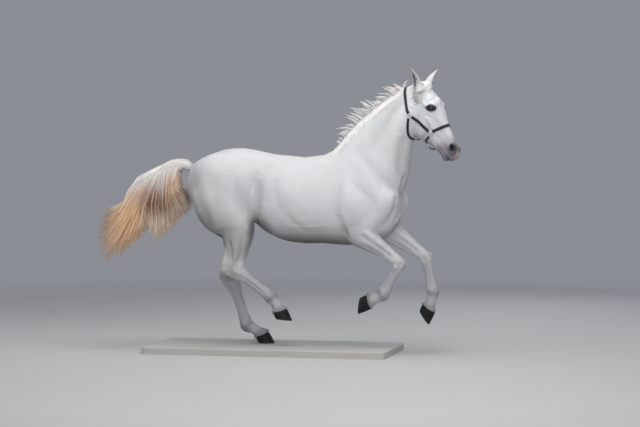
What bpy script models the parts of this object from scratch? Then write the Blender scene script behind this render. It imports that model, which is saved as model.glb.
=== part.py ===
"""A life-size grey horse in a right-lead canter, wearing a headcollar, on a flat display base.

The horse faces +X with its left side at +Y.  Its left hind hoof carries it on the base and the
other three hooves are in the air.  The body is built from lofted and rounded forms, fused into one
flesh mesh, and then parted into named pieces by thin slabs.
Sizes are metres.  Heights are measured from the ground, which is the top of the base.
"""

import math
from collections import namedtuple

import bmesh
import bpy
from mathutils import Euler, Matrix, Vector
from mathutils.bvhtree import BVHTree

# ---------------------------------------------------------------- driving dimensions

BASE_SIZE = Vector((1.80, 0.80, 0.05))  # the display base: length, width, thickness
GROUND = BASE_SIZE.z  # height of the ground the horse canters on
GAP = 0.0003  # clearance between pieces that touch
PART_CUT = 0.0004  # thickness of the cuts that part the body

FLESH_VOXEL = 0.0085
FLESH_TRIANGLES = 3020

EYE_RADIUS = 0.0215
STRAP_WIDTH = 0.021
STRAP_THICKNESS = 0.0045

RIGHT, LEFT = -1, 1
SIDES = {RIGHT: "right", LEFT: "left"}


def at(x, y, z):
    """A point given by its height over the ground."""
    return Vector((x, y, z + GROUND))


# The head hangs from the poll, turned to the right of the body and carried with the nose forward.
POLL = at(1.166, -0.045, 1.925)
HEAD_TURN = math.radians(-20)
HEAD_PITCH = math.radians(25)
HEAD_TILT = math.radians(3)

# Joints of each leg from the top down, and the pitch of the sole from heel to toe.
Leg = namedtuple("Leg", "side joints sole_pitch")
FORE_LEGS = {
    RIGHT: Leg(
        RIGHT,
        [
            at(0.668, -0.162, 0.828),
            at(0.962, -0.130, 0.612),
            at(0.840, -0.122, 0.388),
            at(0.736, -0.120, 0.341),
        ],
        math.radians(-98),
    ),
    LEFT: Leg(
        LEFT,
        [at(0.808, 0.165, 0.850), at(1.112, 0.130, 0.640), at(1.165, 0.124, 0.400), at(1.128, 0.122, 0.282)],
        math.radians(-57),
    ),
}
HIND_LEGS = {
    RIGHT: Leg(
        RIGHT,
        [
            at(-0.457, -0.145, 1.168),
            at(-0.190, -0.165, 0.905),
            at(-0.245, -0.138, 0.555),
            at(0.012, -0.128, 0.366),
            at(0.072, -0.125, 0.262),
        ],
        math.radians(-6),
    ),
    LEFT: Leg(
        LEFT,
        [
            at(-0.457, 0.145, 1.168),
            at(-0.262, 0.165, 0.815),
            at(-0.352, 0.138, 0.462),
            at(-0.240, 0.128, 0.136),
            at(-0.128, 0.124, 0.0621),
        ],
        0.0,
    ),
}
POINT_OF_HOCK = {RIGHT: at(-0.352, -0.140, 0.555), LEFT: at(-0.440, 0.140, 0.484)}

# ---------------------------------------------------------------- mesh tools

Ring = namedtuple("Ring", "centre up side taper power")
RING_POINTS = 28


def clear_scene():
    for old in list(bpy.data.objects):
        bpy.data.objects.remove(old)


def material(name, colour, roughness, metallic=0.0):
    made = bpy.data.materials.get(name) or bpy.data.materials.new(name)
    made.use_nodes = True
    shader = made.node_tree.nodes["Principled BSDF"]
    shader.inputs["Base Color"].default_value = (*colour, 1.0)
    shader.inputs["Roughness"].default_value = roughness
    shader.inputs["Metallic"].default_value = metallic
    return made


def new_object(name, bm, surface=None):
    mesh = bpy.data.meshes.new(name)
    bm.to_mesh(mesh)
    bm.free()
    made = bpy.data.objects.new(name, mesh)
    bpy.context.scene.collection.objects.link(made)
    if surface:
        mesh.materials.append(surface)
    return made


def helper(name, bm):
    """An object that shapes others and is no piece itself."""
    made = new_object(name, bm)
    made.hide_render = True
    made.display_type = "WIRE"
    return made


def smooth_between(before, start, end, after, share):
    """Catmull-Rom interpolation, which works on numbers and on vectors."""
    a = 2 * start
    b = end - before
    c = 2 * before - 5 * start + 4 * end - after
    d = 3 * start - before - 3 * end + after
    return 0.5 * (a + b * share + c * share**2 + d * share**3)


def refine_rings(rings, steps):
    """The given rings with smoothly interpolated ones between them."""
    finer = []
    last = len(rings) - 1
    for i in range(last):
        four = [rings[max(i - 1, 0)], rings[i], rings[i + 1], rings[min(i + 2, last)]]
        for step in range(steps):
            share = step / steps
            finer.append(Ring(*(smooth_between(*(r[k] for r in four), share) for k in range(5))))
    finer.append(rings[-1])
    return finer


def signed_power(value, power):
    return math.copysign(abs(value) ** power, value)


def ring_point(ring, angle):
    """A point of a superellipse that is narrower at its top by the ring's taper."""
    along = signed_power(math.sin(angle), 2 / ring.power)
    across = signed_power(math.cos(angle), 2 / ring.power) * (1 - ring.taper * along)
    return ring.centre + ring.up * along + ring.side * across


def loft(bm, rings, steps, points):
    """A closed skin over the rings, added to bm."""
    loops = []
    for ring in refine_rings(rings, steps):
        made = bmesh.ops.create_circle(bm, cap_ends=False, radius=1.0, segments=points)
        for i, vertex in enumerate(made["verts"]):
            vertex.co = ring_point(ring, 2 * math.pi * i / points)
        loops.append(made["verts"])
    for before, after in zip(loops, loops[1:]):
        edges = [e for loop in (before, after) for e in ring_edges(loop)]
        bmesh.ops.bridge_loops(bm, edges=edges)
    for end in (loops[0], loops[-1]):
        bmesh.ops.contextual_create(bm, geom=ring_edges(end))


def ring_edges(vertices):
    chosen = set(vertices)
    return list({e for v in vertices for e in v.link_edges if e.other_vert(v) in chosen})


def lofted_form(rings, steps=4, points=RING_POINTS):
    bm = bmesh.new()
    loft(bm, rings, steps, points)
    bmesh.ops.recalc_face_normals(bm, faces=bm.faces)
    return new_object("form", bm)


def ellipsoid(centre, radii, turn=Euler((0, 0, 0)), around=24):
    bm = bmesh.new()
    place = Matrix.Translation(centre) @ turn.to_matrix().to_4x4() @ Matrix.Diagonal((*radii, 1))
    bmesh.ops.create_uvsphere(bm, u_segments=around, v_segments=around // 3 * 2, radius=1.0, matrix=place)
    return new_object("form", bm)


def capsule(start, end, start_radius, end_radius, flat=1.0, flat_axis=Vector((0, 1, 0))):
    """A tapered bar with round ends.  flat scales its thickness along flat_axis."""
    along = (end - start).normalized()
    side = (flat_axis - along * flat_axis.dot(along)).normalized()
    up = side.cross(along)
    rings = []
    halves = ((start, start_radius, (-85, -55, -25, 0)), (end, end_radius, (0, 25, 55, 85)))
    for centre, radius, turns in halves:
        for degrees in turns:
            angle = math.radians(degrees)
            width = radius * math.cos(angle)
            place = centre + along * radius * math.sin(angle)
            rings.append(Ring(place, up * width, side * width * flat, 0.0, 2.0))
    return lofted_form(rings, steps=1)


# ---------------------------------------------------------------- trunk and neck

Slice = namedtuple("Slice", "x top bottom half_width widest taper power")
TRUNK = [
    Slice(-0.645, 1.300, 1.180, 0.055, 1.235, 0.0, 2.0),
    Slice(-0.605, 1.342, 1.060, 0.125, 1.200, 0.0, 2.0),
    Slice(-0.520, 1.386, 0.985, 0.195, 1.190, 0.0, 2.0),
    Slice(-0.400, 1.430, 0.945, 0.240, 1.190, 0.04, 2.1),
    Slice(-0.280, 1.447, 0.930, 0.258, 1.195, 0.06, 2.1),
    Slice(-0.160, 1.437, 0.905, 0.258, 1.180, 0.06, 2.1),
    Slice(-0.040, 1.411, 0.820, 0.258, 1.120, 0.08, 2.1),
    Slice(0.100, 1.390, 0.762, 0.276, 1.080, 0.10, 2.1),
    Slice(0.250, 1.383, 0.748, 0.288, 1.065, 0.12, 2.1),
    Slice(0.380, 1.398, 0.748, 0.282, 1.075, 0.18, 2.0),
    Slice(0.490, 1.454, 0.755, 0.264, 1.080, 0.32, 1.9),
    Slice(0.600, 1.474, 0.768, 0.250, 1.070, 0.30, 1.9),
    Slice(0.720, 1.430, 0.788, 0.238, 1.060, 0.16, 2.0),
    Slice(0.830, 1.360, 0.820, 0.215, 1.050, 0.08, 2.0),
    Slice(0.905, 1.260, 0.880, 0.170, 1.045, 0.05, 2.0),
    Slice(0.945, 1.170, 0.950, 0.110, 1.045, 0.0, 2.0),
]


def trunk_forms():
    rings = []
    for s in TRUNK:
        middle = (s.top + s.bottom) / 2
        lift = (s.widest - middle) * 0.5
        rings.append(
            Ring(
                at(s.x, 0, middle + lift),
                Vector((0, 0, (s.top - s.bottom) / 2 - lift * 0.2)),
                Vector((0, s.half_width, 0)),
                s.taper,
                s.power,
            )
        )
    forms = [lofted_form(rings, steps=3)]
    forms.append(ellipsoid(at(0.865, 0, 1.090), (0.080, 0.110, 0.140)))
    for side in SIDES:
        forms += [
            ellipsoid(at(0.868, 0.092 * side, 1.045), (0.088, 0.092, 0.145)),  # breast
            ellipsoid(at(-0.180, 0.190 * side, 1.318), (0.080, 0.040, 0.045), Euler((0, 0.5, 0))),  # hip
            ellipsoid(at(-0.380, 0.125 * side, 1.250), (0.210, 0.138, 0.160)),  # rump
            # buttock
            ellipsoid(at(-0.550, 0.092 * side, 1.150), (0.085, 0.082, 0.160), Euler((0, -0.15, 0))),
        ]
    return forms


# Each neck section runs from a point of the crest to the point of the throat line below it.
NeckSlice = namedtuple("NeckSlice", "crest throat half_width y")
NECK = [
    NeckSlice((0.340, 1.330), (0.820, 0.930), 0.200, 0.0),
    NeckSlice((0.470, 1.462), (0.930, 1.045), 0.190, 0.0),
    NeckSlice((0.560, 1.566), (0.974, 1.150), 0.160, 0.0),
    NeckSlice((0.640, 1.650), (0.996, 1.215), 0.134, 0.0),
    NeckSlice((0.730, 1.728), (1.012, 1.290), 0.112, -0.004),
    NeckSlice((0.820, 1.794), (1.024, 1.370), 0.096, -0.010),
    NeckSlice((0.910, 1.848), (1.034, 1.440), 0.085, -0.018),
    NeckSlice((0.990, 1.884), (1.045, 1.505), 0.077, -0.026),
    NeckSlice((1.060, 1.906), (1.075, 1.580), 0.072, -0.034),
    NeckSlice((1.115, 1.912), (1.125, 1.680), 0.067, -0.040),
]


def neck_forms():
    rings = []
    for s in NECK:
        crest, throat = at(s.crest[0], s.y, s.crest[1]), at(s.throat[0], s.y, s.throat[1])
        half_width = Vector((0, s.half_width, 0))
        rings.append(Ring((crest + throat) / 2, (crest - throat) / 2, half_width, 0.42, 2.0))
    return [lofted_form(rings, steps=3)]


# ---------------------------------------------------------------- head

HEAD_FRAME = (
    Matrix.Translation(POLL)
    @ Matrix.Rotation(HEAD_TURN, 4, "Z")
    @ Matrix.Rotation(-HEAD_PITCH, 4, "Y")
    @ Matrix.Rotation(HEAD_TILT, 4, "X")
)


def on_head(length, front, side):
    """A point of the head: its distance down from the poll, in front of the face line and to the left."""
    return HEAD_FRAME @ Vector((front, side, -length))


HeadSlice = namedtuple("HeadSlice", "length face jaw half_width taper power")
HEAD = [
    HeadSlice(-0.034, -0.085, -0.165, 0.036, 0.0, 2.0),
    HeadSlice(-0.012, -0.058, -0.205, 0.058, 0.0, 2.1),
    HeadSlice(0.040, -0.030, -0.235, 0.074, -0.02, 2.2),
    HeadSlice(0.090, -0.012, -0.250, 0.082, -0.04, 2.3),
    HeadSlice(0.140, -0.002, -0.258, 0.086, -0.10, 2.6),
    HeadSlice(0.200, 0.004, -0.272, 0.086, -0.13, 2.7),
    HeadSlice(0.260, 0.002, -0.292, 0.080, -0.06, 2.5),
    HeadSlice(0.310, -0.003, -0.284, 0.073, 0.00, 2.3),
    HeadSlice(0.350, -0.006, -0.256, 0.065, 0.03, 2.3),
    HeadSlice(0.395, -0.008, -0.217, 0.056, 0.06, 2.3),
    HeadSlice(0.440, -0.010, -0.190, 0.050, 0.06, 2.3),
    HeadSlice(0.490, -0.012, -0.166, 0.048, 0.04, 2.3),
    HeadSlice(0.530, -0.018, -0.150, 0.048, 0.00, 2.2),
    HeadSlice(0.562, -0.030, -0.134, 0.044, 0.00, 2.1),
    HeadSlice(0.584, -0.048, -0.108, 0.034, 0.00, 2.0),
    HeadSlice(0.596, -0.060, -0.088, 0.018, 0.00, 2.0),
]
EYE = (0.198, -0.040, 0.0780)  # centre of the left eyeball, as length, front and side
EYE_SLANT = math.radians(27)  # the inner corner lies lower on the face than the outer one
NOSTRIL = (0.519, -0.035, 0.052)


def head_turn(about_side=0.0, about_length=0.0):
    """The head's axes, turned further in the plane of its profile and about its length."""
    turn = HEAD_FRAME.to_3x3() @ Matrix.Rotation(about_side, 3, "Y") @ Matrix.Rotation(about_length, 3, "Z")
    return turn.to_euler()


def head_forms():
    across = HEAD_FRAME.to_3x3() @ Vector((0, 1, 0))
    rings = []
    for s in HEAD:
        face, jaw = on_head(s.length, s.face, 0), on_head(s.length, s.jaw, 0)
        rings.append(Ring((face + jaw) / 2, (face - jaw) / 2, across * s.half_width, s.taper, s.power))
    forms = [lofted_form(rings, steps=3)]
    turn = head_turn()
    for side in SIDES:
        forms += [
            # Orbit, cheek, flare of the nostril and root of the ear.
            ellipsoid(on_head(0.190, -0.046, 0.056 * side), (0.060, 0.042, 0.045), head_turn(-0.45)),
            ellipsoid(on_head(0.238, -0.185, 0.046 * side), (0.098, 0.040, 0.112), turn),
            ellipsoid(on_head(0.520, -0.042, 0.036 * side), (0.030, 0.026, 0.042), turn),
            ellipsoid(on_head(0.020, -0.082, 0.052 * side), (0.040, 0.034, 0.040), turn),
            # Facial crest, and the arch of bone from the eye back towards the ear.
            capsule(
                on_head(0.250, -0.104, 0.074 * side),
                on_head(0.385, -0.090, 0.050 * side),
                0.015,
                0.011,
            ),
            capsule(
                on_head(0.170, -0.070, 0.080 * side),
                on_head(0.080, -0.098, 0.066 * side),
                0.018,
                0.020,
            ),
        ]
    forms += [
        ellipsoid(on_head(0.566, -0.072, 0), (0.050, 0.042, 0.034), turn),  # upper lip
        ellipsoid(on_head(0.543, -0.130, 0), (0.030, 0.031, 0.036), turn),  # chin
    ]
    return forms


# ---------------------------------------------------------------- legs

# Where along its bone a section lies, how far it reaches in front and behind, half its width, and
# how much narrower its front is than its middle (below zero, its back is the narrow end).
Section = namedtuple("Section", "bone share front back half_width taper", defaults=(0.0,))
PASTERN = [
    (0.00, 0.046, 0.058, 0.042),
    (0.22, 0.043, 0.049, 0.039),
    (0.48, 0.040, 0.038, 0.035),
    (0.74, 0.044, 0.043, 0.040),
    (1.00, 0.056, 0.058, 0.050),
    (1.20, 0.062, 0.064, 0.054),
]
FORE_SECTIONS = [
    Section(0, -0.20, 0.080, 0.085, 0.056),
    Section(0, 0.02, 0.088, 0.092, 0.064),
    Section(0, 0.20, 0.086, 0.080, 0.063),
    Section(0, 0.38, 0.076, 0.062, 0.056),
    Section(0, 0.56, 0.064, 0.050, 0.047),
    Section(0, 0.76, 0.054, 0.040, 0.041),
    Section(0, 0.90, 0.052, 0.040, 0.043),
    Section(1, 0.00, 0.052, 0.048, 0.047),
    Section(1, 0.14, 0.044, 0.046, 0.042),
    Section(1, 0.30, 0.034, 0.042, 0.033),
    Section(1, 0.50, 0.031, 0.042, 0.029),
    Section(1, 0.70, 0.032, 0.045, 0.031),
    Section(1, 0.87, 0.040, 0.051, 0.038),
    *(Section(2, *row) for row in PASTERN),
]
HIND_SECTIONS = [
    Section(0, -0.10, 0.130, 0.140, 0.105),
    Section(0, 0.15, 0.150, 0.185, 0.122),
    Section(0, 0.45, 0.155, 0.215, 0.120),
    Section(0, 0.75, 0.125, 0.205, 0.108),
    Section(1, 0.00, 0.070, 0.200, 0.098, -0.10),
    Section(1, 0.15, 0.064, 0.176, 0.088, -0.15),
    Section(1, 0.30, 0.060, 0.150, 0.075, -0.20),
    Section(1, 0.45, 0.058, 0.126, 0.062, -0.30),
    Section(1, 0.60, 0.055, 0.108, 0.051, -0.45),
    Section(1, 0.78, 0.052, 0.100, 0.043, -0.60),
    Section(1, 0.90, 0.053, 0.098, 0.042, -0.50),
    Section(2, 0.02, 0.055, 0.064, 0.046),
    Section(2, 0.13, 0.050, 0.058, 0.041),
    Section(2, 0.30, 0.038, 0.050, 0.034),
    Section(2, 0.50, 0.034, 0.046, 0.030),
    Section(2, 0.70, 0.034, 0.046, 0.031),
    Section(2, 0.87, 0.041, 0.051, 0.038),
    *(Section(3, *row) for row in PASTERN),
]
JOINT_BLEND = 0.22  # the share of a bone over which sections turn towards the next bone


def bone_direction(joints, bone, share):
    """The direction down the leg, turning smoothly through each joint."""
    own = (joints[bone + 1] - joints[bone]).normalized()
    if share < JOINT_BLEND and bone > 0:
        near = (joints[bone] - joints[bone - 1]).normalized()
        weight = 0.5 * (1 - max(share, 0) / JOINT_BLEND)
    elif share > 1 - JOINT_BLEND and bone + 2 < len(joints):
        near = (joints[bone + 2] - joints[bone + 1]).normalized()
        weight = 0.5 * (1 - (1 - share) / JOINT_BLEND)
    else:
        near, weight = own, 0.0
    return own.lerp(near, weight).normalized()


def forwards_of(down):
    """The direction in front of a leg that runs down this way."""
    return Vector((-down.z, 0, down.x)).normalized()


def leg_ring(joints, section):
    down = bone_direction(joints, section.bone, section.share)
    forwards = forwards_of(down)
    point = joints[section.bone] + (joints[section.bone + 1] - joints[section.bone]) * section.share
    centre = point + forwards * (section.front - section.back) / 2
    depth = (section.front + section.back) / 2
    return Ring(centre, forwards * depth, Vector((0, section.half_width, 0)), section.taper, 2.0)


def fore_leg_forms(leg):
    joints, side = leg.joints, leg.side
    elbow = joints[0]
    shoulder = Vector((0.890 if side == LEFT else 0.870, 0.155 * side, 1.065 + GROUND))
    forms = [lofted_form([leg_ring(joints, s) for s in FORE_SECTIONS], steps=2)]
    forms += [
        # Upper arm, triceps, and the shoulder blade with its muscles.
        capsule(shoulder, elbow, 0.088, 0.076, flat=0.85),
        capsule(
            at(0.570, 0.140 * side, 1.150),
            elbow.lerp(at(0.6, 0.155 * side, 0.9), 0.3),
            0.120,
            0.078,
            flat=0.62,
        ),
        capsule(at(0.540, 0.080 * side, 1.310), shoulder, 0.060, 0.085, flat=0.8),
    ]
    return forms


def hind_leg_forms(leg):
    joints, side = leg.joints, leg.side
    hock, point = joints[2], POINT_OF_HOCK[side]
    down = (joints[3] - hock).normalized()
    plantar = hock.lerp(joints[3], 0.26) - forwards_of(down) * 0.030
    calf = joints[1].lerp(hock, 0.42) + forwards_of(hock - joints[1]) * -0.092
    thigh = joints[0].lerp(joints[1], 0.45) + Vector((-0.045, 0, 0.02))
    forms = [lofted_form([leg_ring(joints, s) for s in HIND_SECTIONS], steps=2)]
    forms += [
        capsule(point, hock, 0.027, 0.042, flat=0.8),
        capsule(calf, point, 0.024, 0.020, flat=0.8),
        capsule(point, plantar, 0.026, 0.024, flat=0.8),
        ellipsoid(thigh + Vector((0, -0.012 * side, 0)), (0.200, 0.128, 0.265), Euler((0, -0.25, 0))),
    ]
    return forms


# ---------------------------------------------------------------- fusing and parting


def taubin(made, pairs, group=""):
    """Smooths without shrinking, by pairs of a smoothing and a slightly stronger unsmoothing step."""
    for _ in range(pairs):
        for factor in (0.55, -0.57):
            step = made.modifiers.new("smooth", "SMOOTH")
            step.factor = factor
            step.iterations = 1
            step.vertex_group = group


def evaluated_copy(made, name):
    bpy.context.view_layer.update()
    graph = bpy.context.evaluated_depsgraph_get()
    mesh = bpy.data.meshes.new_from_object(made.evaluated_get(graph))
    copy = bpy.data.objects.new(name, mesh)
    bpy.context.scene.collection.objects.link(copy)
    return copy


def joined(forms, name):
    bm = bmesh.new()
    for form in forms:
        bm.from_mesh(form.data)
        bpy.data.objects.remove(form)
    return new_object(name, bm)


def fuse(forms, name, voxel, triangles):
    """One closed mesh over overlapping forms, with the creases between them softened."""
    whole = joined(forms, name)
    remesh = whole.modifiers.new("fuse", "REMESH")
    remesh.mode = "VOXEL"
    remesh.voxel_size = voxel
    fused = evaluated_copy(whole, name)
    bpy.data.objects.remove(whole)
    broad = fused.vertex_groups.new(name="broad")
    for vertex in fused.data.vertices:
        broad.add([vertex.index], breadth(vertex.co), "REPLACE")
    soften = fused.modifiers.new("soften", "SMOOTH")
    soften.factor = 0.5
    soften.iterations = 45
    soften.vertex_group = "broad"
    taubin(fused, 8)
    plain = fused.vertex_groups.new(name="plain")
    for vertex in fused.data.vertices:
        plain.add([vertex.index], plainness(vertex.co), "REPLACE")
    thin = fused.modifiers.new("thin", "DECIMATE")
    thin.vertex_group = "plain"
    thin.vertex_group_factor = 1.0
    thin.ratio = triangles / (2 * len(fused.data.polygons))
    result = evaluated_copy(fused, name)
    bpy.data.objects.remove(fused)
    return result


def plainness(point):
    """How readily the surface here gives up its points: the face keeps the most."""
    place = HEAD_FRAME.inverted() @ point
    on_face = -0.66 < place.z < 0.06 and place.x > -0.20 and abs(place.y) < 0.14
    if on_face:
        return 0.42
    return 0.62 if point.z < GROUND + 0.80 else 1.0


def breadth(point):
    """How broad the body is here, from 0 on the legs and head to 1 on the trunk."""
    height = point.z - GROUND
    over_legs = min(max((height - 0.80) / 0.20, 0), 1)
    behind_head = min(max((1.02 - point.x) / 0.15, 0), 1)
    return over_legs * behind_head


# ---------------------------------------------------------------- hooves, ears and eyes

CORONET_SLOPE = math.radians(22)  # the coronet rises towards the toe, against the sole


def sole_frame(leg):
    """The directions forwards along the sole and up through the hoof."""
    pitch = leg.sole_pitch
    return Vector((math.cos(pitch), 0, math.sin(pitch))), Vector((-math.sin(pitch), 0, math.cos(pitch)))


def coronet_normal(leg):
    forwards, up = sole_frame(leg)
    return up * math.cos(CORONET_SLOPE) - forwards * math.sin(CORONET_SLOPE)


# Each level of the hoof wall, from the coronet (0) to the sole (1): how far the toe and the heel
# reach from its centre, and half its width.
HOOF_LEVELS = [
    (0.00, 0.056, 0.052, 0.050),
    (0.12, 0.060, 0.053, 0.053),
    (0.55, 0.064, 0.053, 0.056),
    (1.00, 0.069, 0.054, 0.060),
]
HOOF_HEIGHT = 0.064  # from the middle of the coronet to the sole
HOOF_ADVANCE = 0.036  # how far the sole's middle lies in front of the coronet's
HOOF_SCALE = {"fore": 1.0, "hind": 0.96}


def hoof(name, leg, scale, surface):
    forwards, up = sole_frame(leg)
    coronet = leg.joints[-1] - coronet_normal(leg) * (PART_CUT / 2 + 0.0001)
    rings = []
    for level, toe, heel, half_width in HOOF_LEVELS:
        slope = CORONET_SLOPE * (1 - level)
        along = forwards * math.cos(slope) + up * math.sin(slope)
        centre = coronet + forwards * HOOF_ADVANCE * level * scale - up * HOOF_HEIGHT * level * scale
        centre += along * (toe - heel) / 2 * scale
        reach = along * (toe + heel) / 2 * scale
        rings.append(Ring(centre, reach, Vector((0, half_width * scale, 0)), 0.12, 2.3))
    made = lofted_form(rings, steps=1, points=18)
    made.name = name
    made.data.materials.append(surface)
    return made


# Root and tip of each ear on the head, and the direction in which its opening faces.
Ear = namedtuple("Ear", "root tip facing")
EARS = {
    RIGHT: Ear((0.022, -0.094, -0.062), (-0.128, -0.052, -0.104), (0.10, 0.42, -1.0)),
    LEFT: Ear((0.022, -0.074, 0.062), (-0.076, 0.026, 0.132), (0.30, 1.0, 0.35)),
}
EAR_WIDTH = 0.062
EAR_DEPTH = 0.046
EAR_WALL = 0.0042


def ear_half_width(share):
    """Narrow at the root, widest a third of the way up and pointed at the tip."""
    belly = 0.58 + 0.42 * math.sin(math.pi * min(share / 0.66, 1))
    return EAR_WIDTH / 2 * belly * (1 - share**2.6) ** 0.72


def ear(side, surface):
    spec = EARS[side]
    root, tip = on_head(*spec.root), on_head(*spec.tip)
    along = (tip - root).normalized()
    facing = HEAD_FRAME.to_3x3() @ Vector((spec.facing[1], spec.facing[2], -spec.facing[0]))
    facing = (facing - along * facing.dot(along)).normalized()
    across = along.cross(facing)
    outer, inner = [], []
    for share in (0.0, 0.14, 0.30, 0.46, 0.62, 0.77, 0.89, 0.975):
        half = ear_half_width(share)
        deep = half * EAR_DEPTH / EAR_WIDTH
        bend = facing * 0.010 * math.sin(math.pi * share) * -1
        centre = root.lerp(tip, share) + bend
        outer.append(Ring(centre, facing * deep, across * half, 0.15, 2.0))
        if 0.1 < share < 0.95:
            hollow = max(half - EAR_WALL, 0.0012)
            inner.append(Ring(centre + facing * deep * 0.75, facing * deep, across * hollow, 0.0, 2.0))
    made = lofted_form(outer, steps=1, points=12)
    cutter = lofted_form(inner, steps=1, points=8)
    carve(made, cutter)
    made.name = f"ear_{SIDES[side]}"
    made.data.materials.append(surface)
    return made


def eyeball(side, surface):
    made = ellipsoid(on_head(EYE[0], EYE[1], EYE[2] * side), Vector((1, 1, 1)) * EYE_RADIUS, around=12)
    made.name = f"eye_{SIDES[side]}"
    made.data.materials.append(surface)
    return made


def eye_socket(side):
    """The ball's room and the almond-shaped window between the lids."""
    centre = on_head(EYE[0], EYE[1], EYE[2] * side)
    ball = ellipsoid(centre, Vector((1, 1, 1)) * (EYE_RADIUS + GAP), around=12)
    outwards = (HEAD_FRAME.to_3x3() @ Vector((0, side, 0))).normalized()
    wide = HEAD_FRAME.to_3x3() @ Vector((math.cos(EYE_SLANT), 0, -math.sin(EYE_SLANT)))
    tall = HEAD_FRAME.to_3x3() @ Vector((math.sin(EYE_SLANT), 0, math.cos(EYE_SLANT)))
    rings = []
    for depth, size in ((0.008, 0.80), (0.020, 0.95), (0.034, 1.25), (0.060, 2.4)):
        rings.append(Ring(centre + outwards * depth, tall * 0.0155 * size, wide * 0.0235 * size, 0.0, 1.75))
    window = lofted_form(rings, steps=1, points=16)
    return [ball, window]


def nostril_hollow(side):
    return ellipsoid(
        on_head(NOSTRIL[0], NOSTRIL[1], (NOSTRIL[2] + 0.004) * side),
        (0.013, 0.016, 0.024),
        head_turn(-0.25, 0.35 * side),
        around=12,
    )


# ---------------------------------------------------------------- hair


def lock(path, half_width, thickness, thin_axis, root_share=0.45):
    """A flattened tapering lock of hair along a smooth path."""
    count = 9
    points = [curve_point(path, i / (count - 1)) for i in range(count)]
    rings = []
    for i, centre in enumerate(points):
        share = i / (count - 1)
        along = (points[min(i + 1, count - 1)] - points[max(i - 1, 0)]).normalized()
        thin = (thin_axis - along * thin_axis.dot(along)).normalized()
        size = (root_share + (1 - root_share) * min(share * 2.5, 1)) * (1 - share**4)
        size = max(size, 0.14)
        wide = thin.cross(along) * half_width * size
        rings.append(Ring(centre, wide, thin * thickness / 2 * size, 0.0, 2.0))
    return lofted_form(rings, steps=1)


def curve_point(path, share):
    """A point of the smooth curve through the path's points."""
    last = len(path) - 1
    place = min(share, 0.99999) * last
    i = int(place)
    four = [path[max(i - 1, 0)], path[i], path[i + 1], path[min(i + 2, last)]]
    return smooth_between(*four, place - i)


DOCK = [(-0.595, 1.290), (-0.680, 1.318), (-0.765, 1.318), (-0.850, 1.292)]  # x and height, root to tip
# How far down the dock a lock starts, the places of its middle and its tip as x and height, and how far
# its lower half hangs inside the straight line.
TAIL_LOCKS = [
    (0.14, (-0.752, 1.150), (-0.665, 0.950), 0.01),
    (0.26, (-0.785, 1.110), (-0.745, 0.865), 0.01),
    (0.40, (-0.830, 1.090), (-0.845, 0.770), 0.01),
    (0.52, (-0.885, 1.080), (-0.925, 0.715), 0.01),
    (0.62, (-0.940, 1.070), (-0.985, 0.830), 0.01),
    (0.72, (-0.985, 1.055), (-1.100, 0.695), 0.01),
    (0.82, (-1.015, 1.045), (-1.195, 0.625), 0.01),
    (0.90, (-1.040, 1.055), (-1.290, 0.575), 0.01),
    (0.96, (-1.055, 1.075), (-1.325, 0.680), 0.02),
    (1.00, (-1.065, 1.105), (-1.360, 0.780), 0.04),
    (1.00, (-1.070, 1.140), (-1.370, 0.865), 0.06),
    (1.00, (-1.068, 1.175), (-1.345, 0.935), 0.09),
]
TAIL_SPREAD = 0.046  # sideways spacing of the locks


def tail_forms():
    dock = [at(x, 0, z) for x, z in DOCK]
    forms = [lofted_form([ring_along(dock, i / 6, 0.040 - 0.012 * i / 6) for i in range(7)], steps=1)]
    for number, (share, middle, tip, sag) in enumerate(TAIL_LOCKS):
        for row in (-1, 0, 1):
            drift = TAIL_SPREAD * row
            wave = 0.012 * math.sin(number * 2.4 + row)
            start = curve_point(dock, share)
            leave = curve_point(dock, min(share + 0.05, 1)) - curve_point(dock, min(share, 0.95))
            leave = leave.normalized()
            second = start + leave * 0.10 + Vector((0, drift * 0.35, -0.020))
            mid = at(middle[0], drift * 0.85 + wave, middle[1])
            end = at(tip[0] + 0.020 * abs(row), drift * 1.15 - wave, tip[1] + 0.045 * abs(row))
            inside = Vector((mid.z - end.z, 0, end.x - mid.x)).normalized()
            lower = mid.lerp(end, 0.5) + inside * sag + Vector((0, wave, 0))
            forms.append(lock([start, second, mid, lower, end], 0.050, 0.056, Vector((0, 1, 0))))
    return forms


def ring_along(path, share, radius):
    centre = curve_point(path, share)
    along = (curve_point(path, min(share + 0.05, 1)) - curve_point(path, max(share - 0.05, 0))).normalized()
    side = Vector((0, 1, 0))
    return Ring(centre, side.cross(along) * radius, side * radius, 0.0, 2.0)


# The line along the top of the neck that the mane grows from, as x and height.
CREST = [
    (0.470, 1.452),
    (0.560, 1.556),
    (0.640, 1.640),
    (0.730, 1.718),
    (0.820, 1.784),
    (0.910, 1.838),
    (0.966, 1.865),
]
MANE_LOCKS = 12


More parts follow.
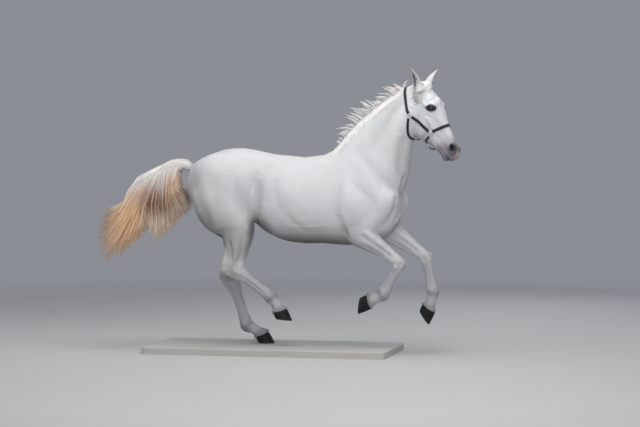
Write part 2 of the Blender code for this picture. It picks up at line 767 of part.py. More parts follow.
def mane_forms():
    """Short locks blown up and back off the crest, over longer ones that fall on the left side."""
    crest = [at(x, -0.004, z) for x, z in CREST]
    ridge = [ring_along([p + Vector((-0.006, 0.004, 0.010)) for p in crest], i / 16, 0.019) for i in range(17)]
    forms = [lofted_form(ridge, steps=1)]
    for i in range(MANE_LOCKS):
        share = (i + 0.4) / MANE_LOCKS
        root = curve_point(crest, share)
        along = curve_point(crest, min(share + 0.04, 1)) - curve_point(crest, max(share - 0.04, 0))
        along = along.normalized()
        up = Vector((-along.z, 0, along.x))
        down_side = Vector((0, 1, 0))
        swing = math.sin(i * 2.3)
        rise = 0.070 + 0.016 * swing
        tip = root + up * rise - along * (0.070 - 0.010 * swing)
        tip += down_side * (0.012 + 0.02 * math.sin(i * 1.7))
        middle = root.lerp(tip, 0.5) + up * 0.014
        forms.append(lock([root - up * 0.03, root, middle, tip], 0.024, 0.020, Vector((0, 1, 0)), 0.8))
        reach = (0.150 + 0.02 * swing) * (1.0 - 0.25 * share)
        fall = root + down_side * 0.105 - up * reach - along * (0.100 + 0.02 * swing)
        bend = root + down_side * 0.060 + up * 0.018 - along * 0.035
        falling = [root - up * 0.03, root + up * 0.004, bend, fall]
        forms.append(lock(falling, 0.034, 0.022, Vector((0, 0.9, 0.4)), 0.8))
    return forms


def forelock_forms():
    """Hair from the poll, blown across the forehead towards the right eye."""
    forms = []
    thin = HEAD_FRAME.to_3x3() @ Vector((1, 0, 0.4))
    for i in range(6):
        side = 0.036 - 0.014 * i
        start = on_head(-0.012, -0.120, side)
        top = on_head(-0.048 + 0.10 * abs(side), -0.076, side)
        brow = on_head(-0.010, -0.022 - 0.25 * abs(side), side - 0.006)
        middle = on_head(0.044, -0.002 - 0.16 * abs(side), side - 0.024)
        tip = on_head(0.090 + 0.012 * math.sin(i * 2.0), 0.000 - 0.008 * i, side - 0.044)
        forms.append(lock([start, top, brow, middle, tip], 0.017, 0.018, thin, 0.8))
    return forms


# ---------------------------------------------------------------- headcollar

SURFACE_OFFSET = STRAP_THICKNESS / 2 + 0.0020  # the middle of a strap over the skin
# Places the straps pass, on the head: length, front and side of the right half.  The left half mirrors it.
CHEEK_FITTING = (0.177, -0.207, 0.112)
SIDE_RING = (0.357, -0.138, 0.064)
JAW_RING = (0.398, -0.225, 0.0)


def mirrored(place, side):
    return (place[0], place[1], place[2] * side)


def around_head(places):
    """A line up the right side and down the left one through the places."""
    return [mirrored(p, RIGHT) for p in places] + [mirrored(p, LEFT) for p in reversed(places)]


def on_skin(body, near, centre):
    """The skin met on the way in to a centre from outside the point near it, and its outward direction."""
    outwards = (near - centre).normalized()
    spot, normal, _, _ = body.ray_cast(near + outwards * 0.05, -outwards)
    return spot, normal


def surface_path(places, centre, body, steps):
    """Points over the skin along a smooth line near it, with the skin's outward direction at each."""
    path = [on_head(*p) for p in places]
    found = []
    for i in range(steps + 1):
        spot, normal = on_skin(body, curve_point(path, i / steps), on_head(*centre))
        found.append((spot + normal * SURFACE_OFFSET, normal))
    lifted = []
    for point, normal in even_out(found, 4):
        skin = body.ray_cast(point + normal * 0.03, -normal)[0]
        lifted.append((point + normal * max(0, SURFACE_OFFSET - (point - skin).dot(normal)), normal))
    return lifted


def even_out(found, rounds):
    """Takes the facets of the skin out of a path."""
    for _ in range(rounds):
        middle = []
        for before, here, after in zip(found, found[1:], found[2:]):
            point = before[0] * 0.25 + here[0] * 0.5 + after[0] * 0.25
            middle.append((point, (before[1] + here[1] * 2 + after[1]).normalized()))
        found = [found[0], *middle, found[-1]]
    return found


def strap(name, found, width, surface):
    """A flat band along a path, its face turned to the skin."""
    bm = bmesh.new()
    loops = []
    for i, (point, normal) in enumerate(found):
        along = (found[min(i + 1, len(found) - 1)][0] - found[max(i - 1, 0)][0]).normalized()
        out = (normal - along * normal.dot(along)).normalized()
        across = along.cross(out) * width / 2
        half = out * STRAP_THICKNESS / 2
        square = bmesh.ops.create_circle(bm, cap_ends=False, radius=1.0, segments=4)["verts"]
        for vertex, offset in zip(square, (across + half, across - half, -across - half, -across + half)):
            vertex.co = point + offset
        loops.append(square)
    for before, after in zip(loops, loops[1:]):
        bmesh.ops.bridge_loops(bm, edges=ring_edges(before) + ring_edges(after))
    for end in (loops[0], loops[-1]):
        bmesh.ops.contextual_create(bm, geom=ring_edges(end))
    bmesh.ops.recalc_face_normals(bm, faces=bm.faces)
    return new_object(name, bm, surface)


def torus(name, centre, normal, radius, wire, surface, stretch=1.0):
    bm = bmesh.new()
    turn = normal.to_track_quat("Z", "Y").to_matrix()
    start = bmesh.ops.create_circle(bm, cap_ends=False, radius=wire, segments=5)["verts"]
    for vertex in start:
        vertex.co = Vector((radius + vertex.co.x, 0, vertex.co.y))
    edges = ring_edges(start)
    turned = {"cent": (0, 0, 0), "axis": (0, 0, 1), "angle": 2 * math.pi}
    bmesh.ops.spin(bm, geom=start + edges, steps=10, use_merge=True, **turned)
    bmesh.ops.remove_doubles(bm, verts=bm.verts, dist=0.00001)
    for vertex in bm.verts:
        vertex.co = centre + turn @ Vector((vertex.co.x * stretch, vertex.co.y, vertex.co.z))
    bmesh.ops.recalc_face_normals(bm, faces=bm.faces)
    return new_object(name, bm, surface)


# ---------------------------------------------------------------- carving and parting


def carve(made, cutter):
    """Takes the cutter's form out of made."""
    cutter.hide_render = True
    cutter.display_type = "WIRE"
    step = made.modifiers.new("carve", "BOOLEAN")
    step.operation = "DIFFERENCE"
    step.solver = "EXACT"
    step.object = cutter
    result = evaluated_copy(made, made.name)
    made.modifiers.clear()
    old, made.data = made.data, result.data
    bpy.data.objects.remove(result)
    bpy.data.meshes.remove(old)
    bpy.data.objects.remove(cutter)


def swollen(made, distance, name="cutter"):
    """A copy of made grown outwards by the distance."""
    bm = bmesh.new()
    bm.from_mesh(made.data)
    bm.normal_update()
    moved = [v.co + v.normal * distance * v.calc_shell_factor() for v in bm.verts]
    for vertex, place in zip(bm.verts, moved):
        vertex.co = place
    return helper(name, bm)


def islands(made):
    """The separate closed pieces of a mesh, as new objects."""
    bm = bmesh.new()
    bm.from_mesh(made.data)
    bm.verts.ensure_lookup_table()
    label = {}
    count = 0
    for first in bm.verts:
        if first in label:
            continue
        queue = [first]
        label[first] = count
        while queue:
            here = queue.pop()
            for edge in here.link_edges:
                other = edge.other_vert(here)
                if other not in label:
                    label[other] = count
                    queue.append(other)
        count += 1
    numbers = [label[v] for v in bm.verts]
    bm.free()
    pieces = []
    for number in range(count):
        one = bmesh.new()
        one.from_mesh(made.data)
        one.verts.ensure_lookup_table()
        others = [v for v, n in zip(one.verts, numbers) if n != number]
        bmesh.ops.delete(one, geom=others, context="VERTS")
        piece = new_object("piece", one)
        for surface in made.data.materials:
            piece.data.materials.append(surface)
        pieces.append(piece)
    bpy.data.objects.remove(made)
    return pieces


def largest(made):
    """Only the biggest island of a mesh."""
    name = made.name
    pieces = sorted(islands(made), key=lambda piece: len(piece.data.polygons))
    for piece in pieces[:-1]:
        bpy.data.objects.remove(piece)
    pieces[-1].name = name
    return pieces[-1]


Cut = namedtuple("Cut", "centre normal reach width")


def slab(cut):
    """A thin slab across the body, as long either way as its reach and half as wide as its width."""
    across = (Vector((0, 1, 0)) - cut.normal * cut.normal.y).normalized()
    normal = cut.normal.normalized()
    turn = Matrix((across.cross(normal), across, normal)).transposed().to_4x4()
    size = Matrix.Diagonal((cut.reach * 2, cut.width, PART_CUT, 1))
    bm = bmesh.new()
    bmesh.ops.create_cube(bm, size=1.0, matrix=Matrix.Translation(cut.centre) @ turn @ size)
    return new_object("slab", bm)


def leg_cuts(leg, places):
    cuts = []
    for bone, share, reach, width in places:
        down = bone_direction(leg.joints, bone, share)
        cuts.append(Cut(leg.joints[bone].lerp(leg.joints[bone + 1], share), down, reach, width))
    cuts.append(Cut(leg.joints[-1], coronet_normal(leg), 0.100, 0.16))
    return cuts


def body_cuts():
    cuts = [
        Cut(at(0.755, 0, 1.275), Vector((0.50, 0, 0.86)).normalized(), 0.42, 0.9),
        Cut(at(1.068, -0.02, 1.720), Vector((0.985, -0.16, -0.05)).normalized(), 0.25, 0.4),
        Cut(at(-0.010, 0, 1.12), Vector((1, 0, 0)), 0.42, 0.9),
    ]
    for leg in FORE_LEGS.values():
        upper = (0, 0.42, 0.105, 0.17) if leg.side == RIGHT else (0, 0.26, 0.130, 0.19)
        cuts += leg_cuts(leg, [upper, (0, 0.93, 0.085, 0.16)])
    for leg in HIND_LEGS.values():
        upper = (1, 0.34, 0.215, 0.24) if leg.side == RIGHT else (1, 0.22, 0.205, 0.24)
        cuts += leg_cuts(leg, [upper, (1, 0.80, 0.140, 0.16)])
    return cuts


def piece_seeds():
    """A point inside each named piece of flesh."""
    seeds = {
        "head": on_head(0.30, -0.08, 0),
        "neck": at(0.86, 0, 1.58),
        "barrel": at(0.35, 0, 1.05),
        "hindquarters": at(-0.35, 0, 1.25),
    }
    for side, name in SIDES.items():
        fore, hind = FORE_LEGS[side].joints, HIND_LEGS[side].joints
        seeds[f"forearm_{name}"] = fore[0].lerp(fore[1], 0.7)
        seeds[f"fore_cannon_{name}"] = fore[1].lerp(fore[2], 0.45)
        seeds[f"gaskin_{name}"] = hind[1].lerp(hind[2], 0.55)
        seeds[f"hind_cannon_{name}"] = hind[2].lerp(hind[3], 0.4)
    return seeds


def claim(pieces, seeds, surface):
    """Names each piece after the seed it encloses or comes nearest to, and drops the rest."""
    trees = [body_tree(piece) for piece in pieces]
    taken = set()
    for name, seed in seeds.items():
        depths = [depth_in(tree, seed) for tree in trees]
        best = depths.index(max(depths))
        taken.add(best)
        pieces[best].name = name
        pieces[best].data.materials.append(surface)
    for i, piece in enumerate(pieces):
        if i not in taken:
            bpy.data.objects.remove(piece)


def body_tree(made):
    return BVHTree.FromPolygons([v.co for v in made.data.vertices], [f.vertices for f in made.data.polygons])


def depth_in(tree, point):
    """How deep a point lies under a closed surface, below zero outside it."""
    direction = Vector((0.31, 0.87, 0.38)).normalized()
    crossings = 0
    start = point
    while True:
        spot = tree.ray_cast(start, direction)[0]
        if spot is None:
            break
        crossings += 1
        start = spot + direction * 0.00001
    distance = tree.find_nearest(point)[3]
    return distance if crossings % 2 else -distance


# ---------------------------------------------------------------- assembly


def trimmed(made, cutters):
    """made without what reaches into any of the cutters, as one piece."""
    for cutter in cutters:
        carve(made, swollen(cutter, GAP * 1.2))
    return largest(made)


def headcollar(flesh, webbing, metal):
    body = body_tree(flesh)
    right_side = HEAD_FRAME.to_3x3() @ Vector((0, -1, 0))
    pieces = []
    rings = []
    for side, name in SIDES.items():
        for label, place, radius, wire in (
            ("ring", SIDE_RING, 0.0165, 0.0030),
            ("fitting", CHEEK_FITTING, 0.0135, 0.0028),
        ):
            near = on_head(*mirrored(place, side))
            spot, normal = on_skin(body, near, on_head(place[0], place[1], 0))
            centre = spot + normal * (wire + 0.0015)
            rings.append(torus(f"halter_{label}_{name}", centre, normal, radius, wire, metal))
    down = HEAD_FRAME.to_3x3() @ Vector((-0.8, 0, -0.6))
    jaw_centre = on_skin(body, on_head(*JAW_RING), on_head(0.375, -0.12, 0))[0] + down * 0.017
    sideways = HEAD_FRAME.to_3x3() @ Vector((0, 1, 0))
    rings.append(torus("halter_jaw_ring", jaw_centre, sideways, 0.0150, 0.0028, metal))
    centre = (0.07, -0.17, 0)
    crown = around_head(
        [
            (0.160, -0.204, 0.112),
            (0.080, -0.200, 0.098),
            (0.026, -0.196, 0.082),
            (-0.018, -0.182, 0.056),
        ]
    )
    crown.insert(len(crown) // 2, (-0.042, -0.165, 0.0))
    pieces.append(strap("halter_crown", surface_path(crown, centre, body, 15), STRAP_WIDTH, webbing))
    nose = around_head([(0.350, -0.116, 0.066), (0.351, -0.058, 0.060), (0.352, -0.014, 0.038)])
    nose.insert(len(nose) // 2, (0.352, -0.002, 0.0))
    found = surface_path(nose, (0.351, -0.10, 0), body, 14)
    pieces.append(strap("halter_noseband", found, STRAP_WIDTH, webbing))
    throat = around_head(
        [
            (0.194, -0.220, 0.116),
            (0.238, -0.249, 0.122),
            (0.290, -0.273, 0.116),
            (0.327, -0.276, 0.084),
        ]
    )
    throat.insert(len(throat) // 2, (0.346, -0.258, 0.0))
    found = surface_path(throat, (0.24, -0.20, 0), body, 14)
    pieces.append(strap("halter_throat", found, STRAP_WIDTH * 0.85, webbing))
    for side, name in SIDES.items():
        cheek = [(0.192, -0.196, 0.112), (0.254, -0.169, 0.086), (0.340, -0.143, 0.068)]
        found = surface_path([mirrored(p, side) for p in cheek], (0.26, -0.17, 0), body, 8)
        pieces.append(strap(f"halter_cheek_{name}", found, STRAP_WIDTH, webbing))
    chin = [(0.364, -0.156, -0.064), (0.378, -0.196, -0.050), (0.388, -0.220, -0.020)]
    found = surface_path(chin, (0.375, -0.12, 0), body, 6)
    pieces.append(strap("halter_chin_right", found, STRAP_WIDTH * 0.75, webbing))
    slack = [(0.418, -0.226, 0.006), (0.446, -0.212, 0.024), (0.436, -0.180, 0.060), (0.368, -0.150, 0.072)]
    path = [on_head(*p) for p in slack]
    spots = [curve_point(path, i / 8) for i in range(9)]
    found = [(spot, spot - on_head(0.38, -0.12, 0)) for spot in spots]
    pieces.append(strap("halter_chin_left", found, STRAP_WIDTH * 0.75, webbing))
    return pieces, rings


def build():
    coat = material("Grey Coat", (0.78, 0.78, 0.77), 0.65)
    hair = material("Cream Hair", (0.80, 0.72, 0.60), 0.55)
    horn = material("Dark Horn", (0.045, 0.040, 0.038), 0.45)
    eye_surface = material("Dark Eye", (0.015, 0.010, 0.010), 0.08)
    webbing = material("Navy Webbing", (0.020, 0.024, 0.040), 0.75)
    metal = material("Halter Metal", (0.70, 0.69, 0.66), 0.30, 1.0)
    wood = material("Base Board", (0.60, 0.59, 0.57), 0.55)

    forms = trunk_forms() + neck_forms() + head_forms()
    for leg in FORE_LEGS.values():
        forms += fore_leg_forms(leg)
    for leg in HIND_LEGS.values():
        forms += hind_leg_forms(leg)
    flesh = fuse(forms, "flesh", FLESH_VOXEL, FLESH_TRIANGLES)

    ears = [ear(side, coat) for side in SIDES]
    for side in SIDES:
        eyeball(side, eye_surface)
        for cutter in eye_socket(side):
            carve(flesh, cutter)
        carve(flesh, nostril_hollow(side))
    straps, rings = headcollar(flesh, webbing, metal)
    ears = [trimmed(made, [flesh]) for made in ears]
    rings = [trimmed(made, [flesh]) for made in rings]
    done = ears + rings
    for made in straps:
        done.append(trimmed(made, [flesh, *done]))

    mane = fuse_hair(mane_forms(), "mane", 0.0060, 400)
    mane = trimmed(mane, [flesh])
    mane.data.materials.append(hair)
    forelock = fuse_hair(forelock_forms(), "forelock", 0.0040, 220)
    forelock = trimmed(forelock, [flesh, *ears])
    forelock.data.materials.append(hair)
    tail = fuse_hair(tail_forms(), "tail", 0.0090, 680)
    tail = trimmed(tail, [flesh])
    tail.data.materials.append(hair)

    for cut in body_cuts():
        carve(flesh, slab(cut))
    claim(islands(flesh), piece_seeds(), coat)

    for kind, legs in (("fore", FORE_LEGS), ("hind", HIND_LEGS)):
        for side, leg in legs.items():
            hoof(f"{kind}_hoof_{SIDES[side]}", leg, HOOF_SCALE[kind], horn)
    stand_base(wood)


def fuse_hair(forms, name, voxel, triangles):
    """One closed mesh over the locks, thinned to the number of triangles."""
    whole = joined(forms, name)
    remesh = whole.modifiers.new("fuse", "REMESH")
    remesh.mode = "VOXEL"
    remesh.voxel_size = voxel
    fused = evaluated_copy(whole, name)
    bpy.data.objects.remove(whole)
    taubin(fused, 2)
    thin = fused.modifiers.new("thin", "DECIMATE")
    thin.ratio = triangles / (2 * len(fused.data.polygons))
    result = evaluated_copy(fused, name)
    bpy.data.objects.remove(fused)
    return result


def stand_base(surface):
    bm = bmesh.new()
    place = Matrix.Translation((0, 0, BASE_SIZE.z / 2)) @ Matrix.Diagonal((*BASE_SIZE, 1))
    bmesh.ops.create_cube(bm, size=1.0, matrix=place)
    corners = [e for e in bm.edges if abs(e.verts[0].co.z - e.verts[1].co.z) > 0.01]
    bmesh.ops.bevel(bm, geom=corners, offset=0.03, segments=3, profile=0.5, affect="EDGES", material=-1)
    rims = [e for e in bm.edges if all(abs(v.co.z - BASE_SIZE.z) < 0.001 for v in e.verts)]
    bmesh.ops.bevel(bm, geom=rims, offset=0.005, segments=1, profile=0.5, affect="EDGES", material=-1)
    new_object("stand_base", bm, surface)


if __name__ == "__main__":
    clear_scene()
    build()
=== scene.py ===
"""The looks of a life-size grey horse in a right-lead canter, wearing a headcollar, on its base.

One skin covers the whole body.  It is lofted, fused and sculpted here from the same named sizes as the
solids, and lies inside them by about the depth of the coat.  The horse faces +X with its left side at +Y.
Sizes are metres.  Heights are measured from the ground, which is the top of the base.
"""

import math
from collections import namedtuple

import bmesh
import bpy
import numpy as np
from bpy.props import FloatProperty, FloatVectorProperty, IntProperty, PointerProperty
from mathutils import Euler, Matrix, Vector
from mathutils.bvhtree import BVHTree


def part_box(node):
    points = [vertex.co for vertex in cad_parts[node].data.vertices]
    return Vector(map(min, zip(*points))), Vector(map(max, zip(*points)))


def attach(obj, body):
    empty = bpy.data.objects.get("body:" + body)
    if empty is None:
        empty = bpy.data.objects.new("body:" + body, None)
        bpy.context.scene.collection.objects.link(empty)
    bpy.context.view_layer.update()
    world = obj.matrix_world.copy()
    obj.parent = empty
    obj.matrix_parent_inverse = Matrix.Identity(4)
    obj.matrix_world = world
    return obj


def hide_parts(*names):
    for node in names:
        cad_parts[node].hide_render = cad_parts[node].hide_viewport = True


bl_info = {
    "name": "Cantering Horse",
    "version": (1, 0, 0),
    "blender": (4, 5, 0),
    "location": "3D View > Sidebar > Horse",
    "description": "Skin, coat, hair, eyes, hooves and headcollar of a life-size cantering horse",
    "category": "Object",
}

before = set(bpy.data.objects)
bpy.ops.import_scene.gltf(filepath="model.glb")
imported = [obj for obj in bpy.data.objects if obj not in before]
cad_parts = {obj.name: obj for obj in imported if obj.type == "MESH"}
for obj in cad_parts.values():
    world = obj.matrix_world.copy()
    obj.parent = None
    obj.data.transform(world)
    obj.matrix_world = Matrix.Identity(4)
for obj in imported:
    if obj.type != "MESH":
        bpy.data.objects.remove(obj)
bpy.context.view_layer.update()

# ---------------------------------------------------------------- sizes of the body

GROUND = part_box("stand_base")[1].z  # height of the ground the horse canters on
SKIN_VOXEL = 0.0085
COAT_DEPTH = 0.0020  # how far the skin lies inside the outline
EYE_RADIUS = 0.0215

RIGHT, LEFT = -1, 1
SIDES = {RIGHT: "right", LEFT: "left"}


def at(x, y, z):
    """A point given by its height over the ground."""
    return Vector((x, y, z + GROUND))


# The head hangs from the poll, turned to the right of the body and carried with the nose forward.
POLL = at(1.166, -0.045, 1.925)
HEAD_TURN = math.radians(-20)
HEAD_PITCH = math.radians(25)
HEAD_TILT = math.radians(3)

# Joints of each leg from the top down, and the pitch of the sole from heel to toe.
Leg = namedtuple("Leg", "side joints sole_pitch")
FORE_LEGS = {
    RIGHT: Leg(
        RIGHT,
        [
            at(0.668, -0.162, 0.828),
            at(0.962, -0.130, 0.612),
            at(0.840, -0.122, 0.388),
            at(0.736, -0.120, 0.341),
        ],
        math.radians(-98),
    ),
    LEFT: Leg(
        LEFT,
        [at(0.808, 0.165, 0.850), at(1.112, 0.130, 0.640), at(1.165, 0.124, 0.400), at(1.128, 0.122, 0.282)],
        math.radians(-57),
    ),
}
HIND_LEGS = {
    RIGHT: Leg(
        RIGHT,
        [
            at(-0.457, -0.145, 1.168),
            at(-0.190, -0.165, 0.905),
            at(-0.245, -0.138, 0.555),
            at(0.012, -0.128, 0.366),
            at(0.072, -0.125, 0.262),
        ],
        math.radians(-6),
    ),
    LEFT: Leg(
        LEFT,
        [
            at(-0.457, 0.145, 1.168),
            at(-0.262, 0.165, 0.815),
            at(-0.352, 0.138, 0.462),
            at(-0.240, 0.128, 0.136),
            at(-0.128, 0.124, 0.0621),
        ],
        0.0,
    ),
}
ALL_LEGS = (*FORE_LEGS.values(), *HIND_LEGS.values())
POINT_OF_HOCK = {RIGHT: at(-0.352, -0.140, 0.555), LEFT: at(-0.440, 0.140, 0.484)}

# ---------------------------------------------------------------- mesh tools

Ring = namedtuple("Ring", "centre up side taper power")
RING_POINTS = 28


def new_object(name, bm, surface=None):
    mesh = bpy.data.meshes.new(name)
    bm.to_mesh(mesh)
    bm.free()
    made = bpy.data.objects.new(name, mesh)
    bpy.context.scene.collection.objects.link(made)
    if surface:
        mesh.materials.append(surface)
    return made


def smooth_between(before, start, end, after, share):
    """Catmull-Rom interpolation, which works on numbers and on vectors."""
    a = 2 * start
    b = end - before
    c = 2 * before - 5 * start + 4 * end - after
    d = 3 * start - before - 3 * end + after
    return 0.5 * (a + b * share + c * share**2 + d * share**3)


def refine_rings(rings, steps):
    """The given rings with smoothly interpolated ones between them."""
    finer = []
    last = len(rings) - 1
    for i in range(last):
        four = [rings[max(i - 1, 0)], rings[i], rings[i + 1], rings[min(i + 2, last)]]
        for step in range(steps):
            share = step / steps
            finer.append(Ring(*(smooth_between(*(r[k] for r in four), share) for k in range(5))))
    finer.append(rings[-1])
    return finer


def signed_power(value, power):
    return math.copysign(abs(value) ** power, value)


def ring_point(ring, angle):
    """A point of a superellipse that is narrower at its top by the ring's taper."""
    along = signed_power(math.sin(angle), 2 / ring.power)
    across = signed_power(math.cos(angle), 2 / ring.power) * (1 - ring.taper * along)
    return ring.centre + ring.up * along + ring.side * across


def circle(bm, count, place):
    """A loop of so many vertices, each where place puts it."""
    made = bmesh.ops.create_circle(bm, cap_ends=False, radius=1.0, segments=count)["verts"]
    for i, vertex in enumerate(made):
        vertex.co = place(i)
    return made


def bridged(bm, loops):
    """Joins each loop to the next and closes both ends.  Returns the faces, with the two ends last."""
    faces = []
    for before, after in zip(loops, loops[1:]):
        faces += bmesh.ops.bridge_loops(bm, edges=ring_edges(before) + ring_edges(after))["faces"]
    for end in (loops[0], loops[-1]):
        faces += bmesh.ops.contextual_create(bm, geom=ring_edges(end))["faces"]
    return faces


def loft(bm, rings, steps, points):
    """A closed skin over the rings, added to bm."""
    finer_rings = refine_rings(rings, steps)
    bridged(bm, [circle(bm, points, lambda i: ring_point(ring, 2 * math.pi * i / points)) for ring in finer_rings])


def added_loft(bm, rings, steps, points):
    """A closed skin over the rings, added to a mesh with other parts and turned outwards."""
    before = set(bm.faces)
    loft(bm, rings, steps, points)
    bmesh.ops.recalc_face_normals(bm, faces=[f for f in bm.faces if f not in before])


def ring_edges(vertices):
    chosen = set(vertices)
    return list({e for v in vertices for e in v.link_edges if e.other_vert(v) in chosen})


def lofted_form(rings, steps=4, points=RING_POINTS):
    bm = bmesh.new()
    loft(bm, rings, steps, points)
    bmesh.ops.recalc_face_normals(bm, faces=bm.faces)
    return new_object("form", bm)


def ellipsoid(centre, radii, turn=Euler((0, 0, 0)), around=24):
    bm = bmesh.new()
    place = Matrix.Translation(centre) @ turn.to_matrix().to_4x4() @ Matrix.Diagonal((*radii, 1))
    bmesh.ops.create_uvsphere(bm, u_segments=around, v_segments=around // 3 * 2, radius=1.0, matrix=place)
    return new_object("form", bm)


def capsule(start, end, start_radius, end_radius, flat=1.0):
    """A tapered bar with round ends.  flat scales its thickness across the body."""
    sideways = Vector((0, 1, 0))
    along = (end - start).normalized()
    side = (sideways - along * sideways.dot(along)).normalized()
    up = side.cross(along)
    rings = []
    halves = ((start, start_radius, (-85, -55, -25, 0)), (end, end_radius, (0, 25, 55, 85)))
    for centre, radius, turns in halves:
        for degrees in turns:
            angle = math.radians(degrees)
            width = radius * math.cos(angle)
            place = centre + along * radius * math.sin(angle)
            rings.append(Ring(place, up * width, side * width * flat, 0.0, 2.0))
    return lofted_form(rings, steps=1)


# ---------------------------------------------------------------- trunk and neck

Slice = namedtuple("Slice", "x top bottom half_width widest taper power")
TRUNK = [
    Slice(-0.645, 1.300, 1.180, 0.055, 1.235, 0.0, 2.0),
    Slice(-0.605, 1.342, 1.060, 0.125, 1.200, 0.0, 2.0),
    Slice(-0.520, 1.386, 0.985, 0.195, 1.190, 0.0, 2.0),
    Slice(-0.400, 1.430, 0.945, 0.240, 1.190, 0.04, 2.1),
    Slice(-0.280, 1.447, 0.930, 0.258, 1.195, 0.06, 2.1),
    Slice(-0.160, 1.437, 0.905, 0.258, 1.180, 0.06, 2.1),
    Slice(-0.040, 1.411, 0.820, 0.258, 1.120, 0.08, 2.1),
    Slice(0.100, 1.390, 0.762, 0.276, 1.080, 0.10, 2.1),
    Slice(0.250, 1.383, 0.748, 0.288, 1.065, 0.12, 2.1),
    Slice(0.380, 1.398, 0.748, 0.282, 1.075, 0.18, 2.0),
    Slice(0.490, 1.454, 0.755, 0.264, 1.080, 0.32, 1.9),
    Slice(0.600, 1.474, 0.768, 0.250, 1.070, 0.30, 1.9),
    Slice(0.720, 1.430, 0.788, 0.238, 1.060, 0.16, 2.0),
    Slice(0.830, 1.360, 0.820, 0.215, 1.050, 0.08, 2.0),
    Slice(0.905, 1.260, 0.880, 0.170, 1.045, 0.05, 2.0),
    Slice(0.945, 1.170, 0.950, 0.110, 1.045, 0.0, 2.0),
]


def trunk_forms():
    rings = []
    for s in TRUNK:
        middle = (s.top + s.bottom) / 2
        lift = (s.widest - middle) * 0.5
        rings.append(
            Ring(
                at(s.x, 0, middle + lift),
                Vector((0, 0, (s.top - s.bottom) / 2 - lift * 0.2)),
                Vector((0, s.half_width, 0)),
                s.taper,
                s.power,
            )
        )
    forms = [lofted_form(rings, steps=3)]
    forms.append(ellipsoid(at(0.865, 0, 1.090), (0.080, 0.110, 0.140)))
    for side in SIDES:
        forms += [
            ellipsoid(at(0.868, 0.092 * side, 1.045), (0.088, 0.092, 0.145)),  # breast
            ellipsoid(at(-0.180, 0.190 * side, 1.318), (0.080, 0.040, 0.045), Euler((0, 0.5, 0))),  # hip
            ellipsoid(at(-0.380, 0.125 * side, 1.250), (0.210, 0.138, 0.160)),  # rump
            # buttock
            ellipsoid(at(-0.550, 0.092 * side, 1.150), (0.085, 0.082, 0.160), Euler((0, -0.15, 0))),
        ]
    return forms


# Each neck section runs from a point of the crest to the point of the throat line below it.
NeckSlice = namedtuple("NeckSlice", "crest throat half_width y")
NECK = [
    NeckSlice((0.340, 1.330), (0.820, 0.930), 0.200, 0.0),
    NeckSlice((0.470, 1.462), (0.930, 1.045), 0.190, 0.0),
    NeckSlice((0.560, 1.566), (0.974, 1.150), 0.160, 0.0),
    NeckSlice((0.640, 1.650), (0.996, 1.215), 0.134, 0.0),
    NeckSlice((0.730, 1.728), (1.012, 1.290), 0.112, -0.004),
    NeckSlice((0.820, 1.794), (1.024, 1.370), 0.096, -0.010),
    NeckSlice((0.910, 1.848), (1.034, 1.440), 0.085, -0.018),
    NeckSlice((0.990, 1.884), (1.045, 1.505), 0.077, -0.026),
    NeckSlice((1.060, 1.906), (1.075, 1.580), 0.072, -0.034),
    NeckSlice((1.115, 1.912), (1.125, 1.680), 0.067, -0.040),
]


def neck_forms():
    rings = []
    for s in NECK:
        crest, throat = at(s.crest[0], s.y, s.crest[1]), at(s.throat[0], s.y, s.throat[1])
        half_width = Vector((0, s.half_width, 0))
        rings.append(Ring((crest + throat) / 2, (crest - throat) / 2, half_width, 0.42, 2.0))
    return [lofted_form(rings, steps=3)]


# ---------------------------------------------------------------- head

HEAD_FRAME = (
    Matrix.Translation(POLL)
    @ Matrix.Rotation(HEAD_TURN, 4, "Z")
    @ Matrix.Rotation(-HEAD_PITCH, 4, "Y")
    @ Matrix.Rotation(HEAD_TILT, 4, "X")
)
HEAD_AXES = HEAD_FRAME.to_3x3()


def on_head(length, front, side):
    """A point of the head: its distance down from the poll, in front of the face line and to the left."""
    return HEAD_FRAME @ Vector((front, side, -length))


HeadSlice = namedtuple("HeadSlice", "length face jaw half_width taper power")
HEAD = [
    HeadSlice(-0.034, -0.085, -0.165, 0.036, 0.0, 2.0),
    HeadSlice(-0.012, -0.058, -0.205, 0.058, 0.0, 2.1),
    HeadSlice(0.040, -0.030, -0.235, 0.074, -0.02, 2.2),
    HeadSlice(0.090, -0.012, -0.250, 0.082, -0.04, 2.3),
    HeadSlice(0.140, -0.002, -0.258, 0.086, -0.10, 2.6),
    HeadSlice(0.200, 0.004, -0.272, 0.086, -0.13, 2.7),
    HeadSlice(0.260, 0.002, -0.292, 0.080, -0.06, 2.5),
    HeadSlice(0.310, -0.003, -0.284, 0.073, 0.00, 2.3),
    HeadSlice(0.350, -0.006, -0.256, 0.065, 0.03, 2.3),
    HeadSlice(0.395, -0.008, -0.217, 0.056, 0.06, 2.3),
    HeadSlice(0.440, -0.010, -0.190, 0.050, 0.06, 2.3),
    HeadSlice(0.490, -0.012, -0.166, 0.048, 0.04, 2.3),
    HeadSlice(0.530, -0.018, -0.150, 0.048, 0.00, 2.2),
    HeadSlice(0.562, -0.030, -0.134, 0.044, 0.00, 2.1),
    HeadSlice(0.584, -0.048, -0.108, 0.034, 0.00, 2.0),
    HeadSlice(0.596, -0.060, -0.088, 0.018, 0.00, 2.0),
]
EYE = (0.198, -0.041, 0.0745)  # centre of the left eyeball, as length, front and side
EYE_SLANT = math.radians(27)  # the inner corner lies lower on the face than the outer one
NOSTRIL = (0.519, -0.035, 0.052)


def head_turn(about_side=0.0):
    """The head's axes, turned further in the plane of its profile."""
    return (HEAD_AXES @ Matrix.Rotation(about_side, 3, "Y")).to_euler()


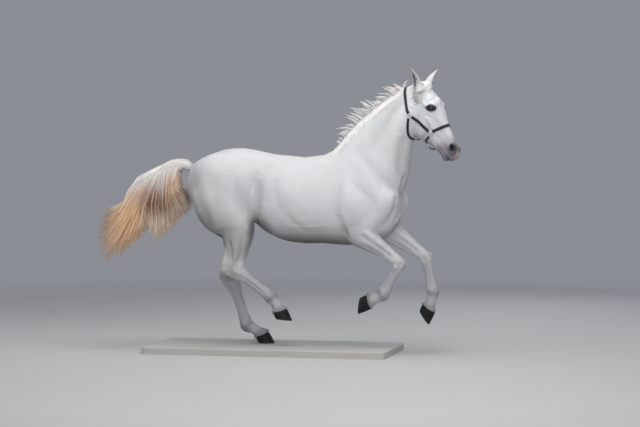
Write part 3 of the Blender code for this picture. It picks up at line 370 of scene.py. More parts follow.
def head_forms():
    across = HEAD_AXES @ Vector((0, 1, 0))
    rings = []
    for s in HEAD:
        face, jaw = on_head(s.length, s.face, 0), on_head(s.length, s.jaw, 0)
        rings.append(Ring((face + jaw) / 2, (face - jaw) / 2, across * s.half_width, s.taper, s.power))
    forms = [lofted_form(rings, steps=3)]
    turn = head_turn()
    for side in SIDES:
        forms += [
            # Orbit, cheek, flare of the nostril and root of the ear.
            ellipsoid(on_head(0.190, -0.051, 0.0535 * side), (0.052, 0.041, 0.047), head_turn(-0.45)),
            ellipsoid(on_head(0.238, -0.185, 0.046 * side), (0.098, 0.040, 0.112), turn),
            ellipsoid(on_head(0.520, -0.042, 0.036 * side), (0.030, 0.026, 0.042), turn),
            ellipsoid(on_head(0.024, -0.082, 0.045 * side), (0.040, 0.036, 0.036), turn),
            # Facial crest, and the arch of bone from the eye back towards the ear.
            capsule(
                on_head(0.250, -0.104, 0.074 * side),
                on_head(0.385, -0.090, 0.050 * side),
                0.015,
                0.011,
            ),
            capsule(
                on_head(0.170, -0.070, 0.080 * side),
                on_head(0.080, -0.098, 0.066 * side),
                0.018,
                0.020,
            ),
        ]
    forms += [
        ellipsoid(on_head(0.566, -0.072, 0), (0.050, 0.042, 0.034), turn),  # upper lip
        ellipsoid(on_head(0.543, -0.130, 0), (0.030, 0.031, 0.036), turn),  # chin
    ]
    return forms


# ---------------------------------------------------------------- legs

# Where along its bone a section lies, how far it reaches in front and behind, half its width, and
# how much narrower its front is than its middle (below zero, its back is the narrow end).
Section = namedtuple("Section", "bone share front back half_width taper", defaults=(0.0,))
PASTERN = [
    (0.00, 0.046, 0.058, 0.042),
    (0.22, 0.043, 0.049, 0.039),
    (0.48, 0.040, 0.038, 0.035),
    (0.74, 0.044, 0.043, 0.040),
    (1.00, 0.056, 0.058, 0.050),
    (1.20, 0.062, 0.064, 0.054),
]
FORE_SECTIONS = [
    Section(0, -0.20, 0.080, 0.085, 0.056),
    Section(0, 0.02, 0.088, 0.092, 0.064),
    Section(0, 0.20, 0.086, 0.080, 0.063),
    Section(0, 0.38, 0.076, 0.062, 0.056),
    Section(0, 0.56, 0.064, 0.050, 0.047),
    Section(0, 0.76, 0.054, 0.040, 0.041),
    Section(0, 0.90, 0.052, 0.040, 0.043),
    Section(1, 0.00, 0.052, 0.048, 0.047),
    Section(1, 0.14, 0.044, 0.046, 0.042),
    Section(1, 0.30, 0.034, 0.042, 0.033),
    Section(1, 0.50, 0.031, 0.042, 0.029),
    Section(1, 0.70, 0.032, 0.045, 0.031),
    Section(1, 0.87, 0.040, 0.051, 0.038),
    *(Section(2, *row) for row in PASTERN),
]
HIND_SECTIONS = [
    Section(0, -0.10, 0.130, 0.140, 0.105),
    Section(0, 0.15, 0.150, 0.185, 0.122),
    Section(0, 0.45, 0.155, 0.215, 0.120),
    Section(0, 0.75, 0.125, 0.205, 0.108),
    Section(1, 0.00, 0.070, 0.200, 0.098, -0.10),
    Section(1, 0.15, 0.064, 0.176, 0.088, -0.15),
    Section(1, 0.30, 0.060, 0.150, 0.075, -0.20),
    Section(1, 0.45, 0.058, 0.126, 0.062, -0.30),
    Section(1, 0.60, 0.055, 0.108, 0.051, -0.45),
    Section(1, 0.78, 0.052, 0.100, 0.043, -0.60),
    Section(1, 0.90, 0.053, 0.098, 0.042, -0.50),
    Section(2, 0.02, 0.055, 0.064, 0.046),
    Section(2, 0.13, 0.050, 0.058, 0.041),
    Section(2, 0.30, 0.038, 0.050, 0.034),
    Section(2, 0.50, 0.034, 0.046, 0.030),
    Section(2, 0.70, 0.034, 0.046, 0.031),
    Section(2, 0.87, 0.041, 0.051, 0.038),
    *(Section(3, *row) for row in PASTERN),
]
JOINT_BLEND = 0.22  # the share of a bone over which sections turn towards the next bone


def bone_direction(joints, bone, share):
    """The direction down the leg, turning smoothly through each joint."""
    own = (joints[bone + 1] - joints[bone]).normalized()
    if share < JOINT_BLEND and bone > 0:
        near = (joints[bone] - joints[bone - 1]).normalized()
        weight = 0.5 * (1 - max(share, 0) / JOINT_BLEND)
    elif share > 1 - JOINT_BLEND and bone + 2 < len(joints):
        near = (joints[bone + 2] - joints[bone + 1]).normalized()
        weight = 0.5 * (1 - (1 - share) / JOINT_BLEND)
    else:
        near, weight = own, 0.0
    return own.lerp(near, weight).normalized()


def forwards_of(down):
    """The direction in front of a leg that runs down this way."""
    return Vector((-down.z, 0, down.x)).normalized()


def leg_ring(joints, section):
    down = bone_direction(joints, section.bone, section.share)
    forwards = forwards_of(down)
    point = joints[section.bone] + (joints[section.bone + 1] - joints[section.bone]) * section.share
    centre = point + forwards * (section.front - section.back) / 2
    depth = (section.front + section.back) / 2
    return Ring(centre, forwards * depth, Vector((0, section.half_width, 0)), section.taper, 2.0)


def fore_leg_forms(leg):
    joints, side = leg.joints, leg.side
    elbow = joints[0]
    shoulder = Vector((0.890 if side == LEFT else 0.870, 0.155 * side, 1.065 + GROUND))
    forms = [lofted_form([leg_ring(joints, s) for s in FORE_SECTIONS], steps=2)]
    forms += [
        # Upper arm, triceps, and the shoulder blade with its muscles.
        capsule(shoulder, elbow, 0.088, 0.076, flat=0.85),
        capsule(
            at(0.570, 0.140 * side, 1.150),
            elbow.lerp(at(0.6, 0.155 * side, 0.9), 0.3),
            0.120,
            0.078,
            flat=0.62,
        ),
        capsule(at(0.540, 0.080 * side, 1.310), shoulder, 0.060, 0.085, flat=0.8),
    ]
    return forms


def hind_leg_forms(leg):
    joints, side = leg.joints, leg.side
    hock, point = joints[2], POINT_OF_HOCK[side]
    down = (joints[3] - hock).normalized()
    plantar = hock.lerp(joints[3], 0.26) - forwards_of(down) * 0.030
    calf = joints[1].lerp(hock, 0.42) + forwards_of(hock - joints[1]) * -0.092
    thigh = joints[0].lerp(joints[1], 0.45) + Vector((-0.045, 0, 0.02))
    forms = [lofted_form([leg_ring(joints, s) for s in HIND_SECTIONS], steps=2)]
    forms += [
        capsule(point, hock, 0.027, 0.042, flat=0.8),
        capsule(calf, point, 0.024, 0.020, flat=0.8),
        capsule(point, plantar, 0.026, 0.024, flat=0.8),
        ellipsoid(thigh + Vector((0, -0.012 * side, 0)), (0.200, 0.128, 0.265), Euler((0, -0.25, 0))),
    ]
    return forms


CORONET_SLOPE = math.radians(22)  # the coronet rises towards the toe, against the sole


def sole_frame(leg):
    """The directions forwards along the sole and up through the hoof."""
    pitch = leg.sole_pitch
    return Vector((math.cos(pitch), 0, math.sin(pitch))), Vector((-math.sin(pitch), 0, math.cos(pitch)))


def coronet_normal(leg):
    forwards, up = sole_frame(leg)
    return up * math.cos(CORONET_SLOPE) - forwards * math.sin(CORONET_SLOPE)


# ---------------------------------------------------------------- the skin

SMOOTHING_PAIR = (0.55, -0.57)  # a smoothing step and the one that undoes its shrinking
SKIN_TRIANGLES = 188000
BENT = 0.75  # the angle between two faces past which their edge is smoothed away


def taubin(made, pairs):
    """Smooths without shrinking, by pairs of a smoothing and a slightly stronger unsmoothing step."""
    for _ in range(pairs):
        for factor in SMOOTHING_PAIR:
            step = made.modifiers.new("smooth", "SMOOTH")
            step.factor = factor
            step.iterations = 1


def evaluated_copy(made, name):
    bpy.context.view_layer.update()
    graph = bpy.context.evaluated_depsgraph_get()
    mesh = bpy.data.meshes.new_from_object(made.evaluated_get(graph))
    copy = bpy.data.objects.new(name, mesh)
    bpy.context.scene.collection.objects.link(copy)
    bpy.data.objects.remove(made)
    return copy


def joined(forms, name):
    bm = bmesh.new()
    for form in forms:
        bm.from_mesh(form.data)
        bpy.data.objects.remove(form)
    return new_object(name, bm)


def fuse(forms, name, voxel):
    """One closed mesh over overlapping forms, with the creases between them softened."""
    whole = joined(forms, name)
    remesh = whole.modifiers.new("fuse", "REMESH")
    remesh.mode = "VOXEL"
    remesh.voxel_size = voxel
    fused = evaluated_copy(whole, name)
    broad = fused.vertex_groups.new(name="broad")
    for vertex in fused.data.vertices:
        broad.add([vertex.index], breadth(vertex.co), "REPLACE")
    soften = fused.modifiers.new("soften", "SMOOTH")
    soften.factor = 0.5
    soften.iterations = 45
    soften.vertex_group = "broad"
    taubin(fused, 8)
    return evaluated_copy(fused, name)


def breadth(point):
    """How broad the body is here, from 0 on the legs and head to 1 on the trunk."""
    height = point.z - GROUND
    over_legs = min(max((height - 0.80) / 0.20, 0), 1)
    behind_head = min(max((1.02 - point.x) / 0.15, 0), 1)
    return over_legs * behind_head


# Sculpted strokes.  Each is a line over the body, how far it spreads and how high it stands; below
# zero it is a groove.  Trunk and neck lines give x and height, and run on both sides.
Stroke = namedtuple("Stroke", "points spread height")
BODY_STROKES = [
    # Shoulder blade: its spine, the hollow before it and the edge behind it.
    Stroke([(0.600, 1.400), (0.700, 1.290), (0.800, 1.170), (0.875, 1.080)], 0.060, 0.0050),
    Stroke([(0.640, 1.470), (0.760, 1.340), (0.860, 1.220), (0.925, 1.130)], 0.054, -0.0046),
    Stroke([(0.500, 1.400), (0.505, 1.290), (0.540, 1.190)], 0.060, -0.0030),
    # Triceps, the fold above it and the groove behind the elbow.
    Stroke([(0.600, 1.120), (0.680, 1.020), (0.740, 0.940)], 0.085, 0.0080),
    Stroke([(0.620, 1.220), (0.720, 1.130), (0.820, 1.020)], 0.030, -0.0050),
    Stroke([(0.552, 1.168), (0.540, 1.080), (0.543, 1.000)], 0.054, -0.0040),
    Stroke([(0.542, 1.030), (0.545, 0.949), (0.565, 0.870), (0.590, 0.800)], 0.036, -0.0110),
    # Breast muscle, its groove to the shoulder and the bright top of the forearm.
    Stroke([(0.985, 1.240), (0.955, 1.120), (0.930, 1.010), (0.850, 0.880)], 0.034, -0.0095),
    Stroke([(0.955, 0.980), (0.930, 0.920)], 0.045, 0.0060),
    # Neck: the long muscle from behind the jaw to the shoulder, and the hollows along it.
    Stroke([(1.040, 1.760), (0.960, 1.620), (0.900, 1.470), (0.890, 1.300)], 0.070, 0.0070),
    Stroke([(0.990, 1.530), (0.965, 1.440), (0.955, 1.340), (0.960, 1.220)], 0.052, -0.0060),
    Stroke([(0.980, 1.790), (0.870, 1.660), (0.790, 1.520), (0.730, 1.430)], 0.045, -0.0055),
    Stroke([(0.900, 1.780), (0.760, 1.660), (0.660, 1.530), (0.580, 1.450)], 0.050, 0.0050),
    Stroke([(0.800, 1.640), (0.760, 1.560), (0.760, 1.480)], 0.022, -0.0022),
    Stroke([(0.870, 1.580), (0.830, 1.490), (0.830, 1.400)], 0.020, -0.0020),
    # Loin, hollow of the flank, hip and the fold to the stifle.
    Stroke([(0.060, 1.330), (-0.060, 1.300)], 0.060, -0.0035),
    Stroke([(-0.080, 1.240), (-0.070, 1.160)], 0.080, -0.0075),
    Stroke([(-0.150, 1.335), (-0.205, 1.300)], 0.040, 0.0060),
    Stroke([(-0.070, 1.215), (-0.100, 1.130), (-0.122, 1.030), (-0.098, 0.955)], 0.026, 0.0110),
    Stroke([(-0.025, 1.130), (-0.048, 1.040), (-0.050, 0.960)], 0.034, -0.0115),
    Stroke([(-0.085, 0.985), (-0.078, 0.925), (-0.100, 0.880)], 0.022, -0.0080),
    # Thigh: its edges and the long groove down to the gaskin.
    Stroke([(-0.200, 1.250), (-0.215, 1.140), (-0.190, 1.020), (-0.175, 0.940)], 0.046, -0.0030),
    Stroke([(-0.545, 1.240), (-0.510, 1.120), (-0.455, 1.000), (-0.420, 0.880)], 0.044, -0.0058),
    Stroke([(-0.420, 1.300), (-0.385, 1.180), (-0.345, 1.060), (-0.330, 0.950)], 0.050, -0.0026),
    Stroke([(-0.330, 1.300), (-0.280, 1.160), (-0.255, 1.020)], 0.070, 0.0060),
    # Ribs.
    *(
        Stroke([(0.390 - 0.062 * i, 1.270), (0.350 - 0.070 * i, 1.130), (0.345 - 0.066 * i, 0.990)], 0.016, 0.0016)
        for i in range(6)
    ),
    Stroke([(0.070, 1.230), (0.095, 1.090), (0.190, 0.930), (0.330, 0.830)], 0.040, -0.0040),
    # Vein along the belly.
    Stroke([(0.480, 0.900), (0.380, 0.880), (0.250, 0.875), (0.130, 0.890)], 0.010, 0.0022),
]
# Lines on the middle plane, as x, y and height.
MIDDLE_STROKES = [
    Stroke([(1.000, 0, 1.190), (0.975, 0, 1.060), (0.920, 0, 0.930), (0.830, 0, 0.850)], 0.036, -0.0150),
    Stroke([(0.740, 0, 0.800), (0.560, 0, 0.765)], 0.040, 0.0040),
    Stroke([(-0.200, 0, 1.460), (-0.400, 0, 1.440), (-0.560, 0, 1.370)], 0.030, -0.0060),
    Stroke([(-0.655, 0, 1.130), (-0.640, 0, 1.020), (-0.600, 0, 0.930)], 0.034, -0.0200),
]
# Lines on the head, as length from the poll and front, on both sides.
HEAD_STROKES = [
    Stroke([(0.095, -0.046), (0.125, -0.034), (0.142, -0.026)], 0.044, 0.0060),  # fills the hollow over the eye
    Stroke([(0.060, -0.090), (0.110, -0.080)], 0.030, -0.0025),  # temple
    Stroke([(0.070, -0.008), (0.120, -0.002), (0.165, 0.000)], 0.040, 0.0075),  # side of the forehead
    Stroke([(0.230, -0.110), (0.285, -0.106), (0.350, -0.096), (0.395, -0.090)], 0.013, 0.0024),  # facial crest
    # Beside the nose, before the cheek and the cheek's muscle.
    Stroke([(0.262, -0.060), (0.330, -0.050), (0.420, -0.045), (0.462, -0.040)], 0.026, -0.0048),
    Stroke([(0.300, -0.124), (0.336, -0.160), (0.350, -0.215), (0.345, -0.245)], 0.020, -0.0058),
    Stroke([(0.170, -0.160), (0.235, -0.150), (0.285, -0.165)], 0.050, 0.0030),
    Stroke([(0.178, -0.222), (0.240, -0.252), (0.290, -0.262), (0.325, -0.245)], 0.016, -0.0026),  # along the jaw
    Stroke([(0.220, -0.100), (0.250, -0.085), (0.268, -0.064)], 0.010, -0.0030),  # under the eye
    Stroke([(0.160, -0.012), (0.185, -0.008), (0.208, -0.012)], 0.016, 0.0010),  # brow
    Stroke([(0.400, -0.118), (0.450, -0.112), (0.490, -0.108)], 0.020, 0.0030),  # upper lip muscle
    Stroke([(0.484, -0.122), (0.505, -0.116), (0.530, -0.111), (0.560, -0.108), (0.600, -0.104)], 0.0075, -0.0060),
    Stroke([(0.474, -0.112), (0.520, -0.099), (0.560, -0.092), (0.596, -0.088)], 0.012, 0.0022),  # lips
    Stroke([(0.482, -0.136), (0.520, -0.126), (0.560, -0.121), (0.584, -0.116)], 0.011, 0.0024),
    Stroke([(0.500, -0.152), (0.505, -0.140), (0.500, -0.130)], 0.012, -0.0030),  # behind the chin
    Stroke([(0.470, -0.085), (0.500, -0.078), (0.530, -0.076)], 0.010, -0.0026),  # under the nostril
    Stroke([(0.480, -0.024), (0.500, -0.022), (0.530, -0.028)], 0.010, -0.0016),  # over the nostril
    # Veins.
    Stroke([(0.352, -0.205), (0.325, -0.165), (0.310, -0.130), (0.330, -0.104)], 0.0065, 0.0019),
    Stroke([(0.322, -0.132), (0.290, -0.100), (0.262, -0.074), (0.238, -0.052)], 0.0060, 0.0016),
    Stroke([(0.330, -0.105), (0.370, -0.080), (0.410, -0.070), (0.450, -0.072)], 0.0055, 0.0015),
    Stroke([(0.150, -0.118), (0.190, -0.128), (0.235, -0.128), (0.290, -0.140)], 0.0060, 0.0014),
]
BODY_RELIEF, LEG_RELIEF = 1.5, 1.8  # how much higher the strokes stand there than their tables say
# Lines on a leg, as bone, share along it and distance in front of it, on the outer and the inner side.
LegStroke = namedtuple("LegStroke", "bone points spread height")
FORE_STROKES = [
    LegStroke(0, [(0.12, 0.010), (0.40, 0.012), (0.62, 0.014), (0.82, 0.010)], 0.020, -0.0060),
    LegStroke(0, [(0.20, -0.040), (0.45, -0.030), (0.66, -0.024)], 0.018, -0.0038),
    LegStroke(0, [(0.10, 0.048), (0.35, 0.046), (0.55, 0.040)], 0.028, 0.0040),
    LegStroke(0, [(0.92, 0.030), (0.98, 0.028)], 0.018, 0.0030),  # knee
    LegStroke(1, [(0.02, 0.026), (0.06, 0.026)], 0.018, 0.0034),
    LegStroke(0, [(0.93, -0.030), (0.99, -0.034)], 0.016, 0.0040),
    LegStroke(1, [(0.16, -0.012), (0.35, -0.012), (0.60, -0.012), (0.82, -0.014)], 0.012, -0.0046),
    LegStroke(1, [(0.22, -0.030), (0.50, -0.032), (0.78, -0.034)], 0.010, -0.0022),
    LegStroke(1, [(0.92, -0.004), (1.00, -0.002)], 0.018, 0.0026),  # fetlock
    LegStroke(2, [(0.10, -0.030), (0.30, -0.018)], 0.014, -0.0030),
    LegStroke(2, [(0.55, -0.026), (0.75, -0.034)], 0.014, -0.0030),
]
HIND_STROKES = [
    LegStroke(1, [(0.30, 0.020), (0.50, 0.016), (0.70, 0.006), (0.88, -0.010)], 0.026, -0.0060),
    LegStroke(1, [(0.42, -0.075), (0.62, -0.056), (0.80, -0.046), (0.94, -0.040)], 0.022, -0.0120),
    LegStroke(1, [(0.05, 0.045), (0.20, 0.050)], 0.036, 0.0050),  # stifle
    LegStroke(1, [(0.92, 0.026), (1.00, 0.024)], 0.020, 0.0034),  # hock
    LegStroke(2, [(0.02, -0.006), (0.10, -0.004)], 0.020, 0.0036),
    LegStroke(2, [(0.10, -0.026), (0.20, -0.022)], 0.014, -0.0034),
    LegStroke(2, [(0.20, -0.012), (0.40, -0.012), (0.60, -0.012), (0.82, -0.014)], 0.012, -0.0046),
    LegStroke(2, [(0.30, -0.032), (0.50, -0.034), (0.78, -0.036)], 0.010, -0.0022),
    LegStroke(2, [(0.92, -0.004), (1.00, -0.002)], 0.018, 0.0026),
    LegStroke(3, [(0.10, -0.030), (0.30, -0.018)], 0.014, -0.0030),
    LegStroke(3, [(0.55, -0.026), (0.75, -0.034)], 0.014, -0.0030),
]


def surface_tree(made):
    """A search tree of a mesh's surface."""
    return BVHTree.FromPolygons([v.co for v in made.data.vertices], [f.vertices for f in made.data.polygons])


def curve_point(path, share):
    """A point of the smooth curve through the path's points."""
    last = len(path) - 1
    place = min(share, 0.99999) * last
    i = int(place)
    four = [path[max(i - 1, 0)], path[i], path[i + 1], path[min(i + 2, last)]]
    return smooth_between(*four, place - i)


def stroke_lines():
    """Every stroke as a line outside the body, the way in to the body, its spread, height and spacing."""
    lines = []
    sideways = Vector((0, 1, 0))
    head_side = HEAD_AXES @ sideways
    inside = at(0.10, 0, 1.15)
    for side in SIDES:
        for stroke in BODY_STROKES:
            path = [at(x, 0.60 * side, z) for x, z in stroke.points]
            lines.append((path, -side * sideways, stroke.spread, stroke.height * BODY_RELIEF, 0.045))
        for stroke in HEAD_STROKES:
            path = [on_head(length, front, 0.20 * side) for length, front in stroke.points]
            lines.append((path, -side * head_side, stroke.spread, stroke.height, 0.010))
        for legs, strokes in ((FORE_LEGS, FORE_STROKES), (HIND_LEGS, HIND_STROKES)):
            joints = legs[side].joints
            for stroke in strokes:
                start, end = joints[stroke.bone], joints[stroke.bone + 1]
                forwards = forwards_of((end - start).normalized())
                for way in (-1, 1):
                    path = []
                    for share, ahead in stroke.points:
                        path.append(start.lerp(end, share) + forwards * ahead + sideways * 0.13 * way)
                    lines.append((path, -way * sideways, stroke.spread, stroke.height * LEG_RELIEF, 0.012))
    for stroke in MIDDLE_STROKES:
        path = [at(*point) for point in stroke.points]
        direction = (inside - sum(path, Vector()) / len(path)).normalized()
        path = [point - direction * 0.25 for point in path]
        lines.append((path, direction, stroke.spread, stroke.height, 0.010))
    return lines


PRESSED = []  # each stroke's spots on the body, how strong it is at each, its spread and its height


def reached(points, spots, spread):
    """The points near a stroke, the closest of its spots to each, and how strong it is there."""
    low, high = spots.min(0) - spread, spots.max(0) + spread
    near = np.nonzero(((points > low) & (points < high)).all(1))[0]
    gaps = np.linalg.norm(points[near, None, :] - spots[None, :, :], axis=2)
    closest = gaps.argmin(1)
    share = np.clip(gaps[np.arange(len(near)), closest] / spread, 0, 1)
    return near, closest, (1 - share**2) ** 2


def relief(points):
    """How far the strokes raise the skin, or below zero press it in, near each point."""
    found = np.zeros(len(points))
    for spots, fade, spread, height in PRESSED:
        near, closest, strength = reached(points, spots, spread)
        found[near] += height * strength * fade[closest]
    return found


def sculpted(made):
    """Presses the grooves and raises the ridges of the strokes, and draws the skin in under the coat."""
    mesh = made.data
    tree = surface_tree(made)
    places, normals = places_of(mesh), vertex_normals(mesh)
    lift = np.full(len(places), -COAT_DEPTH)
    PRESSED.clear()
    for path, direction, spread, height, step in stroke_lines():
        count = max(2, int(sum((b - a).length for a, b in zip(path, path[1:])) / min(step, spread * 0.5)))
        spots, ways = [], []
        for i in range(count + 1):
            spot, normal, _, _ = tree.ray_cast(curve_point(path, i / count), direction)
            if spot is not None:
                spots.append(spot)
                ways.append(normal)
        if not spots:
            raise RuntimeError("a sculpted stroke misses the body")
        spots, ways = np.array(spots), np.array(ways)
        near, closest, strength = reached(places, spots, spread)
        facing = np.clip((normals[near] * ways[closest]).sum(1) * 2, 0, 1)
        fade = np.ones(len(spots))
        ends = max(1, len(spots) // 4)
        if len(spots) > 4:
            ramp = np.linspace(0.35, 1, ends)
            fade[:ends], fade[-ends:] = ramp, ramp[::-1]
        PRESSED.append((spots, fade, spread, height))
        lift[near] += height * strength * facing * fade[closest]
    places += normals * lift[:, None]
    mesh.vertices.foreach_set("co", places.ravel())
    mesh.update()


def places_of(mesh):
    places = np.empty(len(mesh.vertices) * 3)
    mesh.vertices.foreach_get("co", places)
    return places.reshape(-1, 3)


def vertex_normals(mesh):
    normals = np.empty(len(mesh.vertices) * 3)
    mesh.vertices.foreach_get("normal", normals)
    return normals.reshape(-1, 3)


def finer(bm, wanted):
    """Halves the faces for which wanted is true at the middle."""
    chosen = {e for f in bm.faces if wanted(f.calc_center_median()) for e in f.edges}
    bmesh.ops.subdivide_edges(bm, edges=list(chosen), cuts=1, use_grid_fill=True, smooth=0.6)


def head_place(point):
    """Length from the poll, front and side of a point, on the head."""
    place = HEAD_FRAME.inverted() @ point
    return -place.z, place.x, place.y


def on_face(point):
    length, front, side = head_place(point)
    return -0.03 < length < 0.66 and -0.33 < front < 0.06 and abs(side) < 0.16


def round_features(point):
    """Whether a point is near an eye, a nostril or the lips."""
    length, front, side = head_place(point)
    if length > 0.465 and on_face(point):
        return True
    return math.hypot(length - EYE[0], front - EYE[1]) < 0.062 and abs(side) > 0.05


def cut_at_coronets(bm):
    """Ends each leg at the top of its hoof."""
    for leg in ALL_LEGS:
        end = leg.joints[-1]
        near = [v for v in bm.verts if (v.co - end).length < 0.16 and abs(v.co.y - end.y) < 0.08]
        faces = {f for v in near for f in v.link_faces}
        edges = {e for f in faces for e in f.edges}
        normal = coronet_normal(leg)
        geometry = [*{v for f in faces for v in f.verts}, *edges, *faces]
        cut = bmesh.ops.bisect_plane(
            bm, geom=geometry, dist=0.0001, plane_co=end + normal * 0.0015, plane_no=-normal, clear_outer=True
        )
        rim = [e for e in cut["geom_cut"] if isinstance(e, bmesh.types.BMEdge) and e.is_boundary]
        bmesh.ops.contextual_create(bm, geom=rim)


def hole_edges(bm, inside):
    """Takes out the faces that lie inside, and returns the loop of edges round the hole."""
    doomed = [f for f in bm.faces if all(inside(v.co) for v in f.verts)]
    bmesh.ops.delete(bm, geom=doomed, context="FACES")
    while True:
        rim = [e for e in bm.edges if e.is_boundary]
        corners = [v for v in {v for e in rim for v in e.verts} if sum(e.is_boundary for e in v.link_edges) > 2]
        if not corners:
            return rim
        bmesh.ops.delete(bm, geom=list({f for v in corners for f in v.link_faces}), context="FACES")


def sunk_rings(bm, rim, rings, place):
    """Extrudes a loop of edges through the rings, and closes it behind the last one."""
    for vertex in {v for e in rim for v in e.verts}:
        vertex.co = place(vertex.co, *rings[0])
    for ring in rings[1:]:
        made = bmesh.ops.extrude_edge_only(bm, edges=rim)["geom"]
        for vertex in (v for v in made if isinstance(v, bmesh.types.BMVert)):
            vertex.co = place(vertex.co, *ring)
        rim = [e for e in made if isinstance(e, bmesh.types.BMEdge) and e.is_boundary]
    bmesh.ops.contextual_create(bm, geom=rim)


# The rings of the lids, from the cheek in to the eyeball: size against the opening, how far the lid's
# own form takes over from the cheek's, and how far the ring is raised.
LID_RINGS = [
    (1.90, 0.00, 0.0),
    (1.80, 0.04, 0.0003),
    (1.70, 0.12, 0.0006),
    (1.60, 0.28, 0.0004),
    (1.50, 0.48, -0.0010),
    (1.42, 0.66, 0.0000),
    (1.33, 0.84, 0.0012),
    (1.25, 0.95, 0.0010),
    (1.17, 1.00, 0.0006),
    (1.10, 1.00, 0.0008),
    (1.04, 1.00, 0.0006),
    (1.00, 1.00, -0.0002),
    (0.975, 1.00, -0.0016),
    (0.965, 1.00, -0.0042),
    (0.90, 1.00, -0.0100),
]
LID_LENGTH, LID_HEIGHT = 0.0240, 0.0158  # half sizes of the opening
LID_POWER = 1.75
LID_THICKNESS = 0.0022


def eye_axes(side):
    """The eyeball's centre, and the directions outwards, along the opening and across it."""
    centre = on_head(EYE[0], EYE[1], EYE[2] * side)
    outwards = (HEAD_AXES @ Vector((0, side, 0))).normalized()
    wide = HEAD_AXES @ Vector((math.cos(EYE_SLANT), 0, -math.sin(EYE_SLANT)))
    tall = HEAD_AXES @ Vector((math.sin(EYE_SLANT), 0, math.cos(EYE_SLANT)))
    return centre, outwards, wide, tall


def lid_size(a, b):
    """The size against the opening at a place along and across it, for numbers and for arrays."""
    return (abs(a / LID_LENGTH) ** LID_POWER + abs(b / LID_HEIGHT) ** LID_POWER) ** (1 / LID_POWER)


def lid_depth(a, b):
    """How far out from the eyeball's centre the lid lies at a place along and across the opening."""
    radius = EYE_RADIUS + LID_THICKNESS
    return math.sqrt(max(radius**2 - (a * 0.66) ** 2 - (b * 0.98) ** 2, 0.00002))


def measured(point, centre, *axes):
    """How far a point lies from a centre along each axis."""
    reach = point - centre
    return [reach.dot(axis) for axis in axes]


HOLE_DEPTH = 0.03  # how far behind an opening's middle its faces are taken out


def lids(bm, tree, side):
    """Cuts the opening of the eye and closes it with the lids."""
    centre, outwards, wide, tall = eye_axes(side)

    def reach_of(ring, a, b):
        """Rings outside the opening lie closer together towards the front of the face."""
        a, b = a / LID_LENGTH, b / LID_HEIGHT
        return 1 + (ring - 1) * (1 - 0.52 * max(a, 0) / max(math.hypot(a, b), 0.01)) if ring > 1 else ring

    def inside(point):
        a, b, depth = measured(point, centre, wide, tall, outwards)
        return depth > -HOLE_DEPTH and lid_size(a, b) < reach_of(LID_RINGS[0][0], a, b)

    def place(point, ring, form, raised):
        a, b, depth = measured(point, centre, wide, tall, outwards)
        share = reach_of(ring, a, b) / lid_size(a, b)
        a, b = a * share, b * share
        across = centre + wide * a + tall * b
        cheek = tree.find_nearest(across + outwards * depth)[0]
        upper = 1.5 if b > 0 else 0.8
        return cheek.lerp(across + outwards * lid_depth(a, b), form) + outwards * (raised * upper)

    sunk_rings(bm, hole_edges(bm, inside), LID_RINGS, place)


# The rings of a nostril, from its flared rim inwards: size against the opening, and depth.
NOSTRIL_RINGS = [
    (1.62, 0.0),
    (1.50, -0.0003),
    (1.38, 0.0002),
    (1.27, 0.0010),
    (1.17, 0.0020),
    (1.09, 0.0025),
    (1.02, 0.0022),
    (0.97, 0.0006),
    (0.93, -0.0024),
    (0.88, -0.0070),
    (0.80, -0.0140),
    (0.66, -0.0220),
    (0.44, -0.0290),
]
NOSTRIL_LENGTH, NOSTRIL_WIDTH = 0.0295, 0.0185
NOSTRIL_SHIFT = {RIGHT: 0.0, LEFT: 0.010}  # how much further back each one lies


def nostril(bm, tree, side):
    """Cuts a nostril and leads its rim in to the end of the passage."""
    centre = on_head(NOSTRIL[0], NOSTRIL[1] - NOSTRIL_SHIFT[side], NOSTRIL[2] * side)
    outwards = (HEAD_AXES @ Vector((0.12, side, -0.20))).normalized()
    long = HEAD_AXES @ Vector((-0.16, 0, -1))
    long = (long - outwards * long.dot(outwards)).normalized()
    short = outwards.cross(long)
    if short.dot(HEAD_AXES @ Vector((1, 0, 0))) < 0:
        short = -short
    up_the_nose = HEAD_AXES @ Vector((0.05, 0, 1))

    def size(a, b):
        belly = NOSTRIL_WIDTH * (1 + 0.30 * math.tanh(a / NOSTRIL_LENGTH))
        return math.hypot(a / NOSTRIL_LENGTH, b / belly)

    def reach_of(ring, a, b):
        """Rings outside the opening lie closer together towards the front and the top of the nose."""
        a, b = a / NOSTRIL_LENGTH, b / NOSTRIL_WIDTH
        towards = max(0.55 * max(b, 0) ** 2, 0.35 * max(-a, 0) ** 2) / max(a * a + b * b, 0.01)
        return 1 + (ring - 1) * (1 - towards) if ring > 1 else ring

    def inside(point):
        a, b, depth = measured(point, centre, long, short, outwards)
        return depth > -HOLE_DEPTH and size(a, b) < reach_of(NOSTRIL_RINGS[0][0], a, b)

    def place(point, ring, raised):
        a, b, depth = measured(point, centre, long, short, outwards)
        share = reach_of(ring, a, b) / max(size(a, b), 0.01)
        a, b = a * share, b * share
        if ring > 1.1:
            met = tree.find_nearest(centre + long * a + short * b + outwards * depth)[0]
            return met + outwards * raised
        start = centre + long * a + short * b + outwards * 0.05
        met = tree.ray_cast(start, -outwards)[0]
        depth = (met - centre).dot(outwards) if met is not None else 0.0
        depth = max(min(depth, 0.012), -0.016)
        if ring < 1.02:
            depth *= (ring / 1.02) ** 0.5
        sunk = max(-raised - 0.004, 0) * 0.8
        return centre + long * a + short * b + outwards * (depth + raised) + up_the_nose * sunk

    sunk_rings(bm, hole_edges(bm, inside), NOSTRIL_RINGS, place)


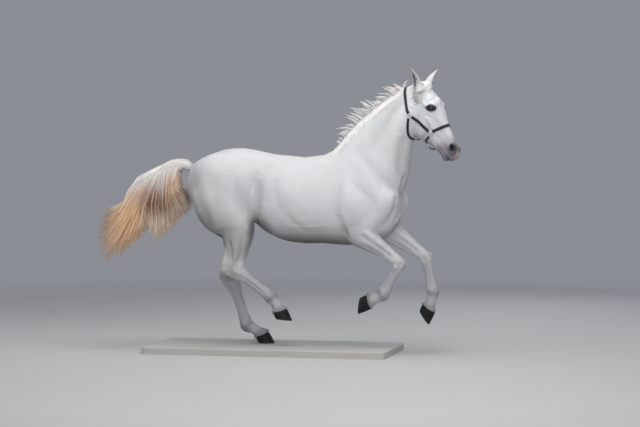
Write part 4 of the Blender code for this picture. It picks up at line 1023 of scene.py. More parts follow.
def thinned(made, triangles):
    """Fewer faces where the body is broad and plain."""
    plain = made.vertex_groups.new(name="plain")
    for vertex in made.data.vertices:
        plain.add([vertex.index], breadth(vertex.co), "REPLACE")
    thin = made.modifiers.new("thin", "DECIMATE")
    thin.vertex_group = "plain"
    now = sum(len(face.vertices) - 2 for face in made.data.polygons)
    thin.ratio = triangles / now
    return evaluated_copy(made, made.name)


def unbend(bm):
    """Smooths the sharply bent edges that thinning leaves on the broad parts of the body."""
    for _ in range(4):
        bent = {v for e in bm.edges if e.is_manifold and e.calc_face_angle() > BENT for v in e.verts}
        chosen = [v for v in bent if breadth(v.co) > 0.5]
        bmesh.ops.smooth_vert(bm, verts=chosen, factor=1, use_axis_x=True, use_axis_y=True, use_axis_z=True)


def taken_apart(made):
    """The mesh of an object, which itself is removed."""
    bm = bmesh.new()
    bm.from_mesh(made.data)
    bpy.data.objects.remove(made)
    return bm


def skin():
    """The whole body's skin with its lids, nostrils and ears."""
    forms = trunk_forms() + neck_forms() + head_forms()
    for leg in FORE_LEGS.values():
        forms += fore_leg_forms(leg)
    for leg in HIND_LEGS.values():
        forms += hind_leg_forms(leg)
    bm = taken_apart(fuse(forms, "skin", SKIN_VOXEL))
    cut_at_coronets(bm)
    finer(bm, on_face)
    finer(bm, round_features)
    body = new_object("skin", bm)
    sculpted(body)
    bm = taken_apart(body)
    for side in SIDES:
        tree = BVHTree.FromBMesh(bm)
        lids(bm, tree, side)
        nostril(bm, tree, side)
    bmesh.ops.recalc_face_normals(bm, faces=bm.faces)
    bm = taken_apart(thinned(new_object("skin", bm), SKIN_TRIANGLES))
    unbend(bm)
    for side in SIDES:
        ear(bm, side)
    return new_object("skin", bm)


# ---------------------------------------------------------------- ears

# Root and tip of each ear on the head, and the direction in which its opening faces.
Ear = namedtuple("Ear", "root tip facing")
EARS = {
    RIGHT: Ear((0.026, -0.090, -0.058), (-0.130, -0.052, -0.104), (0.10, -0.50, -1.0)),
    LEFT: Ear((0.022, -0.074, 0.058), (-0.076, 0.026, 0.132), (0.20, 0.55, 1.0)),
}
EAR_WIDTH = 0.072
EAR_DEPTH = 0.052
EAR_WALL = 0.0034
EAR_POINTS = 40
# Where the rings of an ear lie, from its root (0) to its tip (1).
EAR_SHARES = (
    *(-0.10, -0.02, 0.06, 0.13, 0.20, 0.28, 0.36, 0.44, 0.52),
    *(0.60, 0.68, 0.76, 0.83, 0.89, 0.94, 0.975, 0.995),
)


def ear_half_width(share):
    """Broad at the root, slightly full a third of the way up and pointed at the tip."""
    share = min(max(share, 0), 1)
    return EAR_WIDTH / 2 * (1 - share) ** 0.82 * (1 + 0.22 * math.sin(math.pi * share))


def ear_axes(side):
    spec = EARS[side]
    root, tip = on_head(*spec.root), on_head(*spec.tip)
    along = (tip - root).normalized()
    facing = HEAD_AXES @ Vector((spec.facing[1], spec.facing[2], -spec.facing[0]))
    facing = (facing - along * facing.dot(along)).normalized()
    return root, tip, along, facing, along.cross(facing)


def ear_spot(side, share, turn, inwards=0.0):
    """A point of the ear's shell; turn runs from one edge of the opening (-1) to the other (1)."""
    root, tip, _, facing, across = ear_axes(side)
    half = max(ear_half_width(share), 0.0012)
    deep = half * EAR_DEPTH / EAR_WIDTH
    opening = math.radians(178 - 44 * min(max(share, 0) / 0.40, 1) ** 1.3 - 10 * share)
    angle = turn * opening
    half, deep = max(half - inwards, 0.0004), max(deep - inwards, 0.0003)
    bend = -facing * 0.010 * math.sin(math.pi * share)
    flare = 1 + 0.30 * max(0.20 - share, 0) / 0.20
    return (
        root.lerp(tip, share) + bend
        + across * half * math.sin(angle) * flare
        - facing * deep * math.cos(angle) * (1.25 if abs(turn) < 0.7 else 1.0) * flare
    )


def ear(bm, side):
    """A thin cupped shell with a curled edge, open along its front."""
    middle = EAR_POINTS // 2

    def ring(share):
        wall = min(EAR_WALL, ear_half_width(max(share, 0)) * 0.45)

        def place(i):
            if i < middle:
                return ear_spot(side, share, -1 + 2 * i / (middle - 1))
            turn = 1 - 2 * (i - middle) / (middle - 1)
            return ear_spot(side, share, turn * 0.985, wall)

        return circle(bm, EAR_POINTS, place)

    bmesh.ops.recalc_face_normals(bm, faces=bridged(bm, [ring(share) for share in EAR_SHARES]))


# ---------------------------------------------------------------- markings of the coat

# Soft patches of another shade, as middle, radii, colour and strength.  Those on the head give length,
# front and side in place of the middle, and lie on both sides.
Patch = namedtuple("Patch", "middle radii colour strength")
# The body's patches are painted shade: darker under the body, between and behind the legs, under the tail, along
# the throat and in the hollows, some with a warmer tone.
BODY_SHADE_PATCHES = [
    Patch((0.250, 0.0, 0.720), (0.66, 0.34, 0.240), (0.230, 0.232, 0.245), 0.93),  # belly: painted shade, with some of its darker skin
    Patch((0.300, 0.0, 0.690), (0.60, 0.34, 0.130), (0.100, 0.095, 0.094), 0.92),
    Patch((-0.070, 0.0, 0.880), (0.13, 0.30, 0.150), (0.120, 0.105, 0.098), 0.92),  # groin
    Patch((-0.330, 0.0, 0.880), (0.24, 0.34, 0.220), (0.290, 0.275, 0.262), 0.82),  # thigh
    Patch((-0.490, 0.0, 0.900), (0.20, 0.30, 0.240), (0.160, 0.142, 0.132), 0.90),  # lower buttock
    Patch((-0.640, 0.0, 1.090), (0.08, 0.16, 0.170), (0.150, 0.135, 0.130), 0.75),  # under the tail
    Patch((0.620, 0.0, 0.850), (0.14, 0.26, 0.130), (0.260, 0.245, 0.235), 0.75),  # elbow
    Patch((0.930, 0.0, 0.870), (0.11, 0.08, 0.170), (0.300, 0.280, 0.270), 0.60),  # between the forelegs
    Patch((1.010, 0.0, 1.400), (0.10, 0.20, 0.320), (0.430, 0.430, 0.440), 0.45),  # throat line
    Patch((0.900, 0.0, 1.400), (0.07, 0.20, 0.260), (0.440, 0.440, 0.450), 0.35),
    Patch((1.000, 0.0, 1.120), (0.08, 0.14, 0.140), (0.420, 0.425, 0.450), 0.45),
    Patch((-0.060, 0.0, 1.150), (0.13, 0.40, 0.150), (0.500, 0.510, 0.520), 0.45),  # hollow of the flank
]
HEAD_PATCHES = [
    Patch((0.200, -0.010, 0.0), (0.300, 0.130, 0.20), (0.760, 0.775, 0.800), 0.90),  # painted light on the front of the face
    Patch((0.570, -0.100, 0.0), (0.165, 0.170, 0.12), (0.140, 0.132, 0.170), 0.95),  # muzzle
    Patch((0.510, -0.125, 0.0), (0.070, 0.060, 0.12), (0.260, 0.245, 0.270), 0.75),
    Patch((0.578, -0.052, 0.0), (0.046, 0.046, 0.036), (0.520, 0.370, 0.355), 0.80),  # pink of the nose
    Patch((0.563, -0.099, 0.0), (0.040, 0.022, 0.060), (0.034, 0.026, 0.030), 0.95),  # lips: dark skin, with painted shade in the line of the mouth
    Patch((0.545, -0.155, 0.0), (0.024, 0.018, 0.030), (0.560, 0.500, 0.500), 0.70),  # chin
    Patch((0.519, -0.035, 0.062), (0.044, 0.030, 0.030), (0.120, 0.105, 0.120), 0.85),  # nostril
    Patch((0.200, -0.040, 0.105), (0.044, 0.038, 0.040), (0.190, 0.185, 0.230), 0.75),  # round the eye
    Patch((0.260, -0.255, 0.0), (0.120, 0.055, 0.12), (0.480, 0.430, 0.370), 0.50),  # under the cheek: a cream tone with painted shade
    Patch((0.400, -0.190, 0.0), (0.110, 0.060, 0.08), (0.300, 0.290, 0.290), 0.70),  # painted shade under the jaw
    Patch((0.360, -0.070, 0.0), (0.140, 0.045, 0.09), (0.460, 0.470, 0.490), 0.40),
]
KNEE_COLOUR = (0.330, 0.300, 0.275)
# colour of the painted shade about the fetlocks
FETLOCK_SHADE = (0.130, 0.135, 0.148)
CORONET_COLOUR = (0.230, 0.225, 0.225)
LID_COLOUR = (0.026, 0.024, 0.042)
# painted shade in the nostril passages
NOSTRIL_PASSAGE_SHADE = (0.012, 0.008, 0.008)
EAR_HOLLOW_SHADE = (0.035, 0.030, 0.036)  # painted shade in the hollow of an ear


def faded(value, start, end):
    """0 before start, 1 past end and smooth between them."""
    share = np.clip((value - start) / (end - start), 0, 1)
    return share * share * (3 - 2 * share)


def blended(base, share, other):
    """The base with this share of another colour or direction at each point."""
    share = share[..., None]
    return base * (1 - share) + np.array(other) * share


def down_the_legs(points):
    """How far down a leg each point lies (1 at the knee or hock, 2 at the fetlock, 3 at the coronet), and
    the direction of the bone there."""
    best = np.full(len(points), 9.0)
    value = np.zeros(len(points))
    direction = np.zeros((len(points), 3))
    for legs, offset in ((FORE_LEGS, 0), (HIND_LEGS, -1)):
        for leg in legs.values():
            joints = np.array(leg.joints)
            for bone in range(len(joints) - 1):
                start, along = joints[bone], joints[bone + 1] - joints[bone]
                share = np.clip((points - start) @ along / (along @ along), 0, 1)
                gap = np.linalg.norm(points - start - share[:, None] * along, axis=1)
                nearer = gap < best
                best = np.where(nearer, gap, best)
                value = np.where(nearer, bone + share + offset, value)
                direction[nearer] = along / np.linalg.norm(along)
    value = np.where((best > 0.15) | (points[:, 2] > GROUND + 0.98), 0, value)
    return np.maximum(value, 0), direction


def on_head_array(points):
    """Length, front and side of many points."""
    inverse = np.array(HEAD_FRAME.inverted())
    place = points @ inverse[:3, :3].T + inverse[:3, 3]
    return np.stack([-place[:, 2], place[:, 0], place[:, 1]], axis=1)


def coat_tints(points, coat, legs):
    """The coat's colour at each point, with painted shade under and between the parts of the body, in the grooves
    and at the fetlocks.
    """
    tints = np.tile(np.array(coat), (len(points), 1))

    def lay(share, colour):
        tints[:] = blended(tints, share, colour)

    down, _ = down_the_legs(points)
    # Painted shade under and between the parts of the body.
    for patch in BODY_SHADE_PATCHES:
        middle = np.array(at(*patch.middle))
        gap = np.linalg.norm((points - middle) / np.array(patch.radii), axis=1)
        lay(patch.strength * (1 - faded(gap, 0.35, 1.25)) * (down < 0.8), patch.colour)
    # The legs' own darker grey, made darker still as painted shade down the lower legs.
    leg_share = faded(down, 0.70, 1.40)
    lay(leg_share * 0.85, legs)
    lay(np.exp(-(((down - 1.0) / 0.10) ** 2)) * 0.35, KNEE_COLOUR)
    # Painted shade about the fetlocks.
    lay(np.exp(-(((down - 2.08) / 0.15) ** 2)) * 0.45, FETLOCK_SHADE)
    lay(faded(down, 2.55, 2.95) * 0.55, CORONET_COLOUR)
    place = on_head_array(points)
    head = place[:, 0] > -0.10
    front = faded(points[:, 0], 1.02, 1.10)
    for patch in HEAD_PATCHES:
        middle = np.array(patch.middle)
        gaps = place - middle
        gaps[:, 2] = np.abs(place[:, 2]) - middle[2]
        gap = np.linalg.norm(gaps / np.array(patch.radii), axis=1)
        lay(patch.strength * (1 - faded(gap, 0.45, 1.15)) * front * head, patch.colour)
    # Painted shade in the sculpted grooves and painted light on the ridges, stronger down the legs.
    strength = 0.15 + 0.25 * faded(down, 0.3, 0.8)
    return tints * (1 + strength * np.clip(relief(points) / 0.009, -1, 0.35))[:, None]


def set_tints(mesh, tints):
    layer = mesh.color_attributes.new("tint", "FLOAT_COLOR", "POINT")
    full = np.ones((len(mesh.vertices), 4), np.float32)
    full[:, :3] = tints
    layer.data.foreach_set("color", full.ravel())


def dark_lids_and_shaded_hollows(mesh, tints):
    """Darkens the skin of the lid edges, and paints shade into the nostril passages and the hollows of the ears.
    """
    points = places_of(mesh)
    for side in SIDES:
        centre, outwards, wide, tall = eye_axes(side)
        reach = points - np.array(centre)
        a, b, depth = (reach @ np.array(axis) for axis in (wide, tall, outwards))
        size = np.hypot((a + 0.0030) / (LID_LENGTH * 1.12), b / (LID_HEIGHT * 1.05))
        share = (1 - faded(size, 1.20, 1.78)) * (depth > -0.01) * (depth < 0.05)
        tints[:] = blended(tints, share, LID_COLOUR)
        # Painted shade in the nostril's passage.
        reach = points - np.array(on_head(NOSTRIL[0], NOSTRIL[1] - 1.2 * NOSTRIL_SHIFT[side], 0.034 * side))
        length = reach @ np.array((HEAD_AXES @ Vector((-0.16, 0, -1))).normalized())
        gap = np.sqrt((reach**2).sum(1) - 0.5 * length**2)
        share = (1 - faded(gap, 0.020, 0.031)) * 0.97
        tints[:] = blended(tints, share, NOSTRIL_PASSAGE_SHADE)
        # Painted shade deep in the hollow of the ear.
        root, tip, along, facing, _ = ear_axes(side)
        reach = points - np.array(root)
        height = reach @ np.array(along) / (tip - root).length
        middle = np.array(root) + height[:, None] * np.array(tip - root)
        inwards = (points - middle) @ np.array(facing)
        near = np.linalg.norm(points - middle, axis=1) < 0.040
        normals = vertex_normals(mesh)
        inner = near & (height > 0.05) & (height < 1.02) & (normals @ np.array(facing) > 0.15) & (inwards < 0.001)
        share = inner * (0.93 - 0.20 * np.clip(height, 0, 1))
        tints[:] = blended(tints, share, EAR_HOLLOW_SHADE)
    return tints


# ---------------------------------------------------------------- hair and coat


STRAND_SIDES = 3
UNWRAP_REACH = 0.0015  # half the size of a strand's patch of the unwrap


def strand_shape(levels):
    """A closed strand along Z, with a level of points at each whole height."""
    bm = bmesh.new()
    ring = bmesh.ops.create_circle(bm, cap_ends=True, radius=1.0, segments=STRAND_SIDES)["verts"]
    edges = ring_edges(ring)
    for _ in range(levels - 1):
        made = bmesh.ops.extrude_edge_only(bm, edges=edges)["geom"]
        bmesh.ops.translate(bm, verts=[v for v in made if isinstance(v, bmesh.types.BMVert)], vec=(0, 0, 1))
        edges = [e for e in made if isinstance(e, bmesh.types.BMEdge) and e.is_boundary]
    bmesh.ops.contextual_create(bm, geom=edges)
    bmesh.ops.recalc_face_normals(bm, faces=bm.faces)
    mesh = bpy.data.meshes.new("strand")
    bm.to_mesh(mesh)
    bm.free()
    points = places_of(mesh)
    faces = [tuple(f.vertices) for f in mesh.polygons]
    bpy.data.meshes.remove(mesh)
    return points, faces


def outlines(levels, root, tip_power):
    """The relative thickness at each level: root share at the base, full in the middle, fine at the tip."""
    share = np.linspace(0, 1, levels)
    swell = root + (1 - root) * np.minimum(share * 3.0, 1)
    return np.maximum(swell * (1 - share**tip_power), 0.06)


def strands(name, paths, widths, depths, outwards, tints, atlas, root=0.5, tip_power=3.0):
    """Many strands as one mesh.  paths is strand by level by 3; the flat face looks outwards."""
    count, levels, _ = paths.shape
    shape, faces = strand_shape(levels)
    along = np.gradient(paths, axis=1)
    along /= np.linalg.norm(along, axis=2, keepdims=True) + 1e-9
    thin = outwards[:, None, :] - along * (outwards[:, None, :] * along).sum(2, keepdims=True)
    thin /= np.linalg.norm(thin, axis=2, keepdims=True) + 1e-9
    wide = np.cross(thin, along)
    level = np.rint(shape[:, 2]).astype(int)
    taper = outlines(levels, root, tip_power)[level]
    across = -shape[:, 0] * taper
    proud = -shape[:, 1] * taper
    places = (
        paths[:, level]
        + wide[:, level] * (across[None, :, None] * widths[:, None, None])
        + thin[:, level] * (proud[None, :, None] * depths[:, None, None])
    )
    corners = np.concatenate([np.array(f) for f in faces])
    sizes = np.array([len(f) for f in faces])
    total = len(shape)
    mesh = bpy.data.meshes.new(name)
    mesh.vertices.add(count * total)
    mesh.vertices.foreach_set("co", places.ravel())
    indices = (corners[None, :] + (np.arange(count) * total)[:, None]).ravel()
    starts = np.concatenate([[0], np.cumsum(np.tile(sizes, count))[:-1]])
    mesh.loops.add(len(indices))
    mesh.loops.foreach_set("vertex_index", indices)
    mesh.polygons.add(count * len(faces))
    mesh.polygons.foreach_set("loop_start", starts)
    mesh.polygons.foreach_set("loop_total", np.tile(sizes, count))
    mesh.update(calc_edges=True)
    if tints.ndim == 2:
        tints = np.repeat(tints[:, None, :], levels, axis=1)
    set_tints(mesh, tints[:, level].reshape(-1, 3))
    layer = mesh.uv_layers.new(name="OFBake")
    u = atlas[:, 0, None] + shape[None, :, 0] * UNWRAP_REACH * 0.8
    v = atlas[:, 1, None] + (level[None, :] / (levels - 1) - 0.5) * 2 * UNWRAP_REACH
    flat = np.stack([np.broadcast_to(u, (count, total)), np.broadcast_to(v, (count, total))], axis=2)
    layer.data.foreach_set("uv", flat.reshape(-1, 2)[indices].astype(np.float32).ravel())
    mesh.shade_smooth()
    ends = np.empty(len(mesh.edges) * 2, int)
    mesh.edges.foreach_get("vertices", ends)
    heights = level[ends.reshape(-1, 2) % total]
    creases = mesh.attributes.new("sharp_edge", "BOOLEAN", "EDGE")
    creases.data.foreach_set("value", heights[:, 0] != heights[:, 1])
    made = bpy.data.objects.new(name, mesh)
    bpy.context.scene.collection.objects.link(made)
    return made


def smooth_paths(controls, levels):
    """Paths of so many levels along Catmull-Rom curves through strand by control by 3."""
    last = controls.shape[1] - 1
    place = np.linspace(0, last - 1e-6, levels)
    i = place.astype(int)
    share = (place - i)[None, :, None]
    four = [controls[:, np.clip(i + k, 0, last)] for k in (-1, 0, 1, 2)]
    return smooth_between(*four, share)


DOCK = [(-0.595, 1.290), (-0.680, 1.318), (-0.765, 1.318), (-0.850, 1.292)]  # x and height, root to tip
# How far down the dock a lock starts, the places of its middle and its tip as x and height, and how far
# its lower half hangs inside the straight line.
TAIL_LOCKS = [
    (0.14, (-0.752, 1.150), (-0.665, 0.950), 0.01),
    (0.26, (-0.785, 1.110), (-0.745, 0.865), 0.01),
    (0.40, (-0.830, 1.090), (-0.845, 0.770), 0.01),
    (0.52, (-0.885, 1.080), (-0.925, 0.715), 0.01),
    (0.62, (-0.940, 1.070), (-0.985, 0.830), 0.01),
    (0.72, (-0.985, 1.055), (-1.100, 0.695), 0.01),
    (0.82, (-1.015, 1.045), (-1.225, 0.605), 0.01),
    (0.90, (-1.040, 1.055), (-1.340, 0.560), 0.01),
    (0.96, (-1.055, 1.075), (-1.375, 0.655), 0.02),
    (1.00, (-1.065, 1.105), (-1.385, 0.760), 0.04),
    (1.00, (-1.070, 1.140), (-1.370, 0.865), 0.06),
    (1.00, (-1.068, 1.175), (-1.345, 0.935), 0.09),
]
TAIL_ROWS = np.array([(start, *middle, *tip, sag) for start, middle, tip, sag in TAIL_LOCKS])
TAIL_SPREAD = 0.046  # sideways spacing of the rows of locks
# The furthest that the hair of the tail and the mane may reach: back, down, to each side and forwards.
TAIL_BACK, TAIL_LOW, TAIL_SIDE = -1.360, GROUND + 0.56, 0.092
MANE_FRONT = 1.02
TAIL_TIPS = (0.900, 0.660, 0.460)
MANE_BLUSH = (0.760, 0.600, 0.570)
HAIR_LEVELS = 8


def tail_row(number, drift):
    """The points that a lock of the tail follows, and where on the dock it starts; number may lie between
    two rows."""
    low = int(min(number, len(TAIL_ROWS) - 1.001))
    share = number - low
    above = TAIL_ROWS[min(low + 1, len(TAIL_ROWS) - 1)]
    start, mx, mz, tx, tz, sag = TAIL_ROWS[low] * (1 - share) + above * share
    dock = [at(x, 0, z) for x, z in DOCK]
    root = curve_point(dock, start)
    leave = curve_point(dock, min(start + 0.05, 1)) - curve_point(dock, min(start, 0.95))
    leave.normalize()
    second = root + leave * 0.10 + Vector((0, drift * 0.35, -0.012))
    mid = at(mx, drift * 0.85, mz)
    end = at(tx + 0.020 * abs(drift) / TAIL_SPREAD, drift * 1.15, tz + 0.045 * abs(drift) / TAIL_SPREAD)
    inside = Vector((mid.z - end.z, 0, end.x - mid.x)).normalized()
    lower = mid.lerp(end, 0.5) + inside * sag
    return [root, second, mid, lower, end], start


# Colours of the tail, as middle (x and height), radii, colour and strength; two of them hold painted shade.
TAIL_PATCHES = [
    Patch((-0.800, 0.870), (0.160, 0.170), (0.860, 0.690, 0.550), 0.85),
    Patch((-1.020, 1.020), (0.200, 0.170), (0.880, 0.560, 0.350), 0.85),
    # The tail's own brown, made darker with painted shade inside the tail.
    Patch((-0.870, 1.050), (0.210, 0.145), (0.260, 0.115, 0.050), 0.97),
    Patch((-1.150, 0.860), (0.210, 0.240), (0.940, 0.580, 0.290), 0.95),
    Patch((-0.745, 1.130), (0.110, 0.170), (0.700, 0.470, 0.320), 0.90),
    # Painted shade where the tail hangs against the buttocks, over the tail's brown.
    Patch((-0.655, 1.150), (0.065, 0.140), (0.200, 0.150, 0.120), 0.90),
]


def tail_tints(points, pale, shades, random):
    """Brown inside, made darker there with painted shade, gold in the hanging lobe, and pale along the top and at
    the tips.
    """
    count, levels, _ = points.shape
    tints = np.tile(np.array(pale), (count, levels, 1))
    for patch in TAIL_PATCHES:
        gap = np.hypot(
            (points[:, :, 0] - patch.middle[0]) / patch.radii[0],
            (points[:, :, 2] - GROUND - patch.middle[1]) / patch.radii[1],
        )
        share = patch.strength * (1 - faded(gap, 0.30, 1.20)) * shades[:, None]
        tints = blended(tints, share, patch.colour)
    tints = blended(tints, np.linspace(0, 1, levels)[None, :] ** 5 * 0.55, TAIL_TIPS)
    return np.minimum(tints * (0.90 + 0.16 * random.random((count, 1, 1))), 0.95)


def tail_hair(count, width, pale, seed=11):
    """Strands that follow the tail's locks, gathered towards their tips."""
    random = np.random.default_rng(seed)
    controls, starts, angles, shades = [], [], [], []
    last = len(TAIL_LOCKS) - 1
    for _ in range(count):
        clump = random.integers(0, last + 1)
        row = random.integers(-1, 2)
        wander = random.normal(0, 0.42)
        number = float(np.clip(clump + wander, 0, last))
        drift = TAIL_SPREAD * (row + random.normal(0, 0.28))
        drift = float(np.clip(drift, -0.075, 0.075))
        path, start = tail_row(number, drift)
        gathered, _ = tail_row(float(clump), TAIL_SPREAD * row * 1.1)
        angle = random.uniform(0, 2 * math.pi)
        ring = Vector((0.3 * math.cos(angle), math.sin(angle), math.cos(angle)))
        swell = 0.020 + 0.016 * random.random()
        length = 0.80 + 0.20 * random.random() ** 0.5
        points = []
        sizes = (0.030, swell * 1.25, swell * 1.5, swell * 1.2, swell * 0.55)
        for i, (point, tip_point) in enumerate(zip(path, gathered)):
            point = point.lerp(tip_point, 0.30 * i / 4)
            shift = ring * sizes[i]
            shift.y *= 0.95
            shift += Vector(random.normal(0, 0.0024 * i, 3))
            points.append(point + shift)
        points[4] = points[3].lerp(points[4], 0.35 + 0.65 * (length - 0.80) / 0.20)
        points[0] = path[0] + ring * 0.027
        controls.append([tuple(p) for p in points])
        starts.append(start)
        angles.append(angle)
        top = math.cos(angle) > 0.35 and clump >= 8
        edge = clump == last or (abs(row) == 1 and random.random() < 0.05)
        shades.append(0.50 if top or edge else (1.0 if random.random() < 0.90 else 0.60))
    controls = np.array(controls)
    controls[:, :, 1] = np.clip(controls[:, :, 1], -TAIL_SIDE, TAIL_SIDE)
    paths = smooth_paths(controls, HAIR_LEVELS)
    paths[:, :, 0] = np.maximum(paths[:, :, 0], TAIL_BACK)
    paths[:, :, 2] = np.maximum(paths[:, :, 2], TAIL_LOW)
    widths = width * (0.9 + 0.9 * random.random(count))
    tints = tail_tints(paths, pale, np.array(shades), random)
    angles = np.array(angles)
    outwards = np.stack([np.zeros(count), np.sin(angles) + 0.01, np.cos(angles)], axis=1)
    atlas = np.stack([0.02 + 0.96 * np.array(starts), 0.02 + 0.96 * angles / (2 * math.pi)], axis=1)
    return strands("tail_hair", paths, widths, widths * 0.30, outwards, tints, atlas, root=0.6, tip_power=3.2)


# The line along the top of the neck that the mane grows from, as x and height.
CREST = [
    (0.470, 1.452),
    (0.560, 1.556),
    (0.640, 1.640),
    (0.730, 1.718),
    (0.820, 1.784),
    (0.910, 1.838),
    (0.966, 1.865),
]
# The blown locks of the mane: where each starts along the crest, its tip as x and height, how thick it
# is and how far it leans to the left.
MANE_TUFTS = [
    (0.10, (0.462, 1.507), 0.9, 0.020),
    (0.16, (0.478, 1.549), 0.8, -0.010),
    (0.21, (0.484, 1.580), 1.0, 0.015),
    (0.29, (0.530, 1.629), 0.9, 0.025),
    (0.35, (0.545, 1.687), 1.0, 0.000),
    (0.41, (0.583, 1.710), 0.8, 0.020),
    (0.46, (0.613, 1.731), 0.8, -0.012),
    (0.53, (0.640, 1.789), 1.1, 0.010),
    (0.58, (0.681, 1.768), 0.8, 0.030),
    (0.63, (0.719, 1.768), 0.7, 0.000),
    (0.69, (0.748, 1.798), 0.9, 0.020),
    (0.76, (0.778, 1.834), 1.1, -0.005),
    (0.84, (0.816, 1.885), 1.2, 0.010),
    (0.91, (0.850, 1.880), 1.2, 0.025),
    (0.98, (0.884, 1.885), 1.1, 0.000),
    (1.00, (1.000, 1.930), 0.35, -0.020),
]
SPIKES = 3  # fine locks in each tuft
# A strand of the mane: the points that it follows, the place of its root in the unwrap, the way that its
# flat face looks and its colour.
ManeStrand = namedtuple("ManeStrand", "points root outwards tint")


def crest_ways(crest, here):
    """The directions forwards along the crest and up from it."""
    along = (curve_point(crest, min(here + 0.04, 1)) - curve_point(crest, max(here - 0.04, 0))).normalized()
    return along, Vector((-along.z, 0, along.x))


def blown_mane(count, crest, pale, random, seed):
    """Short tufts blown up and back off the crest."""
    weights = np.array([tuft[2] for tuft in MANE_TUFTS])
    made = []
    for number in random.choice(len(MANE_TUFTS), count, p=weights / weights.sum()):
        share, tip, _, lean = MANE_TUFTS[number]
        spike = random.integers(0, SPIKES)
        drawn = np.random.default_rng((seed, number, spike))
        shift = 0.055 * (spike / (SPIKES - 1) - 0.5)
        aside = drawn.normal(0, 0.012, 3)
        here = float(np.clip(share + shift + random.normal(0, 0.0045), 0, 1))
        root = curve_point(crest, here) + Vector((0, random.uniform(-0.020, 0.014), -0.012))
        reach = (0.80 + 0.45 * drawn.random()) * (0.40 + 0.60 * random.random() ** 0.4)
        along, up = crest_ways(crest, here)
        end = at(tip[0], lean, tip[1]) + along * (shift * 0.55) + Vector(aside)
        end = root.lerp(end + Vector(random.normal(0, 0.0012, 3)), reach)
        middle = root.lerp(end, 0.5) + up * 0.014 + Vector(random.normal(0, 0.0020, 3))
        points = [root - up * 0.010, root.lerp(middle, 0.5) + up * 0.004, middle, end]
        place = (here, 0.25 + random.uniform(-0.12, 0.12))
        blush = 0.30 * faded(np.array(here), 0.70, 0.95) * random.random()
        tint = np.array(pale) * (1 - blush) + np.array(MANE_BLUSH) * blush
        made.append(ManeStrand(points, place, (0.2, 1.0, 0.2), tint))
    return made


def laid_mane(count, crest, pale, random, body):
    """Short hair that lies on the right side of the neck."""
    made = []
    for _ in range(count):
        here = random.random()
        root = curve_point(crest, here) + Vector((0, random.uniform(-0.022, 0.0), -0.006))
        along, up = crest_ways(crest, here)
        down_neck = -along * random.uniform(0.3, 1.2) - up * random.uniform(0.0, 1.1)
        points = [root]
        for reach in (0.35, 0.70, 1.0):
            point = root + down_neck * (0.075 * reach) + Vector((0, -0.05, 0))
            spot, normal, _, _ = body.find_nearest(point)
            points.append(spot + normal * (0.0045 - 0.0040 * reach))
        place = (here, 0.40 + random.uniform(-0.1, 0.1))
        tint = np.array(pale) * (0.92 + 0.08 * random.random())
        made.append(ManeStrand(points, place, (0.1, -0.9, 0.3), tint))
    return made


def fallen_mane(count, crest, pale, random):
    """Longer hair that falls in clumps on the left side of the neck."""
    made = []
    side = Vector((0, 1, 0))
    for _ in range(count):
        here = random.random()
        root = curve_point(crest, here) + Vector((0, random.uniform(-0.010, 0.016), -0.010))
        along, up = crest_ways(crest, here)
        clump = round(here * 22) / 22
        drift = (clump - here) * 0.30
        reach = (0.150 + 0.045 * random.random() + 0.02 * math.sin(clump * 60)) * (1.0 - 0.25 * here)
        bend = root + side * 0.050 + up * 0.012 - along * 0.030
        fall = root + side * (0.094 + 0.012 * random.random()) - up * reach
        fall += along * (drift - 0.080 - 0.03 * random.random())
        lower = bend.lerp(fall, 0.55) + side * 0.018
        # The last of these is drawn only to keep the order of the draws.
        scatter = [Vector(random.normal(0, s, 3)) for s in (0.002, 0.004, 0.005, 0.006)]
        points = [root - up * 0.010, bend + scatter[0], lower + scatter[1], fall + scatter[2]]
        place = (here, 0.70 + random.uniform(-0.2, 0.2))
        tint = np.array(pale) * (0.9 + 0.1 * random.random())
        made.append(ManeStrand(points, place, (0.0, 0.9, 0.45), tint))
    return made


def mane_hair(blown, laid, fallen, width, pale, body, seed=23):
    """Tufts blown up and back off the crest, short hair laid on the right side and longer on the left."""
    random = np.random.default_rng(seed)
    crest = [at(x, -0.004, z) for x, z in CREST]
    hair = blown_mane(blown, crest, pale, random, seed)
    hair += laid_mane(laid, crest, pale, random, body)
    hair += fallen_mane(fallen, crest, pale, random)
    paths = smooth_paths(np.array([[tuple(p) for p in strand.points] for strand in hair]), 7)
    paths[:, :, 0] = np.minimum(paths[:, :, 0], MANE_FRONT)
    tints = np.array([strand.tint for strand in hair]) * (0.88 + 0.20 * random.random((len(hair), 1)))
    widths = width * (0.55 + 0.8 * random.random(len(hair)))
    outwards = np.array([strand.outwards for strand in hair])
    atlas = 0.02 + 0.96 * np.array([strand.root for strand in hair])
    return strands("mane_hair", paths, widths, widths * 0.45, outwards, tints, atlas, root=0.7, tip_power=2.4)


